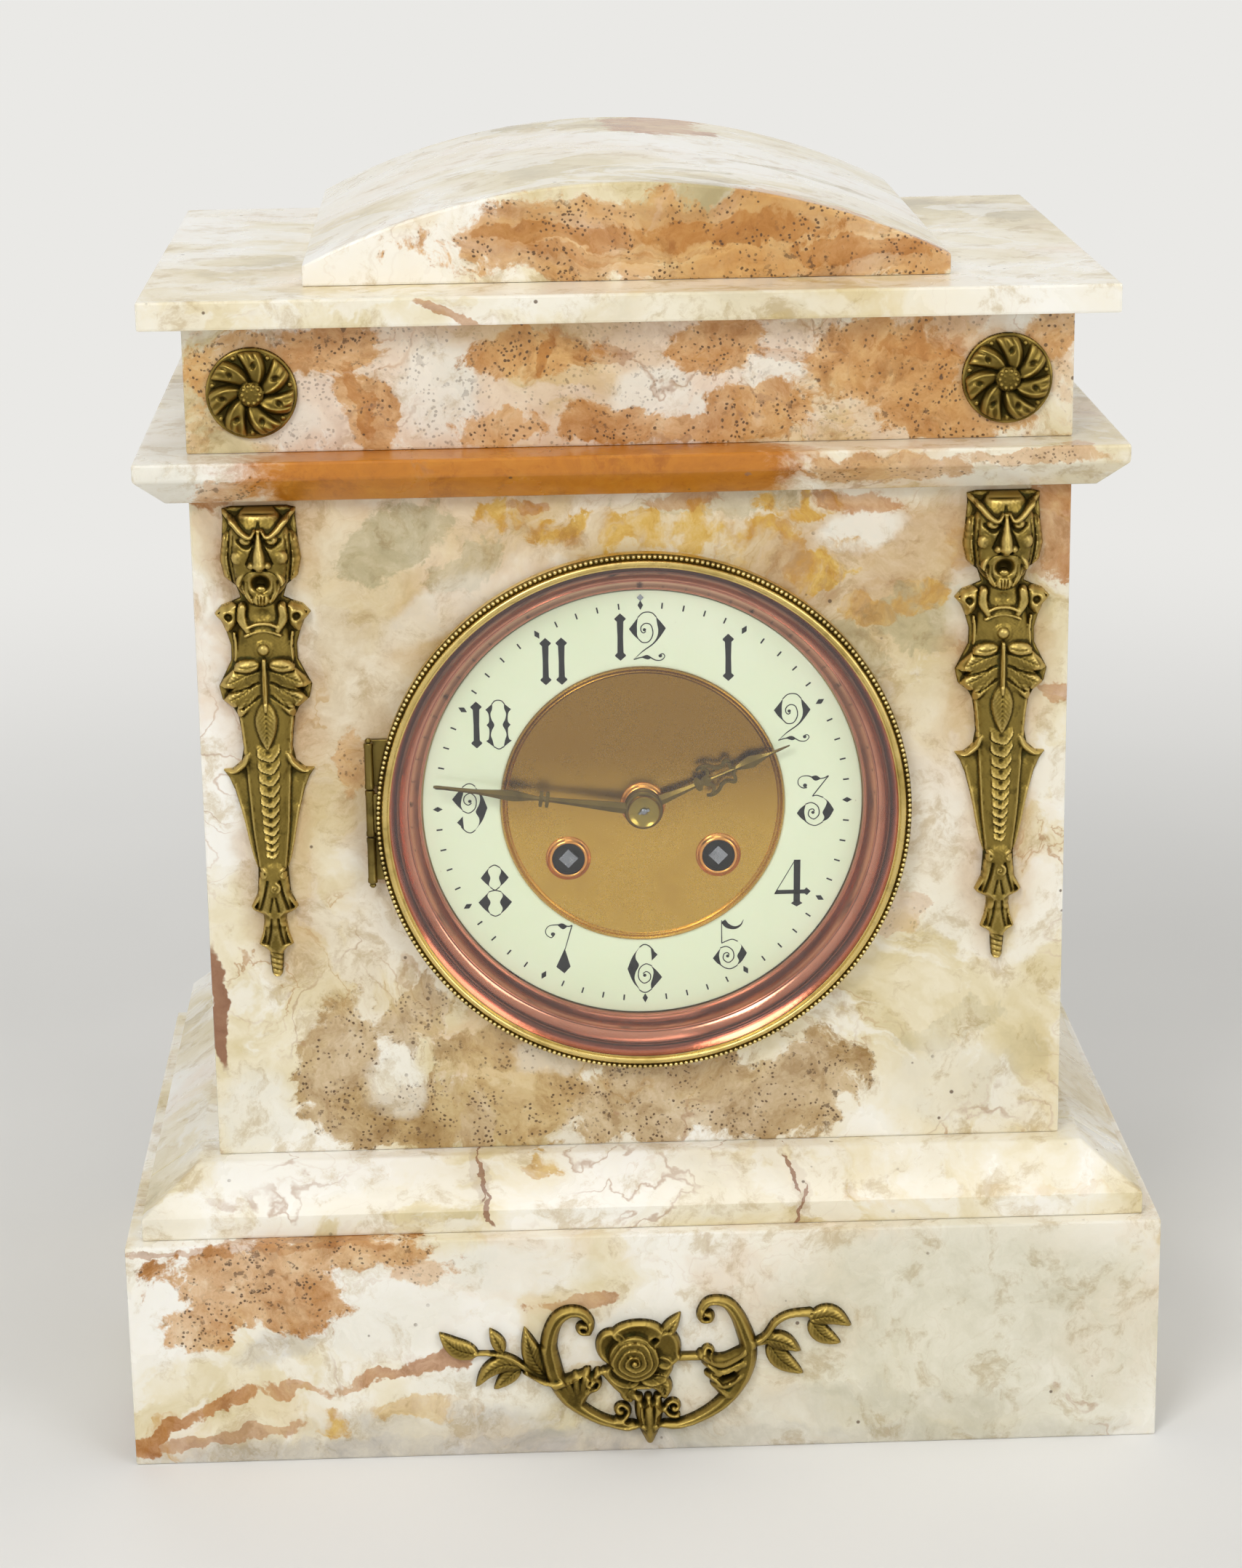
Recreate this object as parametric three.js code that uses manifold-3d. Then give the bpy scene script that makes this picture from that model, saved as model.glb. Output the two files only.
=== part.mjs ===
// Onyx mantel clock with a bezel door, a round movement with its trains, and a short pendulum.
// Millimetres. X to the right, the dial faces -Y, Z up. The origin is on the underside, in the
// middle of the plinth.

import * as THREE from 'three';
import { mergeVertices } from 'three/addons/utils/BufferGeometryUtils.js';
import Module from 'manifold-3d';

const wasm = await Module();
wasm.setup();

// Driving sizes: stone case
const PLINTH_WIDTH = 279;
const PLINTH_DEPTH = 187;
const PLINTH_HEIGHT = 63.75;
const PLINTH_WALL = 30;
const CASE_DEPTH = 197;
const STEP_LEDGE = 4.4;
const STEP_HEIGHT = 16.25;
const STEP_FOOT_HEIGHT = 6.2;
const STEP_FRONT_SLAB = 31;
const STEP_TOP_LEDGE = 5.5;
const BODY_WIDTH = 230;
const BODY_SETBACK = 25;
const BODY_HEIGHT = 182.3;
const BODY_FRONT_WALL = 20;
const BODY_SIDE_WALL = 18;
const BODY_BACK_WALL = 17;
const CORNICE_OVERHANG = 13.2;
const CORNICE_HEIGHT = 11.7;
const CORNICE_EDGE_HEIGHT = 4.6;
const CORNICE_UNDER_OVERHANG = 5.6;
const FRIEZE_HEIGHT = 33.6;
const TOP_SLAB_OVERHANG = 10.4;
const TOP_SLAB_HEIGHT = 7.5;
const PEDIMENT_WIDTH = 168.3;
const PEDIMENT_SETBACK = 11.2;
const PEDIMENT_END_HEIGHT = 5.3;
const PEDIMENT_RISE = 20.1;

// Driving sizes: bezel, dial and door
const DIAL_X = 2;
const DIAL_HEIGHT = 95.3;
const BEZEL_RADIUS = 71.15;
const BEZEL_DEPTH = 5.2;
const BEZEL_LIP = 0.8;
const GILT_RING_WIDTH = 2.2;
const GLASS_THICKNESS = 2.2;
const REBATE = 1.5;
const REHAUT_RADIUS = 59.2;
const REHAUT_WALL = 1;
const DIAL_RECESS = 5;
const DIAL_THICKNESS = 1.2;
const DIAL_PLATE_THICKNESS = 1.2;
const CENTRE_DISC_RADIUS = 38;
const CENTRE_RIM_WIDTH = 1.2;
const CENTRE_RIM_RISE = 0.9;
const FLANGE_INSET = 0.95;
const FLANGE_THICKNESS = 2;
const RING_TUBE_INSET = 5.15;
const RING_TUBE_WALL = 1.2;
const RING_TUBE_LENGTH = 13;
const RING_LIP_WIDTH = 4;
const HINGE_RADIUS = 1.3;
const HINGE_HEIGHT = 39;
const HINGE_RISE = 2.2;
const HINGE_LIFT = 2.2;
const HINGE_OFFSET = 1.45;
const GROMMET_RADIUS = 6.1;
const GROMMET_BORE = 4.3;
const GROMMET_RISE = 1.1;

// Driving sizes: movement
const PLATE_RADIUS = 46;
const PLATE_THICKNESS = 2;
const PLATE_SPACING = 36;
const DIAL_FOOT_LENGTH = 9.6;
const DIAL_FOOT_RADIUS = 1.8;
const PILLAR_RADIUS = 2.5;
const PILLAR_CIRCLE = 42.5;
const WINDING_SPACING = 40.4;
const WINDING_DROP = 14.7;
const WINDING_SQUARE = 3.7;
const WINDING_ARBOR_RADIUS = 3;
const BARREL_TEETH = 48;
const BARREL_MODULE = 0.788;
const BARREL_LENGTH = 20.6;
const BARREL_DRUM_RADIUS = 17;
const FIRST_PINION_LEAVES = 8;
const INTERMEDIATE_TEETH = 48;
const CENTRE_PINION_LEAVES = 6;
const INTERMEDIATE_MODULE = 0.6;
const CENTRE_TEETH = 72;
const THIRD_PINION_LEAVES = 6;
const CENTRE_MODULE = 0.4;
const THIRD_TEETH = 70;
const ESCAPE_PINION_LEAVES = 6;
const THIRD_MODULE = 0.36;
const ESCAPE_HEIGHT = 23.4;
const ESCAPE_TEETH = 40;
const ESCAPE_RADIUS = 9;
const PALLET_HEIGHT = 36.5;
const PALLET_CLEARANCE = 1.3;
const CANNON_LEAVES = 12;
const MINUTE_TEETH = 36;
const MOTION_MODULE = 0.5;
const MINUTE_PINION_LEAVES = 10;
const HOUR_TEETH = 40;
const MINUTE_WHEEL_ANGLE = 150;
const STRIKE_WHEEL_TEETH = 42;
const STRIKE_WHEEL_ANGLE = 125;
const PIN_PINION_LEAVES = 7;
const STRIKE_MODULE = 0.457;
const PIN_WHEEL_ANGLE = 60;
const PIN_WHEEL_RADIUS = 7.5;
const COUNT_WHEEL_RADIUS = 10.5;
const HAMMER_X = -37.5;
const HAMMER_Z = 20.5;
const RATCHET_TEETH = 14;
const RATCHET_RADIUS = 6;
const WHEEL_THICKNESS = 1.2;
const ARBOR_RADIUS = 0.7;
const PIVOT_RADIUS = 0.5;
const RUNNING_CLEARANCE = 0.08;
const SIDE_CLEARANCE = 0.4;
const FIT = 0.3;

// Driving sizes: hands
const MINUTE_HAND_LENGTH = 56.4;
const MINUTE_HAND_ANGLE = 278;
const HOUR_HAND_LENGTH = 42.5;
const HOUR_HAND_ANGLE = 67.5;
const HAND_THICKNESS = 1;
const HAND_GAP = 1.6;
const HAND_BOSS_RADIUS = 5.2;
const COLLET_RADIUS = 4.4;

// Driving sizes: pendulum, gong and rear door
const PENDULUM_LENGTH = 102;
const PENDULUM_SETBACK = 10;
const ROD_RADIUS = 1.2;
const BOB_RADIUS = 17;
const BOB_THICKNESS = 8;
const CRUTCH_LENGTH = 22;
const REGULATOR_HEIGHT = 57;
const REGULATOR_RADIUS = 0.9;
const GONG_RADIUS = 36;
const GONG_TURNS = 3;
const GONG_PITCH = 7;
const GONG_WIRE = 1.2;
const GONG_SETBACK = 30;
const REAR_APERTURE_RADIUS = 60;
const REAR_RING_WIDTH = 5;
const REAR_RING_THICKNESS = 2;
const REAR_TUBE_LENGTH = 12;
const REAR_TUBE_WALL = 1.2;
const REAR_DOOR_THICKNESS = 2;
const TIE_SCREW_RADIUS = 1.8;
const TIE_SCREW_HEAD = 0.9;

// Driving sizes: mounts
const ROSETTE_X = 97.5;
const ROSETTE_RADIUS = 11.8;
const ROSETTE_PETALS = 7;
const TERM_X = 97;
const TERM_HEIGHT = 129;
const TERM_TOP_GAP = 2;
const TERM_SCALE_LENGTH = 5.4;
const TERM_GROUND = 1.4;
const MOUNT_SINK = 0.5;
const ROSE_X = -2.5;
const ROSE_HEIGHT = 29;
const ROSE_RADIUS = 10.6;
const ROSE_MOUNT_WIDTH = 112;

// Places worked out from the sizes
const FRONT = -PLINTH_DEPTH / 2;
const BACK = FRONT + CASE_DEPTH;
const STEP_TOP = PLINTH_HEIGHT + STEP_HEIGHT;
const BODY_FACE = FRONT + BODY_SETBACK;
const BODY_TOP = STEP_TOP + BODY_HEIGHT;
const CORNICE_TOP = BODY_TOP + CORNICE_HEIGHT;
const FRIEZE_TOP = CORNICE_TOP + FRIEZE_HEIGHT;
const SLAB_TOP = FRIEZE_TOP + TOP_SLAB_HEIGHT;
const INSIDE_FRONT = BODY_FACE + BODY_FRONT_WALL;
const INSIDE_BACK = BACK - BODY_BACK_WALL;
const INSIDE_X = BODY_WIDTH / 2 - BODY_SIDE_WALL;
const DIAL_Z = STEP_TOP + DIAL_HEIGHT;
const DIAL_FACE = BODY_FACE + DIAL_RECESS;
const DIAL_PLATE_FRONT = DIAL_FACE + DIAL_THICKNESS;
const DIAL_PLATE_BACK = DIAL_PLATE_FRONT + DIAL_PLATE_THICKNESS;
const DIAL_RADIUS = REHAUT_RADIUS - FIT;
const FLANGE_RADIUS = BEZEL_RADIUS - FLANGE_INSET;
const RING_TUBE_RADIUS = BEZEL_RADIUS - RING_TUBE_INSET;
const DIAL_PLATE_RADIUS = RING_TUBE_RADIUS - FIT;
const PLATE_FRONT = DIAL_PLATE_BACK + DIAL_FOOT_LENGTH;
const TRAIN_FRONT = PLATE_FRONT + PLATE_THICKNESS;
const TRAIN_BACK = TRAIN_FRONT + PLATE_SPACING;
const PLATE_BACK = TRAIN_BACK + PLATE_THICKNESS;
const BEZEL_BACK = BODY_FACE - FLANGE_THICKNESS - FIT;
const BEZEL_FRONT = BEZEL_BACK - BEZEL_DEPTH;
const GLASS_FRONT = BEZEL_FRONT + BEZEL_LIP;
const GLASS_RADIUS = BEZEL_RADIUS - REBATE - FIT;
const HINGE_X = -BEZEL_RADIUS - HINGE_OFFSET;
const HINGE_Y = BEZEL_BACK - HINGE_RISE;
const HOLE_RADIUS = RING_TUBE_RADIUS + RING_TUBE_WALL + FIT;
const HOUR_HAND_BACK = DIAL_FACE - CENTRE_RIM_RISE - HAND_GAP;
const MINUTE_HAND_BACK = HOUR_HAND_BACK - HAND_THICKNESS - HAND_GAP;
const COLLET_FRONT = MINUTE_HAND_BACK - HAND_THICKNESS - 1.5;
const TIE_SCREW_X = REAR_APERTURE_RADIUS - REAR_TUBE_WALL - TIE_SCREW_RADIUS - TIE_SCREW_HEAD - 2 * FIT;
const PENDULUM_Y = PLATE_BACK + PENDULUM_SETBACK;
const GONG_Y = PLATE_BACK + GONG_SETBACK;

// Flats on round pieces
const RING_SIDES = 32;
const DISC_SIDES = 24;

const TURN = Math.PI * 2;
const radians = (degrees) => (degrees * Math.PI) / 180;
const polar = (radius, angle) => [radius * Math.cos(angle), radius * Math.sin(angle)];
const gap = (a, b) => Math.hypot(a[0] - b[0], a[1] - b[1]);

// Materials
const paint = (color, roughness, metalness) =>
  new THREE.MeshStandardMaterial({ color, roughness, metalness });
const onyx = paint(0xe6dcc4, 0.25, 0);
const onyxTan = paint(0xb98a55, 0.25, 0);
const plaster = paint(0xb8ad98, 0.9, 0);
const bronze = paint(0x6b5a2e, 0.4, 1);
const gilt = paint(0xc9a24a, 0.25, 1);
const copper = paint(0xc98868, 0.3, 1);
const brass = paint(0xb89445, 0.3, 1);
const steel = paint(0x8d9096, 0.3, 1);
const enamel = paint(0xe3ecd0, 0.15, 0);
const crystal = new THREE.MeshStandardMaterial({
  color: 0xf4f8f4, roughness: 0.05, metalness: 0, transparent: true, opacity: 0.25 });

// Solids

// A closed solid from a three.js geometry, with its faces turned outwards
function solidOf(geometry) {
  const bare = geometry.clone();
  for (const name of Object.keys(bare.attributes)) if (name !== 'position') bare.deleteAttribute(name);
  const merged = mergeVertices(bare, 1e-4);
  const place = merged.attributes.position.array;
  const index = merged.index.array;
  const faces = [];
  let volume = 0;
  for (let i = 0; i < index.length; i += 3) {
    const [a, b, c] = [index[i], index[i + 1], index[i + 2]];
    if (a === b || b === c || a === c) continue;
    faces.push(a, b, c);
    const [p, q, r] = [a, b, c].map((v) => new THREE.Vector3().fromArray(place, v * 3));
    volume += p.dot(q.cross(r));
  }
  if (volume < 0) for (let i = 0; i < faces.length; i += 3) [faces[i], faces[i + 1]] = [faces[i + 1], faces[i]];
  return new wasm.Manifold(new wasm.Mesh({
    numProp: 3, vertProperties: new Float32Array(place), triVerts: new Uint32Array(faces) }));
}

function geometryOf(solid) {
  const { vertProperties, triVerts } = solid.getMesh();
  const geometry = new THREE.BufferGeometry();
  geometry.setAttribute('position', new THREE.BufferAttribute(vertProperties, 3));
  geometry.setIndex(new THREE.BufferAttribute(triVerts, 1));
  return geometry;
}

const join = (...solids) => solids.flat().reduce((whole, solid) => whole.add(solid));
const cut = (whole, ...tools) => tools.flat().reduce((rest, tool) => rest.subtract(tool), whole);

function box(x0, x1, y0, y1, z0, z1) {
  const geometry = new THREE.BoxGeometry(x1 - x0, y1 - y0, z1 - z0);
  return solidOf(geometry.translate((x0 + x1) / 2, (y0 + y1) / 2, (z0 + z1) / 2));
}

// A cylinder along Y
function rod(x, z, radius, y0, y1, sides = 12) {
  const geometry = new THREE.CylinderGeometry(radius, radius, y1 - y0, sides);
  return solidOf(geometry.translate(x, (y0 + y1) / 2, z));
}

// A round hole along Y whose flats clear the radius given
const bore = (x, z, radius, y0, y1, sides = 12) =>
  rod(x, z, radius / Math.cos(Math.PI / sides), y0, y1, sides);

// A closed profile of [radius, y] points turned about the Y axis
function turned(profile, sides, x = 0, z = 0) {
  const points = [...profile, profile[0]].map(([r, y]) => new THREE.Vector2(r, y));
  return solidOf(new THREE.LatheGeometry(points, sides).translate(x, 0, z));
}

// An outline of [x, z] points carried from y0 to y1
function plate(outline, y0, y1, holes = []) {
  const shape = new THREE.Shape(outline.map(([x, z]) => new THREE.Vector2(x, z)));
  shape.holes = holes.map((hole) => new THREE.Path(hole.map(([x, z]) => new THREE.Vector2(x, z))));
  const geometry = new THREE.ExtrudeGeometry(shape, { depth: y1 - y0, bevelEnabled: false });
  return solidOf(geometry.rotateX(Math.PI / 2).translate(0, y1, 0));
}

// An ellipsoid with half sizes rx, ry, rz, turned about Y by the angle given in degrees
function bead(x, y, z, rx, ry = rx, rz = rx, angle = 0, sides = 6, rings = 3) {
  const geometry = new THREE.SphereGeometry(1, sides, rings).scale(rx, ry, rz);
  return solidOf(geometry.rotateY(-radians(angle)).translate(x, y, z));
}

// The space in front of a face, as a block that reaches past every mount
function aheadOf(face) {
  const reach = PLINTH_WIDTH;
  return box(-reach, reach, face - reach, face, -reach, reach);
}

// A round tube along a smooth route of [x, y, z] points
function tube(points, radius, steps, sides = 6) {
  const route = new THREE.CatmullRomCurve3(points.map((p) => new THREE.Vector3(...p)));
  const section = new THREE.Shape(
    Array.from({ length: sides }, (_, i) => new THREE.Vector2(...polar(radius, (TURN * i) / sides))));
  return solidOf(new THREE.ExtrudeGeometry(section, { extrudePath: route, steps }));
}

// Rectangles at rising heights joined into one moulded block: rows of [z, left, right, front, back]
function moulded(rows) {
  const place = [];
  const faces = [];
  for (const [z, left, right, front, back] of rows) {
    place.push(left, front, z, right, front, z, right, back, z, left, back, z);
  }
  for (let row = 0; row + 1 < rows.length; row += 1) {
    for (let side = 0; side < 4; side += 1) {
      const a = row * 4 + side;
      const b = row * 4 + ((side + 1) % 4);
      faces.push(a, b, b + 4, a, b + 4, a + 4);
    }
  }
  const last = (rows.length - 1) * 4;
  faces.push(0, 2, 1, 0, 3, 2, last, last + 1, last + 2, last, last + 2, last + 3);
  const geometry = new THREE.BufferGeometry();
  geometry.setAttribute('position', new THREE.Float32BufferAttribute(place, 3));
  geometry.setIndex(faces);
  return solidOf(geometry);
}

const circle = (x, z, radius, sides) =>
  Array.from({ length: sides }, (_, i) => {
    const [dx, dz] = polar(radius, (TURN * i) / sides);
    return [x + dx, z + dz];
  });

const group = new THREE.Group();
const dialGroup = new THREE.Group();
dialGroup.position.set(DIAL_X, 0, DIAL_Z);
group.add(dialGroup);

function piece(name, material, solid, parent = group, x = 0, z = 0) {
  const mesh = new THREE.Mesh(geometryOf(solid), material);
  mesh.name = name;
  mesh.position.set(x, 0, z);
  parent.add(mesh);
}

// Stone case

const plinthX = PLINTH_WIDTH / 2;
const stepX = plinthX - STEP_LEDGE;
const stepFront = FRONT + STEP_LEDGE;
const bodyX = BODY_WIDTH / 2;
const stepJoint = stepFront + STEP_FRONT_SLAB;
const plinthBack = FRONT + PLINTH_DEPTH;

function plinth() {
  const insideX = plinthX - PLINTH_WALL;
  const insideFront = FRONT + PLINTH_WALL;
  piece('plinth_front', onyx, box(-plinthX, plinthX, FRONT, insideFront, 0, PLINTH_HEIGHT));
  piece('plinth_left', onyx, box(-plinthX, -insideX, insideFront, plinthBack, 0, PLINTH_HEIGHT));
  piece('plinth_right', onyx, box(insideX, plinthX, insideFront, plinthBack, 0, PLINTH_HEIGHT));
  const core = box(-insideX, insideX, insideFront, plinthBack, 0, PLINTH_HEIGHT);
  const floor = box(-INSIDE_X, INSIDE_X, stepJoint, BACK, PLINTH_HEIGHT, STEP_TOP);
  piece('base_core', plaster, join(core, floor));
}

// The step course: a square foot, then a slope up to a flat ledge round the body
function step() {
  const topX = bodyX + STEP_TOP_LEDGE;
  const topFront = BODY_FACE - STEP_TOP_LEDGE;
  const course = moulded([
    [PLINTH_HEIGHT, -stepX, stepX, stepFront, BACK],
    [PLINTH_HEIGHT + STEP_FOOT_HEIGHT, -stepX, stepX, stepFront, BACK],
    [STEP_TOP, -topX, topX, topFront, BACK]]);
  const high = STEP_TOP + 1;
  piece('step_front', onyx,
    course.intersect(box(-plinthX, plinthX, FRONT, stepJoint, PLINTH_HEIGHT - 1, high)));
  piece('step_left', onyx,
    course.intersect(box(-plinthX, -INSIDE_X, stepJoint, BACK + 1, PLINTH_HEIGHT - 1, high)));
  piece('step_right', onyx,
    course.intersect(box(INSIDE_X, plinthX, stepJoint, BACK + 1, PLINTH_HEIGHT - 1, high)));
}

function body() {
  const front = box(-bodyX, bodyX, BODY_FACE, INSIDE_FRONT, STEP_TOP, BODY_TOP);
  piece('body_front', onyx,
    cut(front, bore(DIAL_X, DIAL_Z, HOLE_RADIUS, BODY_FACE - 1, INSIDE_FRONT + 1, RING_SIDES)));
  piece('body_left', onyx, box(-bodyX, -INSIDE_X, INSIDE_FRONT, INSIDE_BACK, STEP_TOP, BODY_TOP));
  piece('body_right', onyx, box(INSIDE_X, bodyX, INSIDE_FRONT, INSIDE_BACK, STEP_TOP, BODY_TOP));
  const back = box(-bodyX, bodyX, INSIDE_BACK, BACK, STEP_TOP, BODY_TOP);
  piece('body_back', onyx,
    cut(back, bore(DIAL_X, DIAL_Z, REAR_APERTURE_RADIUS, INSIDE_BACK - 1, BACK + 1, RING_SIDES)));
}

// Cornice, frieze, top slab and the low arched pediment
function head() {
  const over = (z, overhang) => [z, -bodyX - overhang, bodyX + overhang, BODY_FACE - overhang, BACK];
  piece('cornice', onyxTan, moulded([
    over(BODY_TOP, CORNICE_UNDER_OVERHANG),
    over(CORNICE_TOP - CORNICE_EDGE_HEIGHT, CORNICE_OVERHANG),
    over(CORNICE_TOP, CORNICE_OVERHANG)]));
  piece('frieze', onyxTan, box(-bodyX, bodyX, BODY_FACE, BACK, CORNICE_TOP, FRIEZE_TOP));
  piece('top_slab', onyx, moulded([over(FRIEZE_TOP, TOP_SLAB_OVERHANG), over(SLAB_TOP, TOP_SLAB_OVERHANG)]));
  const half = PEDIMENT_WIDTH / 2;
  const arcRadius = (half * half + PEDIMENT_RISE * PEDIMENT_RISE) / (2 * PEDIMENT_RISE);
  const reach = Math.asin(half / arcRadius);
  const springing = SLAB_TOP + PEDIMENT_END_HEIGHT;
  const arcSteps = 24;
  const arc = Array.from({ length: arcSteps + 1 }, (_, i) => {
    const angle = reach * (1 - (2 * i) / arcSteps);
    return [arcRadius * Math.sin(angle), springing + PEDIMENT_RISE - arcRadius * (1 - Math.cos(angle))];
  });
  const outline = [[-half, SLAB_TOP], [half, SLAB_TOP], ...arc];
  piece('pediment', onyx, plate(outline, BODY_FACE + PEDIMENT_SETBACK, BACK));
}

// Cast mounts

// A disc of swirling petals round a button
function rosette(name, x) {
  const z = (CORNICE_TOP + FRIEZE_TOP) / 2 - 1;
  const ground = BODY_FACE - 2;
  const relief = [];
  for (let i = 0; i < ROSETTE_PETALS; i += 1) {
    const angle = (TURN * i) / ROSETTE_PETALS;
    const [px, pz] = polar(ROSETTE_RADIUS * 0.62, angle);
    const swirl = (angle * 180) / Math.PI + 28;
    relief.push(bead(px, ground, pz, ROSETTE_RADIUS * 0.37, 2, ROSETTE_RADIUS * 0.24, swirl, 6, 2));
  }
  relief.push(bead(0, ground, 0, ROSETTE_RADIUS * 0.3, 3, ROSETTE_RADIUS * 0.3, 0, 8, 4));
  const disc = rod(0, 0, ROSETTE_RADIUS, ground, BODY_FACE, DISC_SIDES);
  piece(name, bronze, join(disc, join(relief).intersect(aheadOf(ground + MOUNT_SINK))), group, x, z);
}

// A horned mask over shoulder scrolls, acanthus, and a tapering eared shaft of overlapping scales.
// The half outline runs down from the crown as [half width, distance below the crown].
const TERM_HALF_OUTLINE = [
  [7, 0], [9.6, 1], [10.4, 14], [6, 21.5], [6, 24.6], [12, 28], [9, 34.5], [8.7, 41], [12, 48], [8.4, 54.4],
  [6.6, 64], [7.2, 68.4], [12, 70.8], [8, 81.5], [5, 95.5], [4, 99], [4.4, 105], [6.2, 109.2], [3.1, 111.4],
  [3.4, 116], [4.5, 119.8], [1.9, 121.8], [1.3, 129]];
const TERM_OUTLINE_HEIGHT = 129;

function term(name, x) {
  const k = TERM_HEIGHT / TERM_OUTLINE_HEIGHT;
  const top = BODY_TOP - TERM_TOP_GAP;
  const ground = BODY_FACE - TERM_GROUND;
  const right = TERM_HALF_OUTLINE.map(([w, down]) => [w * k, -down * k]);
  const left = right.map(([w, z]) => [-w, z]).reverse();
  const relief = [];
  const knob = (dx, down, rx, ry, rz, angle = 0, sides = 6, rings = 3) =>
    relief.push(bead(dx * k, ground, -down * k, rx * k, ry * k, rz * k, angle, sides, rings));
  // A tapering bar with a rounded front, between two distances below the crown
  const shaft = (down0, half0, down1, half1) => {
    const bar = new THREE.CylinderGeometry(half0 * k, half1 * k, (down1 - down0) * k, 8).rotateX(Math.PI / 2);
    relief.push(solidOf(bar.scale(1, 0.6, 1).translate(0, ground, (-(down0 + down1) / 2) * k)));
  };
  shaft(26, 4.8, 40, 7);
  shaft(40, 7, 98, 3.6);
  knob(0, 12, 7.8, 6.8, 12, 0, 8, 5);
  for (const side of [-1, 1]) {
    knob(side * 4.8, 4.2, 5.4, 7, 1.3, side * 35, 4, 2);
    knob(side * 8, 13, 2.5, 3.6, 6.2);
    knob(side * 9, 29.4, 2.8, 3.4, 4.2, side * 24, 6, 2);
    knob(side * 6.2, 45.4, 6.2, 4.8, 2.8, -side * 22, 4, 2);
    knob(side * 5.4, 51, 5.8, 4.4, 2.6, -side * 34, 4, 2);
    knob(side * 8.4, 70.6, 3.8, 2.4, 1, -side * 14, 4, 2);
  }
  knob(0, 11, 2.2, 9.6, 4.4, 0, 4, 2);
  knob(0, 37.6, 1.8, 5.8, 1.8, 0, 6, 2);
  knob(0, 58, 2.6, 5.6, 6.6, 0, 4, 2);
  for (let down = 66; down < 97; down += TERM_SCALE_LENGTH) {
    const share = 1 - (down - 66) / 70;
    knob(0, down, 3.3 * share, 4.8 * share, TERM_SCALE_LENGTH * 0.62, 0, 6, 2);
  }
  for (const [down, half, tall] of [[105, 4.4, 6.2], [116, 3.3, 4.8], [124.5, 1.7, 4.2]]) {
    knob(0, down, half, half * 0.8, tall, 0, 6, 2);
  }
  const mouth = bead(0, ground - 6.6 * k, -19.4 * k, 2.1 * k, 3 * k, 1.9 * k);
  const forms = cut(join(relief), mouth).intersect(aheadOf(ground + MOUNT_SINK));
  piece(name, bronze, join(plate([...left, ...right].reverse(), ground, BODY_FACE), forms), group, x, top);
}

// A rose between two C-scrolls, with a leafy branch to each side and a ribbed pendant below.
// Routes and leaves are counted from the rose's middle in the mount's own units, ROSE_UNITS wide.
const ROSE_UNITS = 112;
const ROSE_LEFT_SCROLL = [
  [1.5, -20.5], [-10, -18.9], [-19.2, -11.9], [-23.3, -1.8], [-23.3, 7.7], [-18.5, 13], [-13, 10], [-14.5, 7]];
const ROSE_RIGHT_SCROLL = [
  [6, -20.8], [15.9, -19.2], [24.8, -12.5], [29.6, -3.4], [28.9, 6.1], [24.5, 14.2], [19, 14.9], [17.5, 10.4]];
const ROSE_STEMS = [
  [[-44, 1.7], [-37.4, 1.2], [-30.7, -2.6], [-23, -8]],
  [[28.5, 1.2], [34.5, 4.4], [38, 9.2], [47, 10.8]],
  [[6, -1], [17, -1.2], [26, -3]],
  [[-11, -1], [-8, -7], [-1, -12]]];
// Each leaf is [x, z, half length, half width, turn]
const ROSE_LEAVES = [
  [-48.7, 4.5, 6, 2.8, -33], [-38.2, 5.2, 4.2, 2, -63], [-38.3, -4, 6.7, 2.6, 25], [-35.5, -6, 5, 2.2, 41],
  [-28, 1.4, 7.6, 2.9, -68], [52.4, 9, 5.8, 2.8, -12], [50.5, 5.4, 5.6, 2.6, -40], [39.3, 2.4, 5.6, 2.6, -23],
  [39.6, -2.2, 6.8, 2.8, -46], [8.9, 8, 5, 2.2, 55]];

function roseMount() {
  const k = ROSE_MOUNT_WIDTH / ROSE_UNITS;
  const knob = (dx, dz, rx, ry, rz, angle = 0, sides = 6, rings = 3) =>
    bead(dx * k, FRONT - k, dz * k, rx * k, ry * k, rz * k, angle, sides, rings);
  const bar = (points, radius, steps) =>
    tube(points.map(([dx, dz]) => [dx * k, FRONT - k, dz * k]), radius * k, steps, 4);
  const relief = [knob(0, 0, 5.4, 6.4, 5.4, 0, 8, 4)];
  for (let i = 0; i < 5; i += 1) {
    const [px, pz] = polar(ROSE_RADIUS * 0.6, (TURN * (i + 0.25)) / 5);
    relief.push(bead(px, FRONT - k, pz, 4 * k, 4.2 * k, 5.6 * k, (360 * (i + 0.25)) / 5, 6, 2));
  }
  relief.push(bar(ROSE_LEFT_SCROLL, 2, 8), bar(ROSE_RIGHT_SCROLL, 2, 8));
  for (const route of ROSE_STEMS) relief.push(bar(route, 1.4, 4));
  for (const [dx, dz, long, wide, angle] of ROSE_LEAVES) {
    relief.push(knob(dx, dz, long, 1.8, wide, angle, 4, 2));
  }
  relief.push(knob(-15.4, -8.4, 5.6, 3.4, 4.6, 20), knob(24.4, -4.6, 5, 3.6, 5.8, 20));
  for (const [dx, dz] of [[-4.8, -16.6], [9.6, -16.6]]) relief.push(knob(dx, dz, 2.9, 3, 2.9, 0, 6, 2));
  relief.push(knob(2.8, -19.4, 3.2, 4, 8, 0, 6, 2));
  piece('rose_mount', bronze, join(relief).intersect(aheadOf(FRONT)), group, ROSE_X, ROSE_HEIGHT);
}

// Bezel, glass and dial, all about the dial's centre

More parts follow.
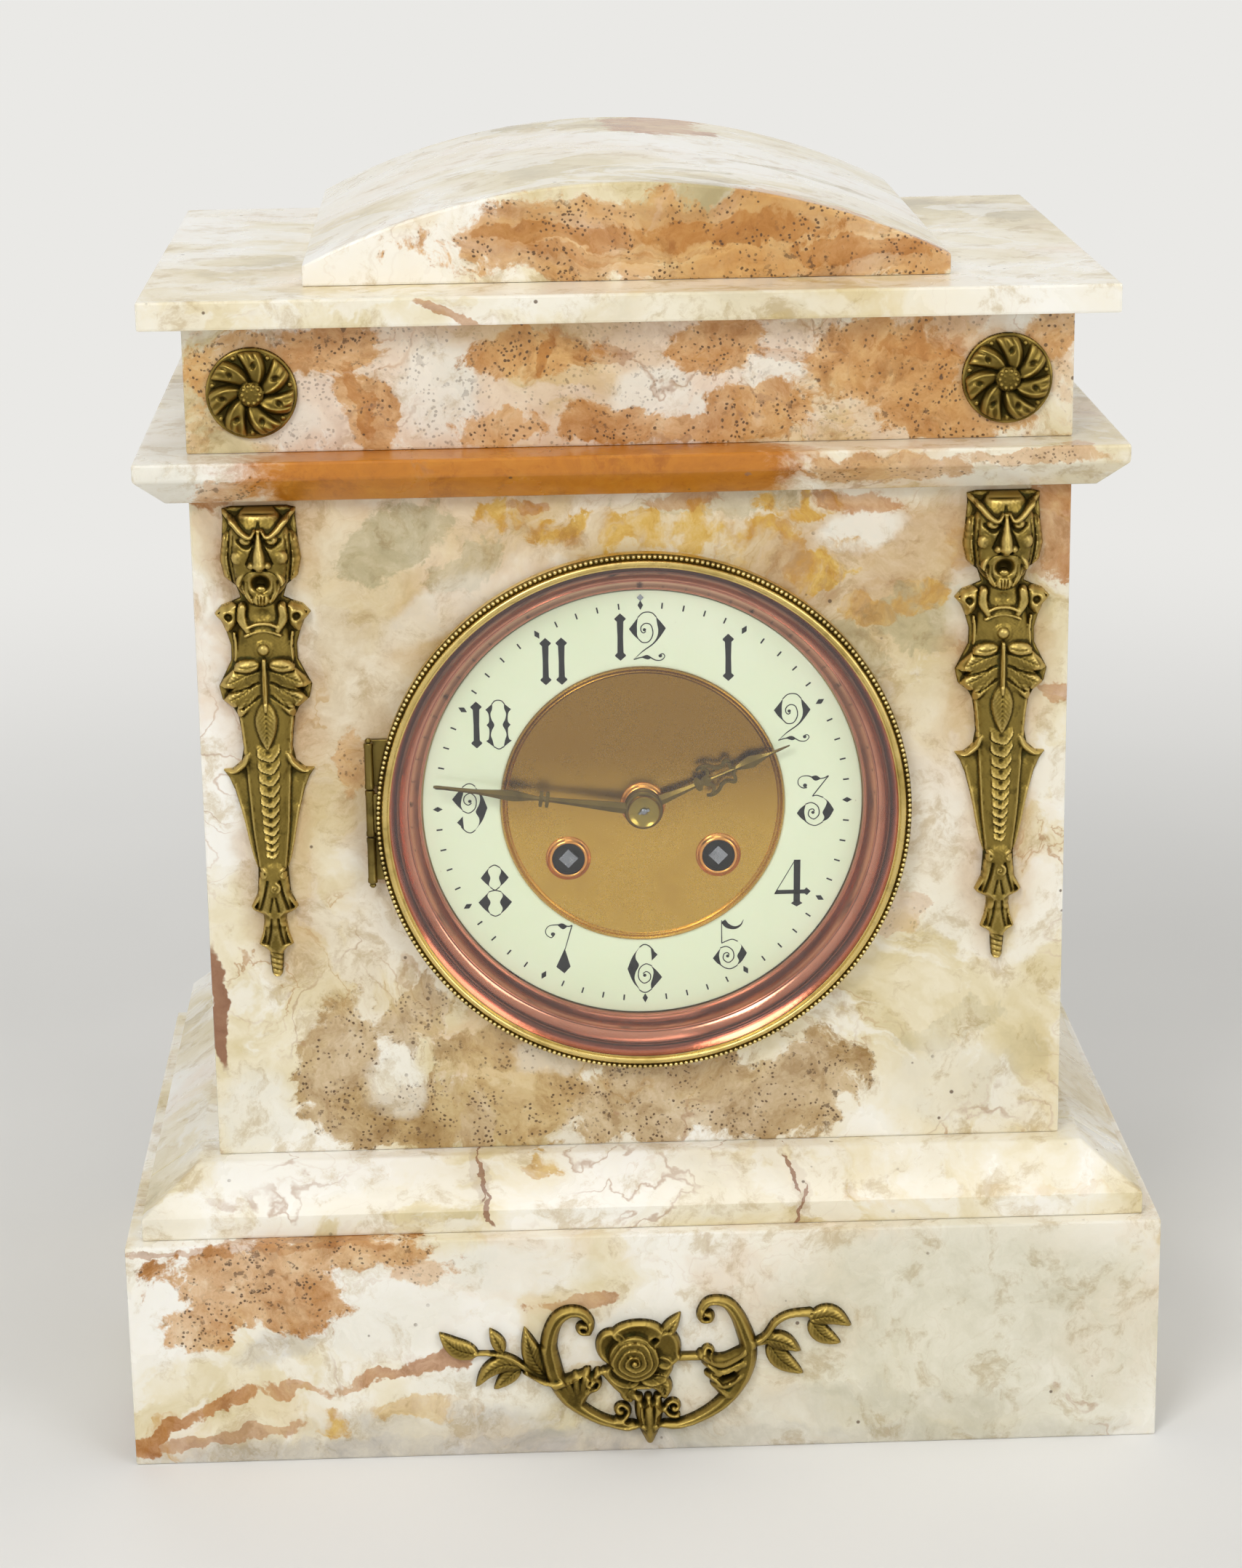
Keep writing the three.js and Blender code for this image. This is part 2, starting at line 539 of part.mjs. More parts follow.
// A hinge knuckle about the door's axis, between two heights
function knuckle(z0, z1) {
  const geometry = new THREE.CylinderGeometry(HINGE_RADIUS, HINGE_RADIUS, z1 - z0, 10).rotateX(Math.PI / 2);
  return solidOf(geometry.translate(HINGE_X, HINGE_Y, (z0 + z1) / 2));
}

const hingeBottom = HINGE_LIFT - HINGE_HEIGHT / 2;
const knuckleHeight = HINGE_HEIGHT / 3;
const knuckleBounds = (i) => [
  hingeBottom + knuckleHeight * i + FIT / 2, hingeBottom + knuckleHeight * (i + 1) - FIT / 2];

// The fixed ring: a flange on the stone, a tube through it, a lip behind the dial and two lugs
function caseRing() {
  const flangeFront = BODY_FACE - FLANGE_THICKNESS;
  const lipFront = DIAL_PLATE_BACK;
  const lipBack = lipFront + 1.5;
  const tubeBack = BODY_FACE + RING_TUBE_LENGTH;
  const outer = RING_TUBE_RADIUS + RING_TUBE_WALL;
  const ring = turned([
    [RING_TUBE_RADIUS, flangeFront], [FLANGE_RADIUS, flangeFront], [FLANGE_RADIUS, BODY_FACE],
    [outer, BODY_FACE], [outer, tubeBack], [RING_TUBE_RADIUS, tubeBack], [RING_TUBE_RADIUS, lipBack],
    [RING_TUBE_RADIUS - RING_LIP_WIDTH, lipBack], [RING_TUBE_RADIUS - RING_LIP_WIDTH, lipFront],
    [RING_TUBE_RADIUS, lipFront]], RING_SIDES);
  const parts = [ring];
  for (const i of [0, 2]) {
    const [z0, z1] = knuckleBounds(i);
    parts.push(knuckle(z0, z1));
    parts.push(box(HINGE_X - HINGE_RADIUS, HINGE_X + HINGE_RADIUS, HINGE_Y, BODY_FACE, z0, z1));
    const foot = box(HINGE_X, 3 - FLANGE_RADIUS, flangeFront + 0.1, BODY_FACE, z0, z1);
    parts.push(foot);
  }
  for (const side of [-1, 1]) {
    const [near, far] = [TIE_SCREW_X - 4, RING_TUBE_RADIUS + 0.5].map((r) => r * side);
    parts.push(box(Math.min(near, far), Math.max(near, far), tubeBack - 2.5, tubeBack, -5, 5));
  }
  piece('case_ring', gilt, join(parts), dialGroup);
}

// The door: a moulded gilt ring with the middle knuckle, bevelled glass and a copper reflector ring
function bezelDoor() {
  const inner = BEZEL_RADIUS - REBATE;
  const opening = BEZEL_RADIUS - GILT_RING_WIDTH;
  const ring = turned([
    [opening, GLASS_FRONT], [opening, BEZEL_FRONT], [BEZEL_RADIUS - 0.9, BEZEL_FRONT + 0.4],
    [BEZEL_RADIUS, BEZEL_FRONT + 1.8], [BEZEL_RADIUS, BEZEL_BACK], [inner, BEZEL_BACK],
    [inner, GLASS_FRONT]], RING_SIDES);
  const [z0, z1] = knuckleBounds(1);
  const leaf = box(HINGE_X, 1 - BEZEL_RADIUS, HINGE_Y - 1, HINGE_Y + 1, z0 + 1, z1 - 1);
  piece('bezel_ring', gilt, join(ring, knuckle(z0, z1), leaf), dialGroup);
  const glassBack = GLASS_FRONT + GLASS_THICKNESS;
  piece('bezel_glass', crystal, turned([
    [0, GLASS_FRONT], [GLASS_RADIUS - 6, GLASS_FRONT], [GLASS_RADIUS, GLASS_FRONT + 0.8],
    [GLASS_RADIUS, glassBack], [0, glassBack]].map(([r, y]) => [r, y + FIT / 3]), RING_SIDES), dialGroup);
  const front = glassBack + 0.2;
  const end = DIAL_FACE - FIT;
  const depth = end - front;
  const wide = GLASS_RADIUS - REHAUT_RADIUS;
  const inside = [[1, 0], [0.7, 0.1], [0.45, 0.5], [0, 1]];
  const outside = [[REHAUT_WALL / wide, 1], [0.56, 0.5], [0.65, 0.19], [1, 0.15]];
  const rehaut = [...inside, ...outside].map(([w, d]) => [REHAUT_RADIUS + wide * w, front + depth * d]);
  piece('rehaut', copper, turned(rehaut, RING_SIDES), dialGroup);
}

const windingX = WINDING_SPACING / 2;
const goingArbor = [windingX, -WINDING_DROP];
const strikeArbor = [-windingX, -WINDING_DROP];

function dial() {
  const holes = [goingArbor, strikeArbor].map(([x, z]) =>
    bore(x, z, GROMMET_BORE + 0.6, DIAL_FACE - 5, DIAL_PLATE_BACK + 5, 14));
  holes.push(bore(0, 0, GROMMET_BORE + 0.6, DIAL_FACE - 5, DIAL_PLATE_BACK + 5, 14));
  const regulatorHole = bore(0, REGULATOR_HEIGHT, REGULATOR_RADIUS + 0.6, DIAL_FACE - 5, DIAL_PLATE_BACK + 5, 8);
  const backing = rod(0, 0, DIAL_PLATE_RADIUS, DIAL_PLATE_FRONT, DIAL_PLATE_BACK, RING_SIDES);
  const feet = [30, 150, 270].map((angle) => {
    const [x, z] = polar(PLATE_RADIUS - 6, radians(angle));
    return rod(x, z, DIAL_FOOT_RADIUS, DIAL_PLATE_BACK - 0.5, PLATE_FRONT, 8);
  });
  piece('dial_plate', brass, cut(join(backing, feet), holes, regulatorHole), dialGroup);
  const discEdge = CENTRE_DISC_RADIUS + FIT;
  const ring = turned([[discEdge, DIAL_FACE], [DIAL_RADIUS, DIAL_FACE], [DIAL_RADIUS, DIAL_PLATE_FRONT],
    [discEdge, DIAL_PLATE_FRONT]], RING_SIDES);
  piece('chapter_ring', enamel, cut(ring, regulatorHole), dialGroup);
  const rim = CENTRE_DISC_RADIUS - CENTRE_RIM_WIDTH;
  const floor = DIAL_FACE + 0.3;
  const disc = turned([[0, floor], [rim - 0.6, floor], [rim, DIAL_FACE - CENTRE_RIM_RISE],
    [CENTRE_DISC_RADIUS, DIAL_FACE - CENTRE_RIM_RISE], [CENTRE_DISC_RADIUS, DIAL_PLATE_FRONT],
    [0, DIAL_PLATE_FRONT]], RING_SIDES);
  piece('dial_centre', gilt, cut(disc, holes), dialGroup);
  // Each grommet is a dished collar seated in its hole
  const collar = (x, z) => turned([[GROMMET_BORE, floor - GROMMET_RISE], [GROMMET_BORE + 0.9, floor - GROMMET_RISE],
    [GROMMET_RADIUS, floor - 0.1], [GROMMET_BORE + 0.45, floor - 0.1], [GROMMET_BORE, DIAL_PLATE_BACK]],
  12, x, z);
  piece('grommet_right', copper, collar(...goingArbor), dialGroup);
  piece('grommet_left', copper, collar(...strikeArbor), dialGroup);
  piece('grommet_centre', copper, collar(0, 0), dialGroup);
}

// Toothed wheels

// A wheel's teeth: half widths at root and tip as shares of the pitch, heights in modules
const CLOCK_TEETH = { root: 0.5, tip: 0.1, addendum: 0.8, dedendum: 1.4 };
const FINE_TEETH = { root: 0.5, tip: 0, addendum: 0.75, dedendum: 1.6 };
const LEAVES = { root: 0.5, tip: 0, addendum: 0.75, dedendum: 1.5 };

function toothed(teeth, module, form, phase = 0) {
  const radius = (teeth * module) / 2;
  const pitch = TURN / teeth;
  const outline = [];
  for (let i = 0; i < teeth; i += 1) {
    const middle = phase + pitch * i;
    const low = radius - form.dedendum * module;
    const high = radius + form.addendum * module;
    if (form.root < 0.5) outline.push(polar(low, middle - form.root * pitch));
    if (form.tip > 0) {
      outline.push(polar(high, middle - form.tip * pitch), polar(high, middle + form.tip * pitch));
    } else {
      outline.push(polar(high, middle));
    }
    outline.push(polar(low, middle + form.root * pitch));
  }
  return outline;
}

// The turn that puts a follower in mesh with a wheel whose phase is known
function meshPhase(from, fromTeeth, fromPhase, to, toTeeth) {
  const line = Math.atan2(to[1] - from[1], to[0] - from[0]);
  const share = (line - fromPhase) / (TURN / fromTeeth);
  return line + Math.PI - (0.5 - (share - Math.floor(share))) * (TURN / toTeeth);
}

// The point at the two distances given from two others, on the left of the line between them
function apexOf(a, ra, b, rb) {
  const d = gap(a, b);
  const along = (d * d + ra * ra - rb * rb) / (2 * d);
  const across = Math.sqrt(ra * ra - along * along);
  const [ux, uz] = [(b[0] - a[0]) / d, (b[1] - a[1]) / d];
  return [a[0] + ux * along - uz * across, a[1] + uz * along + ux * across];
}

const spacing = (teethA, teethB, module) => ((teethA + teethB) * module) / 2;
const centre = [0, 0];
const intermediate = apexOf(centre, spacing(INTERMEDIATE_TEETH, CENTRE_PINION_LEAVES, INTERMEDIATE_MODULE),
  goingArbor, spacing(BARREL_TEETH, FIRST_PINION_LEAVES, BARREL_MODULE));
const escape = [0, ESCAPE_HEIGHT];
const third = apexOf(centre, spacing(CENTRE_TEETH, THIRD_PINION_LEAVES, CENTRE_MODULE),
  escape, spacing(THIRD_TEETH, ESCAPE_PINION_LEAVES, THIRD_MODULE));
const offset = ([x, z], distance, degrees) => {
  const [dx, dz] = polar(distance, radians(degrees));
  return [x + dx, z + dz];
};
const motionDistance = spacing(CANNON_LEAVES, MINUTE_TEETH, MOTION_MODULE);
const hourModule = (2 * motionDistance) / (MINUTE_PINION_LEAVES + HOUR_TEETH);
const minuteArbor = offset(centre, motionDistance, MINUTE_WHEEL_ANGLE);
const strikeWheelArbor = offset(strikeArbor, spacing(BARREL_TEETH, FIRST_PINION_LEAVES, BARREL_MODULE),
  STRIKE_WHEEL_ANGLE);
const pinArbor = offset(strikeWheelArbor, spacing(STRIKE_WHEEL_TEETH, PIN_PINION_LEAVES, STRIKE_MODULE),
  PIN_WHEEL_ANGLE);
const hammerArbor = [HAMMER_X, HAMMER_Z];
const palletArbor = [0, PALLET_HEIGHT];

// Depths of the train, from the front plate backwards
const INTERMEDIATE_Y = TRAIN_FRONT + 2;
const BARREL_GEAR_Y = INTERMEDIATE_Y + WHEEL_THICKNESS + 1.8;
const BARREL_GEAR_THICKNESS = 2.4;
const DRUM_BACK = BARREL_GEAR_Y + BARREL_GEAR_THICKNESS + BARREL_LENGTH;
const CENTRE_WHEEL_Y = DRUM_BACK + 1;
const ESCAPE_Y = CENTRE_WHEEL_Y + WHEEL_THICKNESS + 2.3;
const THIRD_WHEEL_Y = CENTRE_WHEEL_Y - 7;
const PIN_WHEEL_Y = TRAIN_FRONT + 12;
const STRIKE_WHEEL_Y = INTERMEDIATE_Y;
const RATCHET_BACK = PLATE_FRONT - SIDE_CLEARANCE;
const RATCHET_FRONT = RATCHET_BACK - 1.6;
const CANNON_TEETH_BACK = PLATE_FRONT - 1.6;
const MINUTE_WHEEL_BACK = CANNON_TEETH_BACK - 1.2;
const MINUTE_WHEEL_FRONT = MINUTE_WHEEL_BACK - 1.4;
const HOUR_WHEEL_FRONT = DIAL_PLATE_BACK + 1.8;
const HOUR_WHEEL_BACK = HOUR_WHEEL_FRONT + 1.4;
const CANNON_RADIUS = 1.9;
const HOUR_PIPE_RADIUS = 3;
const POST_RADIUS = 1;
const PIVOT_SHOULDER = SIDE_CLEARANCE;

// Plates: the front one carries the pillars and the motion work's post
const pivots = () => [centre, third, escape, intermediate, strikeWheelArbor, pinArbor, palletArbor, hammerArbor];

function plates() {
  const front = rod(0, 0, PLATE_RADIUS, PLATE_FRONT, TRAIN_FRONT, DISC_SIDES);
  const pillars = [62, 118, 188, 270, 352].map((angle) => {
    const [x, z] = polar(PILLAR_CIRCLE, radians(angle));
    return rod(x, z, PILLAR_RADIUS, TRAIN_FRONT - 1, TRAIN_BACK, 8);
  });
  const post = rod(...minuteArbor, POST_RADIUS, HOUR_WHEEL_FRONT - 0.6, PLATE_FRONT + 1, 8);
  const shaftHoles = (y0, y1) => pivots().map(([x, z]) => {
    const radius = x === 0 && z === 0 ? ARBOR_RADIUS : PIVOT_RADIUS;
    return bore(x, z, radius + RUNNING_CLEARANCE, y0, y1, 6);
  });
  const frontHoles = [...shaftHoles(PLATE_FRONT - 1, TRAIN_FRONT + 1),
    ...[goingArbor, strikeArbor].map(([x, z]) =>
      bore(x, z, WINDING_ARBOR_RADIUS + RUNNING_CLEARANCE, PLATE_FRONT - 1, TRAIN_FRONT + 1, 10))];
  piece('front_plate', brass, join(cut(front, frontHoles), pillars, post), dialGroup);
  const back = rod(0, 0, PLATE_RADIUS, TRAIN_BACK, PLATE_BACK, DISC_SIDES);
  const backHoles = [...shaftHoles(TRAIN_BACK - 1, PLATE_BACK + 1),
    ...[goingArbor, strikeArbor].map(([x, z]) =>
      bore(x, z, WINDING_ARBOR_RADIUS - 1 + RUNNING_CLEARANCE, TRAIN_BACK - 1, PLATE_BACK + 1, 8))];
  piece('back_plate', brass, cut(back, backHoles), dialGroup);
}

// An arbor with a pivot at each end, through both plates
function arbor(front = PLATE_FRONT + 0.3, back = PLATE_BACK - 0.3) {
  return join(rod(0, 0, ARBOR_RADIUS, TRAIN_FRONT + PIVOT_SHOULDER, TRAIN_BACK - PIVOT_SHOULDER, 6),
    rod(0, 0, PIVOT_RADIUS, front, back, 6));
}

const goingBarrelPhase = 0;
const firstPinionPhase = meshPhase(goingArbor, BARREL_TEETH, goingBarrelPhase, intermediate, FIRST_PINION_LEAVES);
const centrePinionPhase = meshPhase(intermediate, INTERMEDIATE_TEETH, 0, centre, CENTRE_PINION_LEAVES);
const thirdPinionPhase = meshPhase(centre, CENTRE_TEETH, 0, third, THIRD_PINION_LEAVES);
const escapePinionPhase = meshPhase(third, THIRD_TEETH, 0, escape, ESCAPE_PINION_LEAVES);
const minuteWheelPhase = meshPhase(centre, CANNON_LEAVES, 0, minuteArbor, MINUTE_TEETH);
const hourWheelPhase = meshPhase(minuteArbor, MINUTE_PINION_LEAVES, 0, centre, HOUR_TEETH);
const strikePinionPhase = meshPhase(strikeArbor, BARREL_TEETH, 0, strikeWheelArbor, FIRST_PINION_LEAVES);
const pinPinionPhase = meshPhase(strikeWheelArbor, STRIKE_WHEEL_TEETH, 0, pinArbor, PIN_PINION_LEAVES);

// A spring barrel: toothed edge, drum and a bore for the winding arbor
function barrel(name, [x, z]) {
  const gear = plate(toothed(BARREL_TEETH, BARREL_MODULE, FINE_TEETH), BARREL_GEAR_Y,
    BARREL_GEAR_Y + BARREL_GEAR_THICKNESS);
  const drum = rod(0, 0, BARREL_DRUM_RADIUS, BARREL_GEAR_Y + 1, DRUM_BACK, 20);
  const hole = bore(0, 0, WINDING_ARBOR_RADIUS + RUNNING_CLEARANCE, BARREL_GEAR_Y - 1, DRUM_BACK + 1, 10);
  piece(name, brass, cut(join(gear, drum), hole), dialGroup, x, z);
}

// A winding arbor: key square, ratchet wheel and the shaft through its barrel
function windingArbor(name, [x, z]) {
  const half = WINDING_SQUARE / Math.SQRT2;
  const square = plate(circle(0, 0, half, 4), DIAL_FACE - 0.2, RATCHET_FRONT + 0.5);
  const saw = [];
  for (let i = 0; i < RATCHET_TEETH; i += 1) {
    saw.push(polar(RATCHET_RADIUS, (TURN * i) / RATCHET_TEETH));
    saw.push(polar(RATCHET_RADIUS * 0.8, (TURN * (i + 0.08)) / RATCHET_TEETH));
  }
  const shaft = rod(0, 0, WINDING_ARBOR_RADIUS, RATCHET_BACK - 0.5, TRAIN_BACK - SIDE_CLEARANCE, 10);
  const pivot = rod(0, 0, WINDING_ARBOR_RADIUS - 1, TRAIN_BACK - 1, PLATE_BACK, 8);
  piece(name, steel, join(square, plate(saw, RATCHET_FRONT, RATCHET_BACK), shaft, pivot), dialGroup, x, z);
}

// A click whose nose stands just clear of the ratchet's tips, screwed to the front plate
function click(name, [x, z], side) {
  const reach = RATCHET_RADIUS + FIT;
  const outline = [[side * reach, 0.8], [side * (reach + 1), -1], [side * (reach + 5), 4.2],
    [side * (reach + 5.2), 7], [side * (reach + 3.4), 7.6], [side * (reach + 2), 5]];
  if (side > 0) outline.reverse();
  const nose = plate(outline, RATCHET_FRONT, PLATE_FRONT);
  const screw = rod(side * (reach + 3.8), 5.6, 1.5, RATCHET_FRONT - 0.8, PLATE_FRONT - 0.5, 8);
  piece(name, steel, join(nose, screw), dialGroup, x, z);
}

function goingTrain() {
  barrel('going_barrel', goingArbor);
  const wheelPlate = (teeth, module, y) => plate(toothed(teeth, module, FINE_TEETH), y, y + WHEEL_THICKNESS);
  const pinion = (leaves, module, phase, y0, y1) => plate(toothed(leaves, module, LEAVES, phase), y0, y1);
  piece('intermediate_wheel', brass, join(
    arbor(), wheelPlate(INTERMEDIATE_TEETH, INTERMEDIATE_MODULE, INTERMEDIATE_Y),
    pinion(FIRST_PINION_LEAVES, BARREL_MODULE, firstPinionPhase, INTERMEDIATE_Y + 0.6,
      BARREL_GEAR_Y + BARREL_GEAR_THICKNESS + 1)), dialGroup, ...intermediate);
  const centreArbor = rod(0, 0, ARBOR_RADIUS, MINUTE_HAND_BACK - HAND_THICKNESS + 0.3, PLATE_BACK - 0.3, 10);
  piece('centre_wheel', brass, join(
    centreArbor, wheelPlate(CENTRE_TEETH, CENTRE_MODULE, CENTRE_WHEEL_Y),
    pinion(CENTRE_PINION_LEAVES, INTERMEDIATE_MODULE, centrePinionPhase, INTERMEDIATE_Y - 1,
      INTERMEDIATE_Y + WHEEL_THICKNESS + 1)), dialGroup);
  piece('third_wheel', brass, join(
    arbor(), wheelPlate(THIRD_TEETH, THIRD_MODULE, THIRD_WHEEL_Y),
    pinion(THIRD_PINION_LEAVES, CENTRE_MODULE, thirdPinionPhase, CENTRE_WHEEL_Y - 1,
      CENTRE_WHEEL_Y + WHEEL_THICKNESS + 1)), dialGroup, ...third);
  const saw = [];
  for (let i = 0; i < ESCAPE_TEETH; i += 1) {
    saw.push(polar(ESCAPE_RADIUS, (TURN * i) / ESCAPE_TEETH));
    saw.push(polar(ESCAPE_RADIUS * 0.84, (TURN * (i + 0.35)) / ESCAPE_TEETH));
  }
  piece('escape_wheel', brass, join(
    arbor(), plate(saw, ESCAPE_Y, ESCAPE_Y + 1),
    pinion(ESCAPE_PINION_LEAVES, THIRD_MODULE, escapePinionPhase, THIRD_WHEEL_Y - 1,
      THIRD_WHEEL_Y + WHEEL_THICKNESS + 1)), dialGroup, ...escape);
}

// The anchor over the escape wheel, its arbor, and the crutch behind the back plate
function pallets() {
  const drop = PALLET_HEIGHT - ESCAPE_HEIGHT;
  const reach = ESCAPE_RADIUS + PALLET_CLEARANCE;
  const nose = (angle) => {
    const [x, z] = polar(reach, radians(angle));
    return [x, z - drop];
  };
  const [tipX, tipZ] = nose(38);
  const anchor = plate([[-1.6, 2], [1.6, 2], [tipX + 1.2, tipZ + 4], [tipX + 1.6, tipZ - 0.4], [tipX, tipZ],
    [tipX - 0.6, tipZ + 3], [0, -1.6], [0.6 - tipX, tipZ + 3], [-tipX, tipZ], [-tipX - 1.6, tipZ - 0.4],
    [-tipX - 1.2, tipZ + 4]].reverse(), ESCAPE_Y - 0.3, ESCAPE_Y + 1.3);
  const crutchY = PLATE_BACK + 4;
  const shaft = join(rod(0, 0, ARBOR_RADIUS, TRAIN_FRONT + PIVOT_SHOULDER, TRAIN_BACK - PIVOT_SHOULDER, 8),
    rod(0, 0, PIVOT_RADIUS, PLATE_FRONT + 0.3, crutchY + 0.8, 8));
  const arm = box(-0.8, 0.8, crutchY, crutchY + 1, -CRUTCH_LENGTH, 0.8);
  const slot = ROD_RADIUS + FIT;
  const prongEnd = PENDULUM_Y + ROD_RADIUS;
  const bar = box(-slot - 1, slot + 1, crutchY, crutchY + 1, -CRUTCH_LENGTH - 1, -CRUTCH_LENGTH + 1);
  const prongs = [-1, 1].map((side) => {
    const [a, b] = [side * slot, side * (slot + 1)].sort((p, q) => p - q);
    return box(a, b, crutchY, prongEnd, -CRUTCH_LENGTH - 1, -CRUTCH_LENGTH + 1);
  });
  piece('pallets', steel, join(anchor, shaft, arm, bar, prongs), dialGroup, ...palletArbor);
}

// Cock on the back plate: it holds the suspension strip and the regulator's bearing
function suspension() {
  const top = REGULATOR_HEIGHT + 4;
  const foot = join(
    box(-9, -3, PLATE_BACK, PLATE_BACK + 2, PALLET_HEIGHT - 4, PALLET_HEIGHT + 4),
    box(3, 9, PLATE_BACK, PLATE_BACK + 2, PALLET_HEIGHT - 4, PALLET_HEIGHT + 4),
    box(-9, 9, PLATE_BACK, PLATE_BACK + 2, PALLET_HEIGHT + 3, top),
    box(-3, 3, PLATE_BACK + 1, PENDULUM_Y + 2, PALLET_HEIGHT + 4, PALLET_HEIGHT + 9),
    box(-1.5, 1.5, PENDULUM_Y - 0.2, PENDULUM_Y + 0.2, PALLET_HEIGHT + 0.3, PALLET_HEIGHT + 5));
  const hole = bore(0, REGULATOR_HEIGHT, REGULATOR_RADIUS + RUNNING_CLEARANCE, PLATE_BACK - 1, PLATE_BACK + 3, 10);
  piece('suspension_cock', brass, cut(foot, hole), dialGroup);
  const arborSquare = plate(circle(0, 0, REGULATOR_RADIUS, 4), DIAL_FACE - 0.4, DIAL_PLATE_BACK + 1);
  piece('regulator_arbor', steel, join(arborSquare,
    rod(0, 0, REGULATOR_RADIUS, DIAL_PLATE_BACK + 0.5, PLATE_BACK + 2.5, 8),
    rod(0, 0, 2.4, PLATE_BACK + 2 + SIDE_CLEARANCE, PLATE_BACK + 4, 14)), dialGroup, 0, REGULATOR_HEIGHT);
}

function pendulum() {
  const strip = box(-1.5, 1.5, PENDULUM_Y - 0.2, PENDULUM_Y + 0.2, -9, -0.3);
  const block = box(-3, 3, PENDULUM_Y - 1.4, PENDULUM_Y + 1.4, -12, -8);
  const upright = new THREE.CylinderGeometry(ROD_RADIUS, ROD_RADIUS, PENDULUM_LENGTH + BOB_RADIUS - 6, 8);
  const shaft = solidOf(upright.rotateX(Math.PI / 2).translate(0, PENDULUM_Y, -11 - (PENDULUM_LENGTH + BOB_RADIUS - 6) / 2));
  const half = BOB_THICKNESS / 2;
  const bob = turned([[0, PENDULUM_Y - half], [BOB_RADIUS * 0.7, PENDULUM_Y - half * 0.65], [BOB_RADIUS, PENDULUM_Y],
    [BOB_RADIUS * 0.7, PENDULUM_Y + half * 0.65],
    [0, PENDULUM_Y + half]], 20, 0, -PENDULUM_LENGTH);
  const nut = new THREE.CylinderGeometry(3.2, 3.2, 2.4, 12).rotateX(Math.PI / 2);
  const rating = solidOf(nut.translate(0, PENDULUM_Y, -PENDULUM_LENGTH - BOB_RADIUS - 1));
  piece('pendulum', brass, join(strip, block, shaft, bob, rating), dialGroup, ...palletArbor);
}

// Strike side: barrel, wheel with its count wheel, pin wheel and hammer
function strikeTrain() {
  barrel('strike_barrel', strikeArbor);
  const wheel = plate(toothed(STRIKE_WHEEL_TEETH, STRIKE_MODULE, FINE_TEETH), STRIKE_WHEEL_Y,
    STRIKE_WHEEL_Y + WHEEL_THICKNESS);
  const countY = PLATE_BACK + 1.2;
  const notches = [];
  const notchCount = 8;
  for (let i = 0; i < notchCount; i += 1) {
    const start = (TURN * i) / notchCount;
    notches.push(polar(COUNT_WHEEL_RADIUS, start), polar(COUNT_WHEEL_RADIUS, start + 0.36));
    notches.push(polar(COUNT_WHEEL_RADIUS - 1.5, start + 0.38), polar(COUNT_WHEEL_RADIUS - 1.5, start + 0.5));
  }
  piece('strike_wheel', brass, join(arbor(PLATE_FRONT + 0.3, countY + 0.5), wheel,
    plate(toothed(FIRST_PINION_LEAVES, BARREL_MODULE, LEAVES, strikePinionPhase), STRIKE_WHEEL_Y + 0.6,
      BARREL_GEAR_Y + BARREL_GEAR_THICKNESS + 1),
    plate(notches, countY, countY + 1)), dialGroup, ...strikeWheelArbor);
  const pins = Array.from({ length: 6 }, (_, i) => {
    const [x, z] = polar(PIN_WHEEL_RADIUS - 1, (TURN * i) / 6);
    return rod(x, z, 0.5, PIN_WHEEL_Y - 3, PIN_WHEEL_Y + 0.5, 4);
  });
  piece('pin_wheel', brass, join(arbor(), rod(0, 0, PIN_WHEEL_RADIUS, PIN_WHEEL_Y, PIN_WHEEL_Y + WHEEL_THICKNESS, 20),
    pins, plate(toothed(PIN_PINION_LEAVES, STRIKE_MODULE, LEAVES, pinPinionPhase), STRIKE_WHEEL_Y - 1,
      STRIKE_WHEEL_Y + WHEEL_THICKNESS + 1)), dialGroup, ...pinArbor);
}

// The hammer hangs from its arbor behind the back plate, its head beside the gong's outer turn
function hammer() {
  const toPins = gap(hammerArbor, pinArbor);
  const tailLength = toPins - PIN_WHEEL_RADIUS - 2 * FIT;
  const lean = Math.atan2(pinArbor[1] - hammerArbor[1], pinArbor[0] - hammerArbor[0]);
  const [tx, tz] = polar(tailLength, lean);
  const [wx, wz] = polar(0.9, lean + Math.PI / 2);
  const tail = plate([[wx, wz], [-wx, -wz], [tx - wx, tz - wz], [tx + wx, tz + wz]], PIN_WHEEL_Y - 2.6,
    PIN_WHEEL_Y - 1.2);
  const shaft = join(arbor(PLATE_FRONT + 0.3, GONG_Y + 1));
  const gongEdge = [-GONG_RADIUS - GONG_WIRE, GONG_DROP];
  const headX = gongEdge[0] - 3 - FIT - HAMMER_X;
  const headZ = gongEdge[1] - HAMMER_Z;
  const arm = tube([[0, GONG_Y, 0], [headX * 0.6, GONG_Y, headZ * 0.5], [headX, GONG_Y, headZ]], 0.8, 5, 5);
  const head = new THREE.CylinderGeometry(2.6, 2.6, 6, 10).rotateZ(Math.PI / 2).translate(headX, GONG_Y, headZ);
  piece('hammer', steel, join(tail, shaft, arm, solidOf(head)), dialGroup, ...hammerArbor);
}

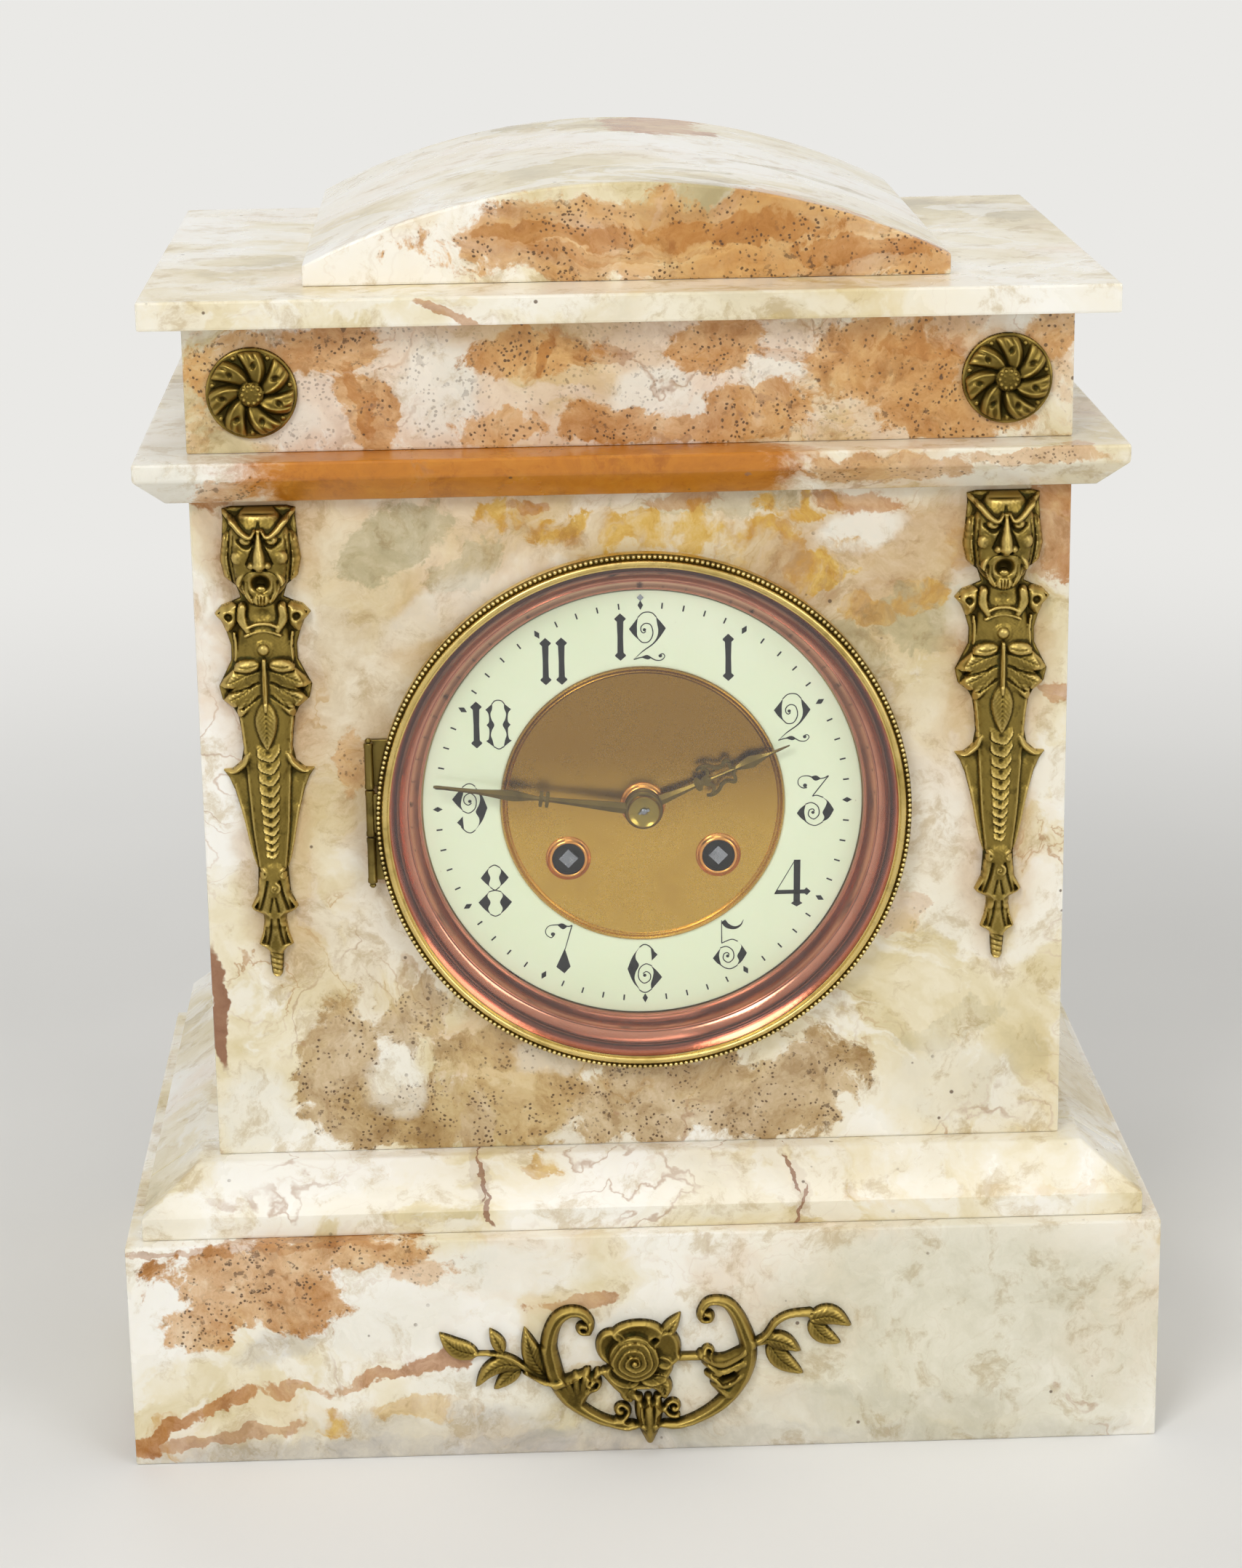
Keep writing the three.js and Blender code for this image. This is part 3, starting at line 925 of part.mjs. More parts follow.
// A coiled steel gong standing on a block on the case floor
const GONG_DROP = -24;
function gong() {
  const gongZ = DIAL_Z + GONG_DROP;
  const turns = GONG_TURNS;
  const steps = turns * 14;
  const route = Array.from({ length: steps + 1 }, (_, i) => {
    const share = i / steps;
    const [x, z] = polar(GONG_RADIUS - GONG_PITCH * turns * share, -Math.PI / 2 + TURN * turns * share);
    return [DIAL_X + x, GONG_Y, gongZ + z];
  });
  const wire = tube(route, GONG_WIRE, steps, 4);
  const blockTop = gongZ - GONG_RADIUS + 2;
  const block = moulded([
    [STEP_TOP, DIAL_X - 13, DIAL_X + 13, GONG_Y - 7, GONG_Y + 7],
    [STEP_TOP + 4, DIAL_X - 12, DIAL_X + 12, GONG_Y - 6, GONG_Y + 6],
    [STEP_TOP + 6, DIAL_X - 5, DIAL_X + 5, GONG_Y - 4, GONG_Y + 4],
    [blockTop, DIAL_X - 4, DIAL_X + 4, GONG_Y - 3, GONG_Y + 3]]);
  piece('gong', steel, join(wire, block));
}

// Motion work and hands

function motionWork() {
  const pipeFront = MINUTE_HAND_BACK - HAND_THICKNESS;
  const shaft = ARBOR_RADIUS + RUNNING_CLEARANCE;
  const cannon = join(rod(0, 0, CANNON_RADIUS, pipeFront, CANNON_TEETH_BACK, 12),
    plate(toothed(CANNON_LEAVES, MOTION_MODULE, CLOCK_TEETH), MINUTE_WHEEL_FRONT - 0.4, CANNON_TEETH_BACK));
  piece('cannon_pinion', brass, cut(cannon, bore(0, 0, shaft, pipeFront - 1, CANNON_TEETH_BACK + 1, 12)), dialGroup);
  const post = bore(0, 0, POST_RADIUS + RUNNING_CLEARANCE, HOUR_WHEEL_FRONT - 3, MINUTE_WHEEL_BACK + 1, 10);
  const wheel = plate(toothed(MINUTE_TEETH, MOTION_MODULE, CLOCK_TEETH, minuteWheelPhase), MINUTE_WHEEL_FRONT,
    MINUTE_WHEEL_BACK);
  const leaves = plate(toothed(MINUTE_PINION_LEAVES, hourModule, CLOCK_TEETH), HOUR_WHEEL_FRONT - 0.4,
    MINUTE_WHEEL_FRONT + 0.4);
  piece('minute_wheel', brass, cut(join(wheel, leaves), post), dialGroup, ...minuteArbor);
  const pipeBore = bore(0, 0, CANNON_RADIUS + RUNNING_CLEARANCE, HOUR_HAND_BACK - 5, HOUR_WHEEL_BACK + 1, 14);
  const hourGear = plate(toothed(HOUR_TEETH, hourModule, CLOCK_TEETH, hourWheelPhase), HOUR_WHEEL_FRONT,
    HOUR_WHEEL_BACK);
  const pipe = rod(0, 0, HOUR_PIPE_RADIUS, HOUR_HAND_BACK - HAND_THICKNESS, HOUR_WHEEL_FRONT + 0.5, 14);
  piece('hour_wheel', brass, cut(join(hourGear, pipe), pipeBore), dialGroup);
}

// A hand's outline along +X from half widths [distance, half width] down one side
const handOutline = (halves) => [...halves.map(([d, w]) => [d, -w]), ...[...halves].reverse().map(([d, w]) => [d, w])];

function hand(name, halves, length, clock, y0, boss, hole, holeSides, openings = []) {
  const scaled = halves.map(([share, width]) => [share * length, width]);
  const blade = plate(handOutline(scaled), y0, y0 + HAND_THICKNESS);
  const ring = rod(0, 0, boss, y0, y0 + HAND_THICKNESS, 16);
  const pierced = openings.map((outline) => plate(outline, y0 - 1, y0 + HAND_THICKNESS + 1));
  const whole = cut(join(blade, ring), pierced, bore(0, 0, hole, y0 - 1, y0 + HAND_THICKNESS + 1, holeSides));
  const mesh = new THREE.Mesh(geometryOf(whole), brass);
  mesh.name = name;
  mesh.rotation.y = -radians(90 - clock);
  dialGroup.add(mesh);
}

function hands() {
  hand('minute_hand', [[0, 2.2], [0.2, 1.7], [0.45, 0.65], [0.455, 2.1], [0.475, 2.1], [0.48, 0.8], [0.5, 0.8],
    [0.505, 2.1], [0.525, 2.1], [0.53, 0.9], [0.66, 2.1], [0.8, 0.7], [1, 0.35]],
  MINUTE_HAND_LENGTH, MINUTE_HAND_ANGLE, MINUTE_HAND_BACK - HAND_THICKNESS, HAND_BOSS_RADIUS,
  CANNON_RADIUS + RUNNING_CLEARANCE, 12);
  const lobe = (side) => [[0.47, side * 0.9], [0.52, side * 2.6], [0.6, side * 2.2], [0.64, side * 0.8]]
    .map(([share, w]) => [share * HOUR_HAND_LENGTH, w]);
  hand('hour_hand', [[0, 2.4], [0.2, 1.9], [0.37, 1], [0.375, 2.4], [0.395, 2.4], [0.4, 0.9], [0.415, 0.9],
    [0.42, 2.4], [0.44, 2.4], [0.47, 2], [0.52, 3.8], [0.6, 3.4], [0.66, 1], [0.72, 2], [0.84, 0.6], [1, 0.3]],
  HOUR_HAND_LENGTH, HOUR_HAND_ANGLE, HOUR_HAND_BACK - HAND_THICKNESS, HAND_BOSS_RADIUS,
  HOUR_PIPE_RADIUS + RUNNING_CLEARANCE, 14, [lobe(1), lobe(-1).reverse()]);
  const seat = MINUTE_HAND_BACK - HAND_THICKNESS;
  piece('hand_collet', brass, turned([[0, COLLET_FRONT], [COLLET_RADIUS * 0.5, COLLET_FRONT + 0.1],
    [COLLET_RADIUS * 0.85, COLLET_FRONT + 0.6], [COLLET_RADIUS, seat], [0, seat]], 16), dialGroup);
}

// Rear: ring and hinged brass door round the back opening, tied to the front ring by two long screws

const rearHingeX = REAR_APERTURE_RADIUS + REAR_RING_WIDTH + 1.6;
const rearHingeY = BACK + REAR_RING_THICKNESS + FIT + REAR_DOOR_THICKNESS / 2;

function rearKnuckle(z0, z1) {
  const geometry = new THREE.CylinderGeometry(HINGE_RADIUS, HINGE_RADIUS, z1 - z0, 10).rotateX(Math.PI / 2);
  return solidOf(geometry.translate(rearHingeX, rearHingeY, (z0 + z1) / 2));
}

function rearSet() {
  const outer = REAR_APERTURE_RADIUS - FIT;
  const inner = outer - REAR_TUBE_WALL;
  const rim = BACK + REAR_RING_THICKNESS;
  const tubeEnd = BACK - REAR_TUBE_LENGTH;
  const parts = [turned([[inner, tubeEnd], [outer, tubeEnd], [outer, BACK], [REAR_APERTURE_RADIUS + REAR_RING_WIDTH, BACK],
    [REAR_APERTURE_RADIUS + REAR_RING_WIDTH, rim], [inner, rim]], DISC_SIDES)];
  for (const i of [0, 2]) {
    const z0 = -18 + 12 * i + FIT / 2;
    const z1 = -18 + 12 * (i + 1) - FIT / 2;
    parts.push(rearKnuckle(z0, z1));
    parts.push(box(rearHingeX - 4.6, rearHingeX + HINGE_RADIUS * 0.8, BACK, rim, z0, z1));
    parts.push(box(rearHingeX - 0.8, rearHingeX + 0.8, BACK + 1, rearHingeY, z0, z1));
  }
  for (const side of [-1, 1]) {
    const [a, b] = [side * (TIE_SCREW_X - 4), side * (inner + 0.6)].sort((p, q) => p - q);
    parts.push(cut(box(a, b, tubeEnd, tubeEnd + 2.5, -5, 5),
      bore(side * TIE_SCREW_X, 0, TIE_SCREW_RADIUS + RUNNING_CLEARANCE, tubeEnd - 1, tubeEnd + 4, 8)));
  }
  const ring = join(parts);
  const strapHoles = [-1, 1].map((side) =>
    bore(side * TIE_SCREW_X, 0, TIE_SCREW_RADIUS + TIE_SCREW_HEAD + 0.2, tubeEnd + 2.5, tubeEnd + 6, 8));
  piece('rear_ring', brass, cut(ring, strapHoles), dialGroup);
  for (const [name, side] of [['tie_screw_left', -1], ['tie_screw_right', 1]]) {
    const start = BODY_FACE + RING_TUBE_LENGTH;
    piece(name, steel, join(rod(0, 0, TIE_SCREW_RADIUS, start, tubeEnd + 3, 8),
      rod(0, 0, TIE_SCREW_RADIUS + TIE_SCREW_HEAD, tubeEnd + 2.5 + FIT, tubeEnd + 4.4, 8)), dialGroup, side * TIE_SCREW_X, 0);
  }
  const doorFront = rim + FIT;
  const doorBack = doorFront + REAR_DOOR_THICKNESS;
  const radius = REAR_APERTURE_RADIUS + REAR_RING_WIDTH - 0.6;
  const disc = turned([[0, doorFront], [radius, doorFront], [radius, doorBack - 0.6], [radius - 2, doorBack],
    [radius - 5, doorBack], [radius - 7, doorBack - 0.8], [0, doorBack - 0.8]], DISC_SIDES);
  const knob = turned([[0, doorBack - 1], [2, doorBack - 1], [1.6, doorBack + 1.5], [3.2, doorBack + 3],
    [2.8, doorBack + 4.6], [0, doorBack + 5]], 10, -radius + 10, 0);
  const leaf = box(radius - 1, rearHingeX, doorFront + 0.2, doorBack - 0.2, -6 + FIT, 6 - FIT);
  piece('rear_door', brass, join(disc, knob, leaf, rearKnuckle(-6 + FIT / 2, 6 - FIT / 2)), dialGroup);
}

plinth();
step();
body();
head();
rosette('rosette_left', -ROSETTE_X);
rosette('rosette_right', ROSETTE_X);
term('term_left', -TERM_X);
term('term_right', TERM_X);
roseMount();
caseRing();
bezelDoor();
dial();
plates();
goingTrain();
windingArbor('going_winding_arbor', goingArbor);
windingArbor('strike_winding_arbor', strikeArbor);
click('going_click', goingArbor, 1);
click('strike_click', strikeArbor, -1);
pallets();
suspension();
pendulum();
strikeTrain();
hammer();
gong();
motionWork();
hands();
rearSet();

export default group;
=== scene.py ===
# Onyx mantel clock: the looks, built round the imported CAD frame.
# Lengths in the tables are millimetres in the frame's own axes: X to the right, the dial faces -Y, Z up.
import math
from itertools import product

import bmesh
import bpy
import numpy as np
from mathutils import Matrix, Vector
from mathutils.geometry import tessellate_polygon


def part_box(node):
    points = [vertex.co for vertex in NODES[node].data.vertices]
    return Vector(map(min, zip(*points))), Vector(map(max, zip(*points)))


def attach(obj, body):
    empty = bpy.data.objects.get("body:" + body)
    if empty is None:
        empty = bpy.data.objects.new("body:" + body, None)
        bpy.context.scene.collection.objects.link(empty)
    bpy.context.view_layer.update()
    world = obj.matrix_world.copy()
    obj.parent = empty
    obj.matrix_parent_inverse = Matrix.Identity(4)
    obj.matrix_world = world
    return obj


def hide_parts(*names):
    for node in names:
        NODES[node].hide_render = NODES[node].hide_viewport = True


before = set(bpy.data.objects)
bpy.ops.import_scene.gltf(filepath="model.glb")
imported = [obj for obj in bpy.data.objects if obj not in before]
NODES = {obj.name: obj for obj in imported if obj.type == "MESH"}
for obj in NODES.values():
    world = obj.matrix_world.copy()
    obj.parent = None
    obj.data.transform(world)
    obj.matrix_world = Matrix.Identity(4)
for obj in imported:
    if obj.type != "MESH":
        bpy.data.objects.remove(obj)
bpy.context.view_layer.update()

MM = 0.001
TURN = 2 * math.pi


def low(node, axis):
    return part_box(node)[0][axis] / MM


def high(node, axis):
    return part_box(node)[1][axis] / MM


def middle(node):
    """The node's middle in X and Z."""
    return (low(node, 0) + high(node, 0)) / 2, (low(node, 2) + high(node, 2)) / 2


# Places read from the frame, in millimetres
DIAL_X, DIAL_Z = middle("chapter_ring")
BODY_FACE = low("body_front", 1)
PLINTH_FACE = low("plinth_front", 1)
DIAL_FACE = low("chapter_ring", 1)
BEZEL_FRONT = low("bezel_ring", 1)
BEZEL_BACK = high("bezel_ring", 1)
BACK = high("body_back", 1)
GLASS_FRONT = low("bezel_glass", 1)
GLASS_BACK = high("bezel_glass", 1)
SCREW_OFFSET = middle("tie_screw_right")[0] - DIAL_X


def rgb(code):
    """A hex colour as linear RGBA."""
    parts = [int(code[i : i + 2], 16) / 255 for i in (0, 2, 4)]
    return tuple(c / 12.92 if c <= 0.04045 else ((c + 0.055) / 1.055) ** 2.4 for c in parts) + (1.0,)


# Node materials


class Nodes:
    """A short way to write the node graph of a material or a world. Most methods return an output socket."""

    def __init__(self, name, owner=None):
        self.owner = owner or bpy.data.materials.new(name)
        self.owner.use_nodes = True
        self.tree = self.owner.node_tree
        self.tree.nodes.clear()

    def node(self, kind, **settings):
        made = self.tree.nodes.new(kind)
        for key, value in settings.items():
            setattr(made, key, value)
        return made

    def put(self, socket, value):
        if isinstance(value, bpy.types.NodeSocket):
            self.tree.links.new(value, socket)
        elif value is not None:
            socket.default_value = value

    def coord(self):
        return self.node("ShaderNodeTexCoord").outputs["Object"]

    def noise(self, where, scale, detail=3.0, rough=0.5, warp=0.0, out="Fac"):
        made = self.node("ShaderNodeTexNoise")
        self.put(made.inputs["Vector"], where)
        for key, value in (("Scale", scale), ("Detail", detail), ("Roughness", rough), ("Distortion", warp)):
            self.put(made.inputs[key], value)
        return made.outputs[out]

    def cells(self, where, scale):
        """Distance to the nearest of many scattered points."""
        made = self.node("ShaderNodeTexVoronoi", feature="F1")
        self.put(made.inputs["Vector"], where)
        self.put(made.inputs["Scale"], scale)
        return made.outputs["Distance"]

    def math(self, kind, a, b=None, clamp=False):
        made = self.node("ShaderNodeMath", operation=kind, use_clamp=clamp)
        self.put(made.inputs[0], a)
        self.put(made.inputs[1], b)
        return made.outputs[0]

    def times(self, a, b, clamp=False):
        return self.math("MULTIPLY", a, b, clamp)

    def vector(self, kind, a, b=None, out=0):
        made = self.node("ShaderNodeVectorMath", operation=kind)
        self.put(made.inputs[0], a)
        self.put(made.inputs[1], b)
        return made.outputs[out]

    def scaled(self, a, factor):
        made = self.node("ShaderNodeVectorMath", operation="SCALE")
        self.put(made.inputs[0], a)
        self.put(made.inputs["Scale"], factor)
        return made.outputs[0]

    def span(self, value, a, b, c=0.0, d=1.0, smooth=False):
        made = self.node("ShaderNodeMapRange", interpolation_type="SMOOTHSTEP" if smooth else "LINEAR")
        for i, v in enumerate((value, a, b, c, d)):
            self.put(made.inputs[i], v)
        return made.outputs[0]

    def patches(self, where, scale, detail, rough, start, full, strength):
        """Soft patches of a noise: 0 below start, and strength above full."""
        return self.span(self.noise(where, scale, detail, rough), start, full, 0, strength, True)

    def mix(self, share, a, b, kind="MIX"):
        made = self.node("ShaderNodeMix", data_type="RGBA", blend_type=kind)
        self.put(made.inputs[0], share)
        self.put(made.inputs[6], a)
        self.put(made.inputs[7], b)
        return made.outputs[2]

    def ramp(self, value, stops):
        made = self.node("ShaderNodeValToRGB")
        line = made.color_ramp
        while len(line.elements) < len(stops):
            line.elements.new(0.5)
        for element, (place, colour) in zip(line.elements, stops):
            element.position = place
            element.color = rgb(colour) if isinstance(colour, str) else colour
        self.put(made.inputs[0], value)
        return made.outputs[0]

    def mapped(self, where, place=(0, 0, 0), turn=(0, 0, 0), size=(1, 1, 1)):
        """Coordinates counted from a place, turned back and divided by a size."""
        made = self.node("ShaderNodeMapping", vector_type="TEXTURE")
        self.put(made.inputs["Vector"], where)
        made.inputs["Location"].default_value = place
        made.inputs["Rotation"].default_value = turn
        made.inputs["Scale"].default_value = size
        return made.outputs[0]

    def axis(self, where, index):
        made = self.node("ShaderNodeSeparateXYZ")
        self.put(made.inputs[0], where)
        return made.outputs[index]

    def attribute(self, name):
        return self.node("ShaderNodeAttribute", attribute_name=name).outputs["Fac"]

    def bump(self, height, strength, distance, below=None):
        made = self.node("ShaderNodeBump")
        made.inputs["Strength"].default_value = strength
        made.inputs["Distance"].default_value = distance
        self.put(made.inputs["Height"], height)
        self.put(made.inputs["Normal"], below)
        return made.outputs[0]

    def seen(self):
        """1 for what the camera sees directly, in reflections and through glass, and 0 for the light."""
        path = self.node("ShaderNodeLightPath").outputs
        seen = self.math("MAXIMUM", path["Is Camera Ray"], path["Is Glossy Ray"])
        return self.math("MAXIMUM", seen, path["Is Transmission Ray"])

    def mixed(self, share, first, second):
        made = self.node("ShaderNodeMixShader")
        for i, value in enumerate((share, first, second)):
            self.put(made.inputs[i], value)
        return made.outputs[0]

    def shader(self, **sockets):
        made = self.node("ShaderNodeBsdfPrincipled")
        for key, value in sockets.items():
            self.put(made.inputs[key.replace("_", " ")], value)
        return made.outputs[0]

    def done(self, shader, kind="ShaderNodeOutputMaterial"):
        self.put(self.node(kind).inputs["Surface"], shader)
        return self.owner


# Onyx: pale translucent clouds with agate lines, then coloured zones in the order given.
# A zone is (x, z, half width, half height, turn in degrees[, strength[, y, half depth]]).
KINDS = {
    "tan": [(0.25, "985f26"), (0.4, "bd843f"), (0.54, "d5a25c"), (0.74, "ecd29c")],
    "beige": [(0.25, "81602f"), (0.4, "a6834b"), (0.54, "c2a168"), (0.74, "e2cfa2")],
    "amber": [(0.25, "a05e10"), (0.5, "c1781b"), (0.75, "d49432")],
    "honey": [(0.25, "a88648"), (0.5, "c8ac72"), (0.75, "e2d0a4")],
    "sage": [(0.25, "bcb698"), (0.5, "d0cbb0"), (0.75, "e0dcc6")],
    "rust": [(0.25, "865010"), (0.48, "b37120"), (0.72, "d09640")],
    "ochre": [(0.25, "8f6012"), (0.42, "c08a26"), (0.55, "d9b45c"), (0.74, "eddcae")],
    "olive": [(0.25, "948a64"), (0.5, "b4a982"), (0.75, "d0c6a2")],
    "grey": [(0.25, "8f8b8c"), (0.5, "b3aeaa"), (0.75, "d9d6d0")],
    "white": [(0.25, "e0dccd"), (0.5, "eeeadd"), (0.75, "f6f3ea")],
    "crack": [(0.3, "7a4e33"), (0.7, "ab8060")],
    "stain": [(0.25, "a0713f"), (0.5, "c39a68"), (0.75, "d8b98c")],
}
SOFT = ("grey", "white", "stain", "honey", "sage")
CLOUDS = [(0.3, "b2a276"), (0.41, "dccda2"), (0.48, "ece2c6"), (0.56, "f6f2e7"), (0.7, "fcfaf5")]


def wavy(n, place, scale, detail, rough, size):
    """A random push in all three directions, of the size given in metres."""
    noise = n.noise(place, scale, detail, rough, out="Color")
    return n.scaled(n.vector("SUBTRACT", noise, (0.5, 0.5, 0.5)), size)


def near_middle(n, noise, middle_value, width, gate):
    """Thin lines where a noise crosses a value, shown where the gate lets them."""
    away = n.math("ABSOLUTE", n.math("SUBTRACT", noise, middle_value))
    return n.times(n.span(away, 0.0, width, 1, 0, True), gate)


def onyx_ground(n, place, warped, cloud, cream, veins):
    """Pale clouds and banks with agate lines along their shores."""
    colour = n.ramp(cloud, CLOUDS)
    banks = n.noise(n.vector("ADD", warped, (0.7, 4.1, 2.6)), 24, 5, 0.58, 1.0)
    colour = n.mix(n.span(banks, 0.5, 0.56, 0, 0.6, True), colour, rgb("f6f3ea"))
    gate = n.patches(place, 19, 3, 0.55, 0.5, 0.62, 0.75 * veins)
    colour = n.mix(near_middle(n, banks, 0.49, 0.014, gate), colour, rgb("bd9468"))
    tint = n.noise(warped, 7, 2, 0.5)
    colour = n.mix(n.span(tint, 0.5, 0.75, 0, cream, True), colour, rgb("ecdcae"), "MULTIPLY")
    pink = n.noise(n.vector("ADD", warped, (3.1, 1.7, 0.4)), 11, 4, 0.6)
    colour = n.mix(n.span(pink, 0.56, 0.75, 0, 0.5, True), colour, rgb("e8caaa"))
    lines = n.math("SINE", n.times(n.noise(warped, 9, 3, 0.5, 0.6), 95))
    thin = n.span(n.math("ABSOLUTE", lines), 0.0, 0.22, 1, 0, True)
    gate = n.patches(place, 14, 2, 0.5, 0.48, 0.64, 0.6 * veins)
    return n.mix(n.times(thin, gate), colour, rgb("c2a184"))


def zone_mask(n, own, ragged, kind, zone):
    """One zone: a turned ellipsoid, with a soft edge or a ragged one."""
    x, z, wide, tall, angle = zone[:5]
    strength = zone[5] if len(zone) > 5 else 1.0
    y, deep = zone[6:8] if len(zone) > 7 else (BODY_FACE, 70)
    local = n.mapped(own, (x * MM, y * MM, z * MM), (0, -math.radians(angle), 0),
                     (wide * MM, deep * MM, tall * MM))
    reach = n.vector("LENGTH", local, out="Value")
    if kind in SOFT:
        return n.span(reach, 1.12, 0.62, 0, strength, True)
    wild = 0.25 if kind in ("amber", "crack") else 1.0
    return n.span(n.math("ADD", reach, n.times(ragged, wild)), 1.0, 0.8, 0, strength, True)


def either(n, first, second):
    """The larger of two masks. The first may be missing."""
    return second if first is None else n.math("MAXIMUM", first, second)


def broken_up(n, kind, mask, warped, mottle, blend):
    """A kind's mask with holes and webs of its own."""
    if kind in ("crack", "amber"):
        return mask
    if kind == "ochre":
        ridge = n.math("ABSOLUTE", n.math("SUBTRACT", n.noise(warped, 34, 5, 0.6, 0.5), 0.5))
        web = n.span(ridge, 0.015, 0.1, 1, 0.12, True)
        return n.times(mask, n.times(web, n.span(mottle, 0.3, 0.5, 0.5, 1.1)), clamp=True)
    return n.times(mask, n.span(blend, 0.34, 0.6, 1.0, 0.66), clamp=True)


def onyx_zones(n, own, warped, colour, layers, stray, strata):
    """Coloured zones in the order given. Returns the colour, and the mask of the zones with dots."""
    mottle = n.noise(warped, 55, 7, 0.68)
    grain = n.noise(warped, 210, 4, 0.7)
    blend = n.math("ADD", n.times(mottle, 0.75), n.times(grain, 0.25))
    if stray:
        drift = n.noise(n.vector("ADD", warped, (1.3, 2.2, 5.1)), 12, 5, 0.62)
        drift = n.span(drift, 0.56, 0.64, 0, stray, True)
        colour = n.mix(drift, colour, n.ramp(blend, KINDS["tan"]))
    ragged = n.math("ADD", n.times(n.math("SUBTRACT", mottle, 0.5), 2.0),
                    n.times(n.math("SUBTRACT", grain, 0.5), 0.5))
    dotted = None
    for kind, zones in layers:
        mask = None
        for zone in zones:
            mask = either(n, mask, zone_mask(n, own, ragged, kind, zone))
        tone = blend
        if strata and kind in ("tan", "amber"):
            bands = n.noise(n.vector("MULTIPLY", warped, (0.22, 0.22, 2.4)), 70, 4, 0.6)
            tone = n.math("ADD", n.times(blend, 1 - strata), n.times(bands, strata))
        broken = broken_up(n, kind, mask, warped, mottle, blend)
        colour = n.mix(broken, colour, n.ramp(tone, KINDS[kind]))
        if kind in ("tan", "beige"):
            dotted = either(n, dotted, mask)
    return colour, dotted


def onyx_marks(n, place, warped, fray, colour, dotted):
    """Worn shades, dark dots and blots in the dotted zones, rare pits and fine veins."""
    worn = n.noise(n.vector("ADD", warped, (5.2, 0.6, 3.3)), 85, 8, 0.72)
    colour = n.mix(n.span(worn, 0.5, 0.34, 0, 0.55, True), colour, rgb("c8b284"), "MULTIPLY")
    if dotted is not None:
        dots = n.cells(n.vector("ADD", place, n.scaled(fray, 0.35)), 780)
        sparse = n.patches(place, 130, 4, 0.65, 0.44, 0.56, 1)
        spots = n.times(n.span(dots, 0.22, 0.36, 1, 0, True), sparse)
        blots = n.patches(place, 420, 3, 0.6, 0.6, 0.65, 0.8)
        blots = n.times(blots, n.patches(place, 45, 3, 0.6, 0.46, 0.6, 1))
        here = n.times(n.math("MAXIMUM", spots, blots), n.times(dotted, 0.9))
        colour = n.mix(here, colour, rgb("52361d"))
    rare = n.times(n.span(n.cells(place, 150), 0.06, 0.1, 1, 0, True),
                   n.patches(place, 22, 2, 0.5, 0.56, 0.6, 0.85))
    colour = n.mix(rare, colour, rgb("5a4028"))
    gate = n.patches(place, 20, 2, 0.5, 0.52, 0.64, 0.6)
    vein = near_middle(n, n.noise(warped, 10, 5, 0.55, 0.3), 0.5, 0.006, gate)
    return n.mix(vein, colour, rgb("a9805c"))


def onyx(name, layers, cream=0.5, stray=0.45, shift=(0, 0, 0), strata=0.0, veins=1.0):
    """The stone. shift moves its pattern in millimetres, so that each slab has its own."""
    n = Nodes(name)
    place = n.vector("ADD", n.coord(), tuple(v * MM for v in shift))
    sway = wavy(n, place, 16, 3, 0.5, 0.035)
    fray = wavy(n, place, 75, 4, 0.6, 0.012)
    warped = n.vector("ADD", n.vector("ADD", place, sway), fray)
    own = n.vector("ADD", n.vector("ADD", n.coord(), n.scaled(sway, 0.28)), n.scaled(fray, 1.1))
    cloud = n.noise(warped, 13, 6, 0.58, 0.5)
    colour = onyx_ground(n, place, warped, cloud, cream, veins)
    colour, dotted = onyx_zones(n, own, warped, colour, layers, stray, strata)
    colour = onyx_marks(n, place, warped, fray, colour, dotted)
    polish = n.span(cloud, 0.3, 0.7, 0.2, 0.32)
    skin = n.bump(n.noise(place, 70, 2, 0.4), 0.05, 0.0006)
    return n.done(n.shader(Base_Color=colour, Roughness=polish, Normal=skin, IOR=1.49,
                           Subsurface_Weight=0.1, Subsurface_Radius=(0.9, 0.8, 0.6), Subsurface_Scale=0.004,
                           Coat_Weight=0.12, Coat_Roughness=0.06))


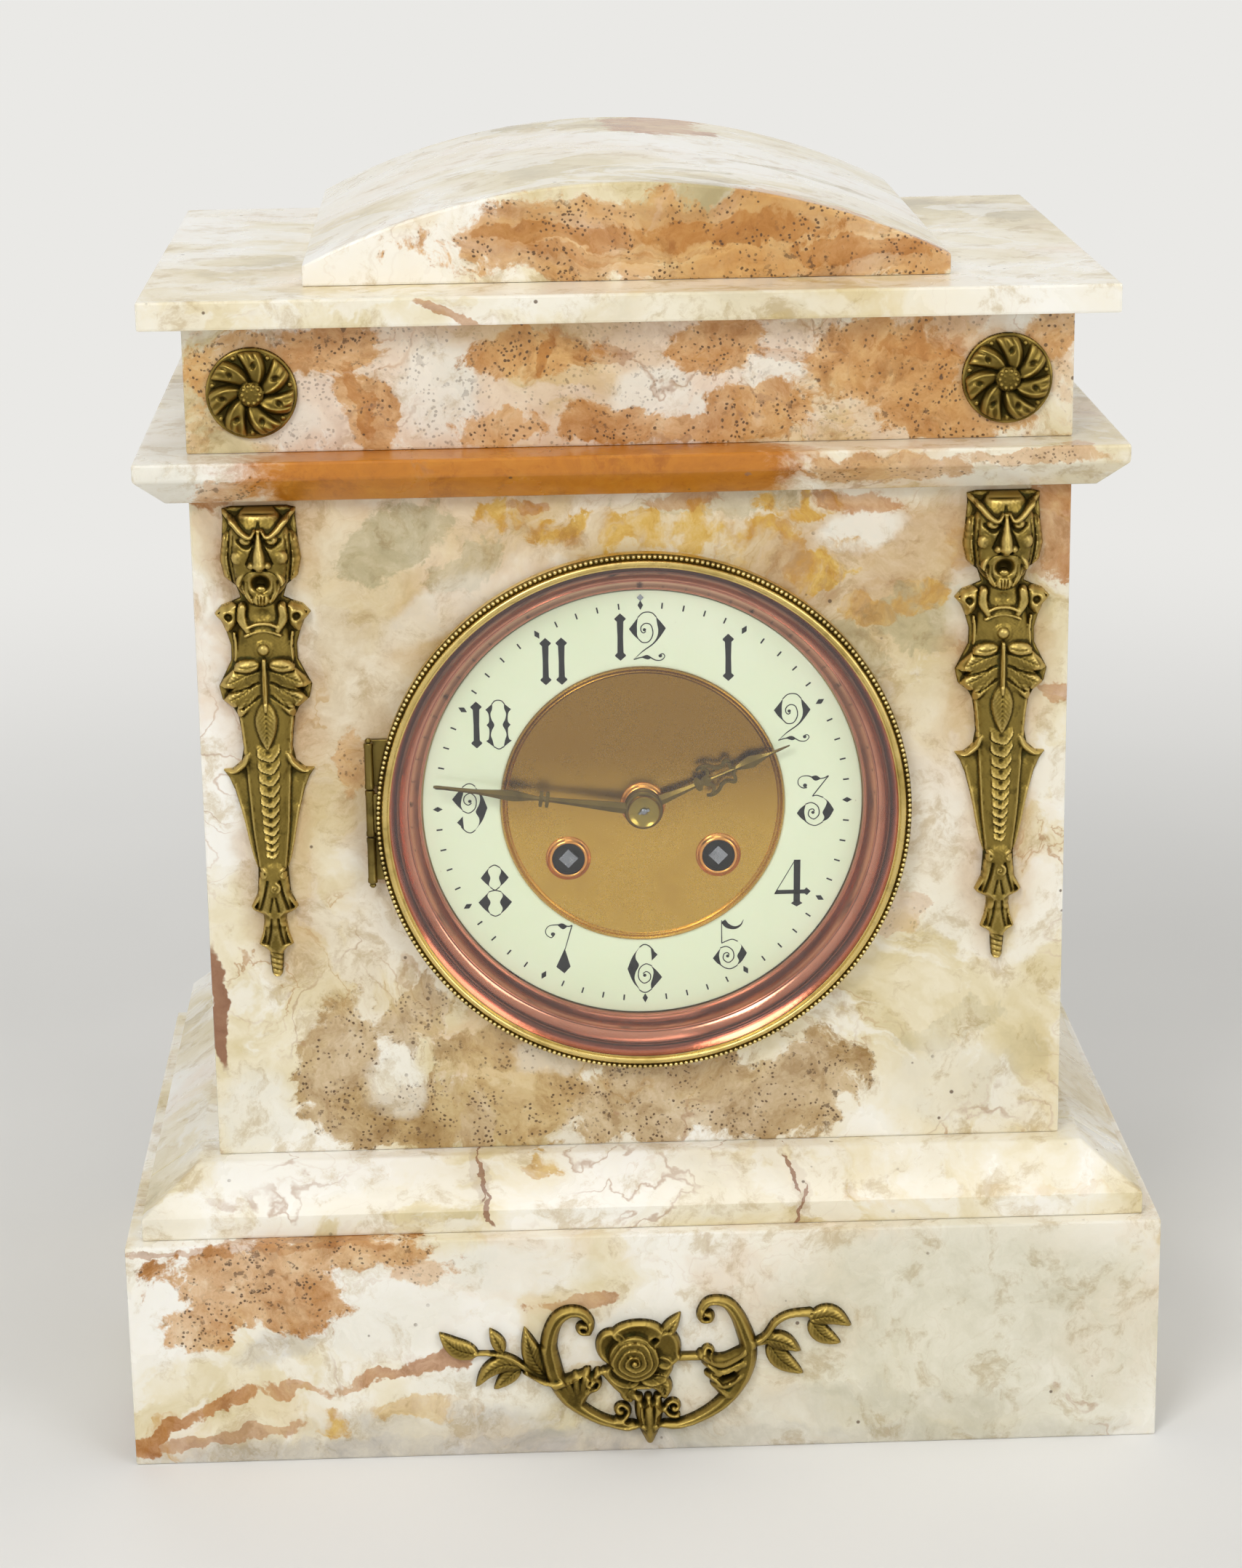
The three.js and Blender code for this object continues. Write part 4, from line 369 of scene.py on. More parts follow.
def metal(name, bright, dull, dark, rough=(0.2, 0.4), spots=0.35, wear=None, ring=None, tarnish=None,
          grain=900, painted_reflection_fade=None, bands=None):
    """A metal with patina in patches and fine scratches.

    wear: colour of the rubbed high places, tarnish: of the hollows. ring: centre of the turning marks.
    painted_reflection_fade: a darker colour painted towards the top, as a painted dark reflection. bands:
    colours by the distance from the ring's centre."""
    n = Nodes(name)
    place = n.coord()
    patch = n.noise(place, 60, 6, 0.62)
    fine = n.noise(place, grain, 3, 0.6)
    colour = n.ramp(patch, [(0.3, dull), (0.5, bright), (0.75, bright)])
    stain = n.times(n.patches(place, 170, 5, 0.7, 0.52, 0.68, 1), spots)
    colour = n.mix(stain, colour, rgb(dark))
    rough_value = n.math("ADD", n.span(patch, 0.3, 0.7, rough[1], rough[0]), n.times(fine, 0.08))
    if wear:
        raised = n.attribute("wear")
        high_spots = n.span(raised, 0.56, 0.82, 0, 1, True)
        hollows = n.span(raised, 0.47, 0.24, 0, 1, True)
        colour = n.mix(n.times(high_spots, 0.8), colour, rgb(wear))
        colour = n.mix(n.times(hollows, 0.78), colour, rgb(dark))
        rough_value = n.math("ADD", rough_value, n.times(hollows, 0.25))
        if tarnish:
            green = n.times(n.patches(place, 240, 4, 0.7, 0.5, 0.7, 0.5), hollows)
            colour = n.mix(green, colour, rgb(tarnish))
    normal = n.bump(fine, 0.12, 0.0002)
    # Painted reflection: the colour darkens towards the top, standing in for the darker surroundings that a
    # satin face reflects in its upper half.
    if painted_reflection_fade:
        deep, bottom, top = painted_reflection_fade
        height = n.math("ADD", n.axis(place, 2), n.times(patch, 0.012))
        colour = n.mix(n.span(height, bottom * MM, top * MM, 0, 0.85, True), colour, rgb(deep))
    if ring:
        local = n.mapped(place, tuple(v * MM for v in ring))
        away = n.vector("LENGTH", n.vector("MULTIPLY", local, (1, 0, 1)), out="Value")
        # Colours by radius. On the copper reflector they are painted highlight and shade rings.
        if bands:
            inner, outer, stops = bands
            share = n.span(away, inner * MM, outer * MM)
            colour = n.mix(0.9, colour, n.ramp(share, stops), "MULTIPLY")
        turning = n.noise(n.scaled(away, 1.0), 5200, 2, 0.6)
        normal = n.bump(turning, 0.1, 0.0001, normal)
    return n.done(n.shader(Base_Color=colour, Metallic=1.0, Roughness=rough_value, Normal=normal))


def enamel_material():
    n = Nodes("vitreous_enamel")
    place = n.coord()
    cloud = n.noise(place, 30, 3, 0.5)
    colour = n.ramp(cloud, [(0.3, "f0fad6"), (0.6, "f5fddd"), (0.8, "f8fee3")])
    specks = n.span(n.cells(place, 260), 0.03, 0.05, 1, 0, True)
    gate = n.patches(place, 45, 2, 0.5, 0.6, 0.64, 0.5)
    colour = n.mix(n.times(specks, gate), colour, rgb("a39a78"))
    wave = n.bump(n.noise(place, 90, 2, 0.4), 0.08, 0.0006)
    return n.done(n.shader(Base_Color=colour, Roughness=n.span(cloud, 0.3, 0.7, 0.1, 0.16), Normal=wave,
                           Coat_Weight=0.6, Coat_Roughness=0.04, Subsurface_Weight=0.05,
                           Subsurface_Scale=0.002))


def paint_material(name, colour, rough):
    n = Nodes(name)
    fine = n.noise(n.coord(), 1400, 3, 0.6)
    tone = n.mix(n.span(fine, 0.3, 0.7, 0, 0.35), rgb(colour), (0.014, 0.014, 0.018, 1))
    return n.done(n.shader(Base_Color=tone, Roughness=n.span(fine, 0.3, 0.7, rough, rough + 0.12),
                           Specular_IOR_Level=0.2))


def glass_material():
    n = Nodes("bevelled_glass")
    smear = n.noise(n.coord(), 40, 4, 0.6)
    ripple = n.bump(smear, 0.04, 0.0008)
    clear = n.node("ShaderNodeBsdfTransparent")
    clear.inputs["Color"].default_value = (0.985, 0.99, 0.985, 1)
    gloss = n.node("ShaderNodeBsdfAnisotropic")
    gloss.inputs["Color"].default_value = (1, 1, 1, 1)
    n.put(gloss.inputs["Roughness"], n.span(smear, 0.35, 0.7, 0.01, 0.05))
    n.put(gloss.inputs["Normal"], ripple)
    slant = n.node("ShaderNodeLayerWeight")
    slant.inputs["Blend"].default_value = 0.5
    fifth = n.math("POWER", slant.outputs["Facing"], 5.0)
    share = n.math("ADD", n.times(fifth, 0.96), 0.04)
    return n.done(n.mixed(share, clear.outputs[0], gloss.outputs[0]))


def plaster_material():
    n = Nodes("cement_core")
    place = n.coord()
    lumps = n.noise(place, 60, 8, 0.65)
    colour = n.ramp(lumps, [(0.3, "8f8672"), (0.5, "b2a78f"), (0.7, "c7bda6")])
    return n.done(n.shader(Base_Color=colour, Roughness=0.95, Normal=n.bump(lumps, 0.8, 0.002)))


PALE_ROOM = "eae9e6"


def floor_material():
    """A pale floor that takes the object's shadow near it and runs into the pale surroundings further out."""
    n = Nodes("pale_floor")
    place = n.coord()
    soft = n.noise(place, 5, 2, 0.5)
    colour = n.ramp(soft, [(0.3, "e4e3e0"), (0.7, PALE_ROOM)])
    matt = n.shader(Base_Color=colour, Roughness=n.span(soft, 0.3, 0.7, 0.85, 0.95))
    away = n.vector("LENGTH", place, out="Value")
    lit = n.node("ShaderNodeEmission")
    lit.inputs["Color"].default_value = rgb(PALE_ROOM)
    share = n.times(n.seen(), n.span(away, 0.28, 1.1, 0, 1, True))
    return n.done(n.mixed(share, matt, lit.outputs[0]))


DIAL_RING = (DIAL_X, 0, DIAL_Z)
ANTIQUE = metal("antique_brass", "887439", "685728", "2c2410", (0.3, 0.46), 0.5, wear="cdb46c",
                tarnish="4c5430", grain=1500)
ANTIQUE_DEEP = metal("antique_brass_deep", "6f5d2b", "52431c", "221c0b", (0.3, 0.46), 0.5, wear="ad9550",
                     tarnish="3e4724", grain=1500)
GILT = metal("gilt_brass", "d8be78", "b39a56", "3f3316", (0.18, 0.32), 0.3, ring=DIAL_RING)
REAR_GILT = metal("worn_rear_gilt", "b3965a", "93793f", "4a3c1e", (0.2, 0.34), 0.14, ring=DIAL_RING)
GILT_BEADS = metal("gilt_beading", "dcc98a", "b09c60", "2c2410", (0.18, 0.32), 0.4)
# Colour rings across the polished copper reflector: painted reflections, with pale highlight rings and darker
# shade rings, multiplied over the copper's own colour.
COPPER_PAINTED_REFLECTION_BANDS = [(0.0, "ecd8cc"), (0.07, "fbece2"), (0.12, "9c7a6c"), (0.2, "b8988a"), (0.27, "f0d8cc"),
                (0.42, "fff4ec"), (0.56, "e4c8bc"), (0.6, "8c7066"), (0.72, "7e6056"), (0.77, "8c4836"),
                (0.82, "ecc2b0"), (0.9, "d8a896"), (0.96, "7c4636")]
COPPER = metal("rose_copper", "cb9079", "b47a62", "7c4a38", (0.05, 0.1), 0.08, ring=DIAL_RING,
               bands=(59.2, 69.2, COPPER_PAINTED_REFLECTION_BANDS))
COLLAR = metal("copper_gilt_collar", "e6a658", "cb8238", "74401a", (0.1, 0.22), 0.12)
# The centre disc gets a painted dark reflection, darker towards the top.
CENTRE = metal("satin_gilt_centre", "cfa54a", "c69b42", "8a6626", (0.22, 0.26), 0.05, ring=DIAL_RING,
               grain=2200, painted_reflection_fade=("8e6620", DIAL_Z - 6, DIAL_Z + 22))
HINGE = metal("worn_hinge_brass", "7d6c3a", "5e4f29", "282010", (0.26, 0.42), 0.45)
GROOVE = metal("tarnished_groove", "4a3c1b", "332811", "171107", (0.35, 0.5), 0.4)
HAND = metal("hand_brass", "6f5c2b", "4c3f1c", "221b0b", (0.2, 0.34), 0.3)
BRASS = metal("movement_brass", "c4a256", "a0803a", "56471c", (0.22, 0.38), 0.25, grain=1800)
STEEL = metal("grey_steel", "8f9197", "64676d", "352f2b", (0.22, 0.4), 0.35, grain=1800)
BLUED = metal("blued_gong_steel", "4d5563", "343b48", "2a211c", (0.24, 0.4), 0.4, grain=1800)
HAND_POLISHED = metal("polished_hand_brass", "9c8640", "71602e", "2f2710", (0.12, 0.24), 0.25)
KEY_STEEL = metal("polished_key_square", "9da0a8", "6d7178", "24262b", (0.14, 0.3), 0.2, grain=2400)
ENAMEL = enamel_material()
INK = paint_material("black_numeral_enamel", "0b0c10", 0.42)
# Near-black paint, used as painted shade inside the winding holes.
PAINTED_SHADE_BLACK = paint_material("painted_shade_black", "080706", 0.7)
GLASS = glass_material()
CORE = plaster_material()


# Mesh helpers


def linked(name, data):
    """A new object in the scene's collection."""
    made = bpy.data.objects.new(name, data)
    bpy.context.scene.collection.objects.link(made)
    return made


def baked(piece):
    """Gives a piece the mesh that its modifiers make, and takes them off."""
    shape = piece.evaluated_get(bpy.context.evaluated_depsgraph_get())
    piece.data = bpy.data.meshes.new_from_object(shape)
    piece.modifiers.clear()


def smooth(mesh, angle):
    """Smooth shading, with edges sharper than the angle in degrees left sharp."""
    mesh.polygons.foreach_set("use_smooth", [True] * len(mesh.polygons))
    mesh.set_sharp_from_angle(angle=math.radians(angle))


def solid(name, verts, faces, material, angle=32):
    mesh = bpy.data.meshes.new(name)
    mesh.from_pydata([tuple(v) for v in verts], [], [tuple(f) for f in faces])
    mesh.validate()
    mesh.materials.append(material)
    smooth(mesh, angle)
    return linked(name, mesh)


def settle(piece, body, slot, *nodes):
    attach(piece, body)
    if nodes:
        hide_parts(*nodes)
    return piece


def dress(node, material):
    """A CAD node keeps its mesh and takes the material in each of its slots."""
    if not node.material_slots:
        node.data.materials.append(material)
    for slot in node.material_slots:
        slot.material = material


class Build:
    """Vertices and faces gathered in millimetres, then made into one piece."""

    def __init__(self):
        self.verts = []
        self.faces = []

    def add(self, verts, faces):
        start = len(self.verts)
        self.verts += [tuple(v) for v in verts]
        self.faces += [tuple(start + i for i in face) for face in faces]
        return self

    def turned(self, profile, segments=128, x=None, z=None, closed=True):
        """A profile of (radius, y) turned about the Y axis through x, z. A radius of 0 closes the end."""
        x = DIAL_X if x is None else x
        z = DIAL_Z if z is None else z
        verts, rows = [], []
        for radius, y in profile:
            if radius < 1e-6:
                rows.append([len(verts)] * segments)
                verts.append((x, y, z))
            else:
                rows.append([len(verts) + i for i in range(segments)])
                verts += [(x + radius * math.cos(TURN * i / segments), y,
                           z + radius * math.sin(TURN * i / segments))
                          for i in range(segments)]
        faces = []
        count = len(rows)
        for a in range(count if closed else count - 1):
            first, second = rows[a], rows[(a + 1) % count]
            if first[0] == first[1] and second[0] == second[1]:
                continue
            for i in range(segments):
                j = (i + 1) % segments
                face = [first[i], first[j], second[j], second[i]]
                face = [v for k, v in enumerate(face) if v != face[k - 1]]
                faces.append(face)
        return self.add(verts, faces)

    def upright(self, x, y, profile, segments=24):
        """A profile of (radius, z) turned about the vertical through x, y, closed at both ends."""
        verts, rows = [], []
        for radius, z in profile:
            rows.append([len(verts) + i for i in range(segments)])
            verts += [(x + radius * math.cos(TURN * i / segments),
                       y + radius * math.sin(TURN * i / segments), z)
                      for i in range(segments)]
        faces = [rows[0][::-1], rows[-1]]
        for a in range(len(rows) - 1):
            for i in range(segments):
                j = (i + 1) % segments
                faces.append([rows[a][i], rows[a][j], rows[a + 1][j], rows[a + 1][i]])
        return self.add(verts, faces)

    def block(self, lo, hi, ease=0.0):
        """A box with its edges eased."""
        e = ease
        verts, faces = [], []
        lo, hi = np.array(lo, float), np.array(hi, float)
        corner = {}
        for bits in product((0, 1), repeat=3):
            spot = [hi[k] if bit else lo[k] for k, bit in enumerate(bits)]
            sign = [1 if bit else -1 for bit in bits]
            for k in range(3):
                corner[(*bits, k)] = len(verts)
                verts.append([spot[m] - (0 if m == k else sign[m] * e) for m in range(3)])
        for k in range(3):
            m, n = (k + 1) % 3, (k + 2) % 3
            for side in (0, 1):
                quad = []
                for p, q in ((0, 0), (1, 0), (1, 1), (0, 1)):
                    bits = [0, 0, 0]
                    bits[k], bits[m], bits[n] = side, p, q
                    quad.append(corner[(*bits, k)])
                faces.append(quad if side else quad[::-1])
        if e > 0:
            for k in range(3):
                m, n = (k + 1) % 3, (k + 2) % 3
                for p, q in product((0, 1), repeat=2):
                    ends = []
                    for side in (0, 1):
                        bits = [0, 0, 0]
                        bits[k], bits[m], bits[n] = side, p, q
                        ends.append((corner[(*bits, m)], corner[(*bits, n)]))
                    quad = [ends[0][0], ends[1][0], ends[1][1], ends[0][1]]
                    faces.append(quad if p == q else quad[::-1])
            for bits in product((0, 1), repeat=3):
                tri = [corner[(*bits, k)] for k in range(3)]
                faces.append(tri if sum(bits) % 2 else tri[::-1])
        return self.add(verts, faces)

    def ball(self, x, y, z, radius, rings=5, segments=8):
        verts = [(x, y - radius, z)]
        faces = []
        for i in range(1, rings):
            a = math.pi * i / rings
            for j in range(segments):
                b = TURN * j / segments
                verts.append((x + radius * math.sin(a) * math.cos(b), y - radius * math.cos(a),
                              z + radius * math.sin(a) * math.sin(b)))
        verts.append((x, y + radius, z))
        last = len(verts) - 1
        for j in range(segments):
            k = (j + 1) % segments
            faces.append((0, 1 + j, 1 + k))
            for i in range(rings - 2):
                a, b = 1 + i * segments, 1 + (i + 1) * segments
                faces.append((a + j, b + j, b + k, a + k))
            faces.append((last, last - segments + k, last - segments + j))
        return self.add(verts, faces)

    def tube(self, points, radii, sides=10):
        """A tube along points, with a radius at each, closed at both ends."""
        points = [Vector(p) for p in points]
        count = len(points)
        radii = [radii] * count if isinstance(radii, (int, float)) else radii
        verts, rows = [], []
        across = None
        for i, p in enumerate(points):
            along = (points[min(i + 1, count - 1)] - points[max(i - 1, 0)]).normalized()
            if across is None:
                across = along.orthogonal().normalized()
            across = (across - along * across.dot(along)).normalized()
            other = along.cross(across)
            rows.append([len(verts) + k for k in range(sides)])
            for k in range(sides):
                a = TURN * k / sides
                verts.append(p + (across * math.cos(a) + other * math.sin(a)) * radii[i])
        faces = [rows[0][::-1], rows[-1]]
        for a in range(count - 1):
            for k in range(sides):
                m = (k + 1) % sides
                faces.append([rows[a][k], rows[a][m], rows[a + 1][m], rows[a + 1][k]])
        return self.add(verts, faces)

    def slab(self, outline, y_front, y_back):
        """A flat outline of (x, z) points, y_back behind y_front."""
        points = [Vector((x, z, 0)) for x, z in outline]
        area = sum(a.x * b.y - b.x * a.y for a, b in zip(points, points[1:] + points[:1]))
        if area < 0:
            outline = outline[::-1]
            points = points[::-1]
        count = len(outline)
        verts = [(x, y_front, z) for x, z in outline] + [(x, y_back, z) for x, z in outline]
        tris = tessellate_polygon([points])
        faces = [self.faced(tri, points, True) for tri in tris]
        faces += [tuple(count + i for i in self.faced(tri, points, False)) for tri in tris]
        faces += [(i, count + i, count + (i + 1) % count, (i + 1) % count) for i in range(count)]
        return self.add(verts, faces)

    @staticmethod
    def faced(tri, points, front):
        a, b, c = (points[i] for i in tri)
        left = (b - a).cross(c - a).z > 0
        return tuple(tri) if left == front else tuple(tri)[::-1]

    def piece(self, name, material, angle=32):
        made = solid(name, [Vector(v) * MM for v in self.verts], self.faces, material, angle)
        outwards(made)
        return made


def outwards(piece):
    """Turns every face of a closed mesh outwards."""
    work = bmesh.new()
    work.from_mesh(piece.data)
    bmesh.ops.recalc_face_normals(work, faces=work.faces)
    work.to_mesh(piece.data)
    work.free()


def curve_point(a, b, c, d, t):
    """A place on the Catmull-Rom curve from b to c."""
    return 0.5 * (2 * b + (c - a) * t + (2 * a - 5 * b + 4 * c - d) * t * t
                  + (3 * b - a - 3 * c + d) * t**3)


def smooth_path(points, per=8):
    """A Catmull-Rom path through points of any size."""
    pts = [np.array(p, float) for p in points]
    pts = [2 * pts[0] - pts[1]] + pts + [2 * pts[-1] - pts[-2]]
    out = []
    for i in range(1, len(pts) - 2):
        a, b, c, d = pts[i - 1 : i + 3]
        for k in range(per):
            out.append(curve_point(a, b, c, d, k / per))
    out.append(pts[-2])
    return out


def route(points, per=6):
    """A smooth path through three or more points. Two points stay a straight line."""
    return smooth_path(points, per) if len(points) > 2 else points


# Stone


def stone(name, layers, slot="onyx", ease=0.7, **options):
    """The CAD slab with its edges eased and a stone of its own."""
    node = NODES[name]
    mesh = node.data.copy()
    mesh.name = name + "_stone"
    work = bmesh.new()
    work.from_mesh(mesh)
    bmesh.ops.remove_doubles(work, verts=work.verts, dist=1e-5)
    bmesh.ops.dissolve_limit(work, angle_limit=math.radians(1), verts=work.verts, edges=work.edges)
    sharp = [e for e in work.edges if len(e.link_faces) == 2 and e.calc_face_angle(0) > math.radians(25)]
    bmesh.ops.bevel(work, geom=sharp, offset=ease * MM, segments=2, profile=0.6, affect="EDGES",
                    clamp_overlap=True)
    bmesh.ops.triangulate(work, faces=[f for f in work.faces if len(f.verts) > 4])
    work.to_mesh(mesh)
    work.free()
    mesh.materials.clear()
    mesh.materials.append(onyx(name + "_onyx", layers, **options))
    smooth(mesh, 22)
    return settle(linked(name + "_stone", mesh), "case", slot, name)


HALO = [(-97, 248, 17, 16, 0, 0.6), (-96, 210, 16, 28, 0, 0.6), (-95, 165, 12, 38, 0, 0.5),
        (97, 248, 17, 16, 0, 0.6), (96, 210, 16, 28, 0, 0.6), (96, 165, 12, 38, 0, 0.5)]
PLINTH_LAYERS = [
    ("white",
     [(-68, 40, 22, 10, 15), (-38, 54, 26, 9, 0), (-45, 18, 26, 8, 0), (0, 30, 30, 16, 0),
      (70, 50, 40, 14, 0, 0.6)]),
    ("grey",
     [(-10, 2, 150, 8, 0, 0.85), (-60, 9, 40, 8, 0, 0.6), (60, 10, 50, 9, 0, 0.5),
      (-100, 32, 14, 6, 20, 0.5)]),
    ("sage", [(88, 30, 66, 40, 0, 0.75), (20, 14, 60, 16, 0, 0.5)]),
    ("ochre",
     [(-96, 14, 18, 6, -15, 0.8), (-128, 8, 10, 7, 0, 0.9), (-60, 15, 16, 4, 0, 0.5),
      (-8, 24, 24, 3, 0, 0.3)]),
    ("tan", [(-104, 50, 27, 12, -8), (-122, 38, 11, 9, 0), (-82, 59, 27, 6, 0), (-60, 53, 9, 6, 0, 0.7)]),
    ("rust",
     [(-131, 9, 11, 2.2, 37), (-115, 17, 13, 2.2, 17), (-95, 21, 13, 2.0, 6, 0.9),
      (-75, 24, 13, 2.2, 11, 0.9), (-58, 27.5, 9, 3.2, 9, 0.9), (-20, 44, 13, 2.4, 12, 0.8),
      (-137, 4, 5, 4, 0), (-112, 8, 22, 1.8, 8, 0.7), (-100, 61.5, 40, 1.6, 0, 0.6)]),
]


def on_plinth(layers):
    """Zones that reach back from the plinth's face."""
    placed = []
    for kind, zones in layers:
        placed.append((kind, [(*z[:5], z[5] if len(z) > 5 else 1.0, PLINTH_FACE, 60) for z in zones]))
    return placed


for plinth_part in ("plinth_front", "plinth_left", "plinth_right"):
    stone(plinth_part, on_plinth(PLINTH_LAYERS), cream=0.35, stray=0.2, veins=0.3)

STEP_LAYERS = [
    ("white", [(20, 72, 22, 9, 0, 0.6), (-10, 70, 30, 6, 0, 0.5)]),
    ("ochre", [(-28, 79, 5, 2, 0, 0.7), (90, 71, 40, 2, 0, 0.25)]),
    ("crack",
     [(-43.5, 76, 0.7, 5.5, -8, 0.9), (-42.0, 69, 0.8, 6, 14, 0.9), (40.5, 77, 0.6, 5, 6, 0.9),
      (42.3, 71, 0.7, 5, -14, 0.9), (41.6, 66, 0.7, 4, 8, 0.9), (-44, 76, 3, 6, 0, 0.2),
      (42, 72, 3, 8, 0, 0.15)]),
]
for step_part in ("step_front", "step_left", "step_right"):
    stone(step_part, STEP_LAYERS, cream=0.5, stray=0.0, shift=(40, 10, 300), veins=0.25)

BODY_LAYERS = [
    ("honey",
     [(62, 238, 52, 30, 0, 0.75), (-10, 254, 70, 14, 0, 0.6), (-74, 214, 26, 58, 0, 0.75),
      (82, 190, 26, 40, 0, 0.35), (-70, 140, 30, 30, 0, 0.4)]),
    ("stain", [(64, 242, 40, 17, 12, 0.55), (-66, 176, 13, 30, 8, 0.45), (-52, 226, 16, 12, 30, 0.35)]),
    ("olive",
     [(-62, 250, 19, 9, 25, 0.85), (-44, 243, 12, 6, 30, 0.7), (78, 226, 14, 10, 0, 0.7),
      (58, 214, 12, 9, 0, 0.6), (20, 258, 26, 5, 0, 0.7), (-96, 238, 8, 12, 0, 0.4),
      (85, 112, 15, 5, 20, 0.3)]),
    ("white",
     [(-50, 232, 20, 7, 30, 0.6), (90, 232, 8, 14, 0, 0.7), (60, 250, 14, 6, 20), (-105, 92, 12, 14, 0),
      (-100, 175, 8, 34, 0, 0.6), (85, 95, 22, 14, 0, 0.7), (-88, 225, 6, 16, 0, 0.6)]),
    ("ochre",
     [(-33, 256, 10, 5, 0), (-12, 250, 15, 8, 0), (12, 251, 20, 7, 0), (31, 246, 12, 8, 0),
      (52, 239, 14, 6, 22), (44, 257, 14, 5, 0), (76, 232, 8, 5, 0, 0.8), (60, 227, 9, 4, 0, 0.7),
      (90, 245, 8, 7, 0, 0.5)]),
    ("beige",
     [(-81, 104, 12, 23, -12), (-60, 118, 15, 9, 30, 0.8), (-42, 91, 48, 13, 4), (6, 92, 46, 14, 0),
      (44, 95, 18, 15, 0), (-20, 108, 40, 7, 0, 0.8)]),
    ("tan",
     [(-76, 190, 5, 10, 0, 0.7), (-66, 160, 5, 8, 20, 0.5), (96, 214, 10, 8, 0, 0.4),
      (70, 145, 8, 5, 0, 0.4)]),
    ("white", [(-66, 98, 10, 10, 20, 0.7), (-25, 106, 9, 5, 0, 0.6), (18, 108, 8, 4, 0, 0.5)]),
    ("rust",
     [(110, 250, 8, 17, 12), (113, 262, 6, 8, 0), (-110, 262, 8, 4, 0), (111, 204, 4, 4, 0, 0.8),
      (-28, 258, 7, 2.5, 0, 0.7), (12, 258, 14, 2.6, 0, 0.7), (60, 258, 14, 4, 0, 0.9),
      (106, 244, 5, 10, 0, 0.6)]),
    ("stain", HALO),
    ("crack", [(-113.4, 122, 2.8, 19, 4, 1)]),
]
for body_part in ("body_front", "body_left", "body_right", "body_back"):
    stone(body_part, BODY_LAYERS, cream=0.45, stray=0.35)

FRIEZE_LAYERS = [
    ("tan", [(0, 290, 150, 26, 0, 0.5)]),
    ("white",
     [(-50, 290, 13, 15, 0), (4, 288, 12, 9, 0), (37, 292, 9, 7, 0), (-90, 281, 12, 6, 0, 0.8),
      (18, 282, 8, 5, 0)]),
    ("tan",
     [(-101, 294, 17, 13, 0), (-76, 301, 13, 8, 0), (-68, 284, 7, 14, 20), (-25, 299, 16, 8, 0),
      (-35, 279, 13, 5, 0), (-5, 281, 14, 5, 0), (22, 300, 13, 9, 0), (35, 283, 16, 7, 0),
      (62, 296, 23, 13, 0), (85, 281, 24, 8, 0), (109, 302, 10, 8, 0), (15, 278, 34, 4, 0)]),
    ("rust",
     [(-70, 288, 2.6, 13, 15, 0.8), (-22, 299, 2.4, 7, 0, 0.9), (76, 300, 14, 3.5, 0, 0.7),
      (100, 298, 6, 5, 0, 0.5), (-8, 300, 7, 3, 0, 0.5), (40, 298, 8, 3, 0, 0.4)]),
]
stone("frieze", FRIEZE_LAYERS, "onyx_tan", cream=0.3, stray=0.5, shift=(15, 0, 90))
CORNICE_EDGE = low("cornice", 1)
CORNICE_LAYERS = [
    ("white", [(-120, 269, 12, 9, 0, 1, CORNICE_EDGE, 40), (95, 269, 30, 8, 0, 0.6, CORNICE_EDGE, 40)]),
    ("tan", [(66, 268, 22, 5, 0, 0.8, CORNICE_EDGE, 10), (104, 271, 20, 3, 0, 0.7, CORNICE_EDGE, 10),
             (-104, 266, 10, 5, 0, 0.8, CORNICE_EDGE, 12)]),
    ("amber", [(-31, 269, 80, 60, 0, 1, CORNICE_EDGE, 30)]),
    ("crack", [(30, 268, 1.2, 1.2, 0, 0.8, CORNICE_EDGE, 6)]),
]
stone("cornice", CORNICE_LAYERS, "onyx_tan", cream=0.3, stray=0.3, shift=(5, 30, 40), strata=0.3, veins=0.4)
TOP_LAYERS = [
    ("white", [(20, 311, 40, 6, 0, 0.5)]),
    ("rust", [(-47, 312, 7, 1.6, -28, 0.8, -78, 14), (-40, 309, 4, 1.6, -40, 0.8, -78, 8)]),
]
stone("top_slab", TOP_LAYERS, cream=0.75, stray=0.08, shift=(80, 20, 10), veins=0.15)
ROOF_FRONT = low("pediment", 1)
ROOF_LAYERS = [
    ("olive", [(48, 332, 34, 9, 0, 0.6, 8, 5), (10, 338, 20, 6, 0, 0.5, -25, 4)]),
    ("tan", [(16, 325, 76, 15, 0, 1, ROOF_FRONT, 12), (60, 321, 34, 9, 0, 1, ROOF_FRONT, 12),
             (-18, 331, 26, 7, 8, 0.9, ROOF_FRONT, 10)]),
    ("rust", [(26, 328, 30, 4.0, 0, 0.8, ROOF_FRONT, 10), (62, 322, 22, 3.5, 0, 0.8, ROOF_FRONT, 10),
              (-14, 327, 26, 2.6, 0, 0.7, ROOF_FRONT, 10), (15, 341, 17, 14, 0, 0.95, 84, 26),
              (-2, 322, 24, 2, 0, 0.5, ROOF_FRONT, 8)]),
]
stone("pediment", ROOF_LAYERS, cream=0.55, stray=0.08, shift=(10, 70, 30), strata=0.75, veins=0.2)

dress(NODES["base_core"], CORE)


# Bezel, glass and dial

BEADS = 318
BEAD_CIRCLE = 70.48
BEAD_RADIUS = 0.61


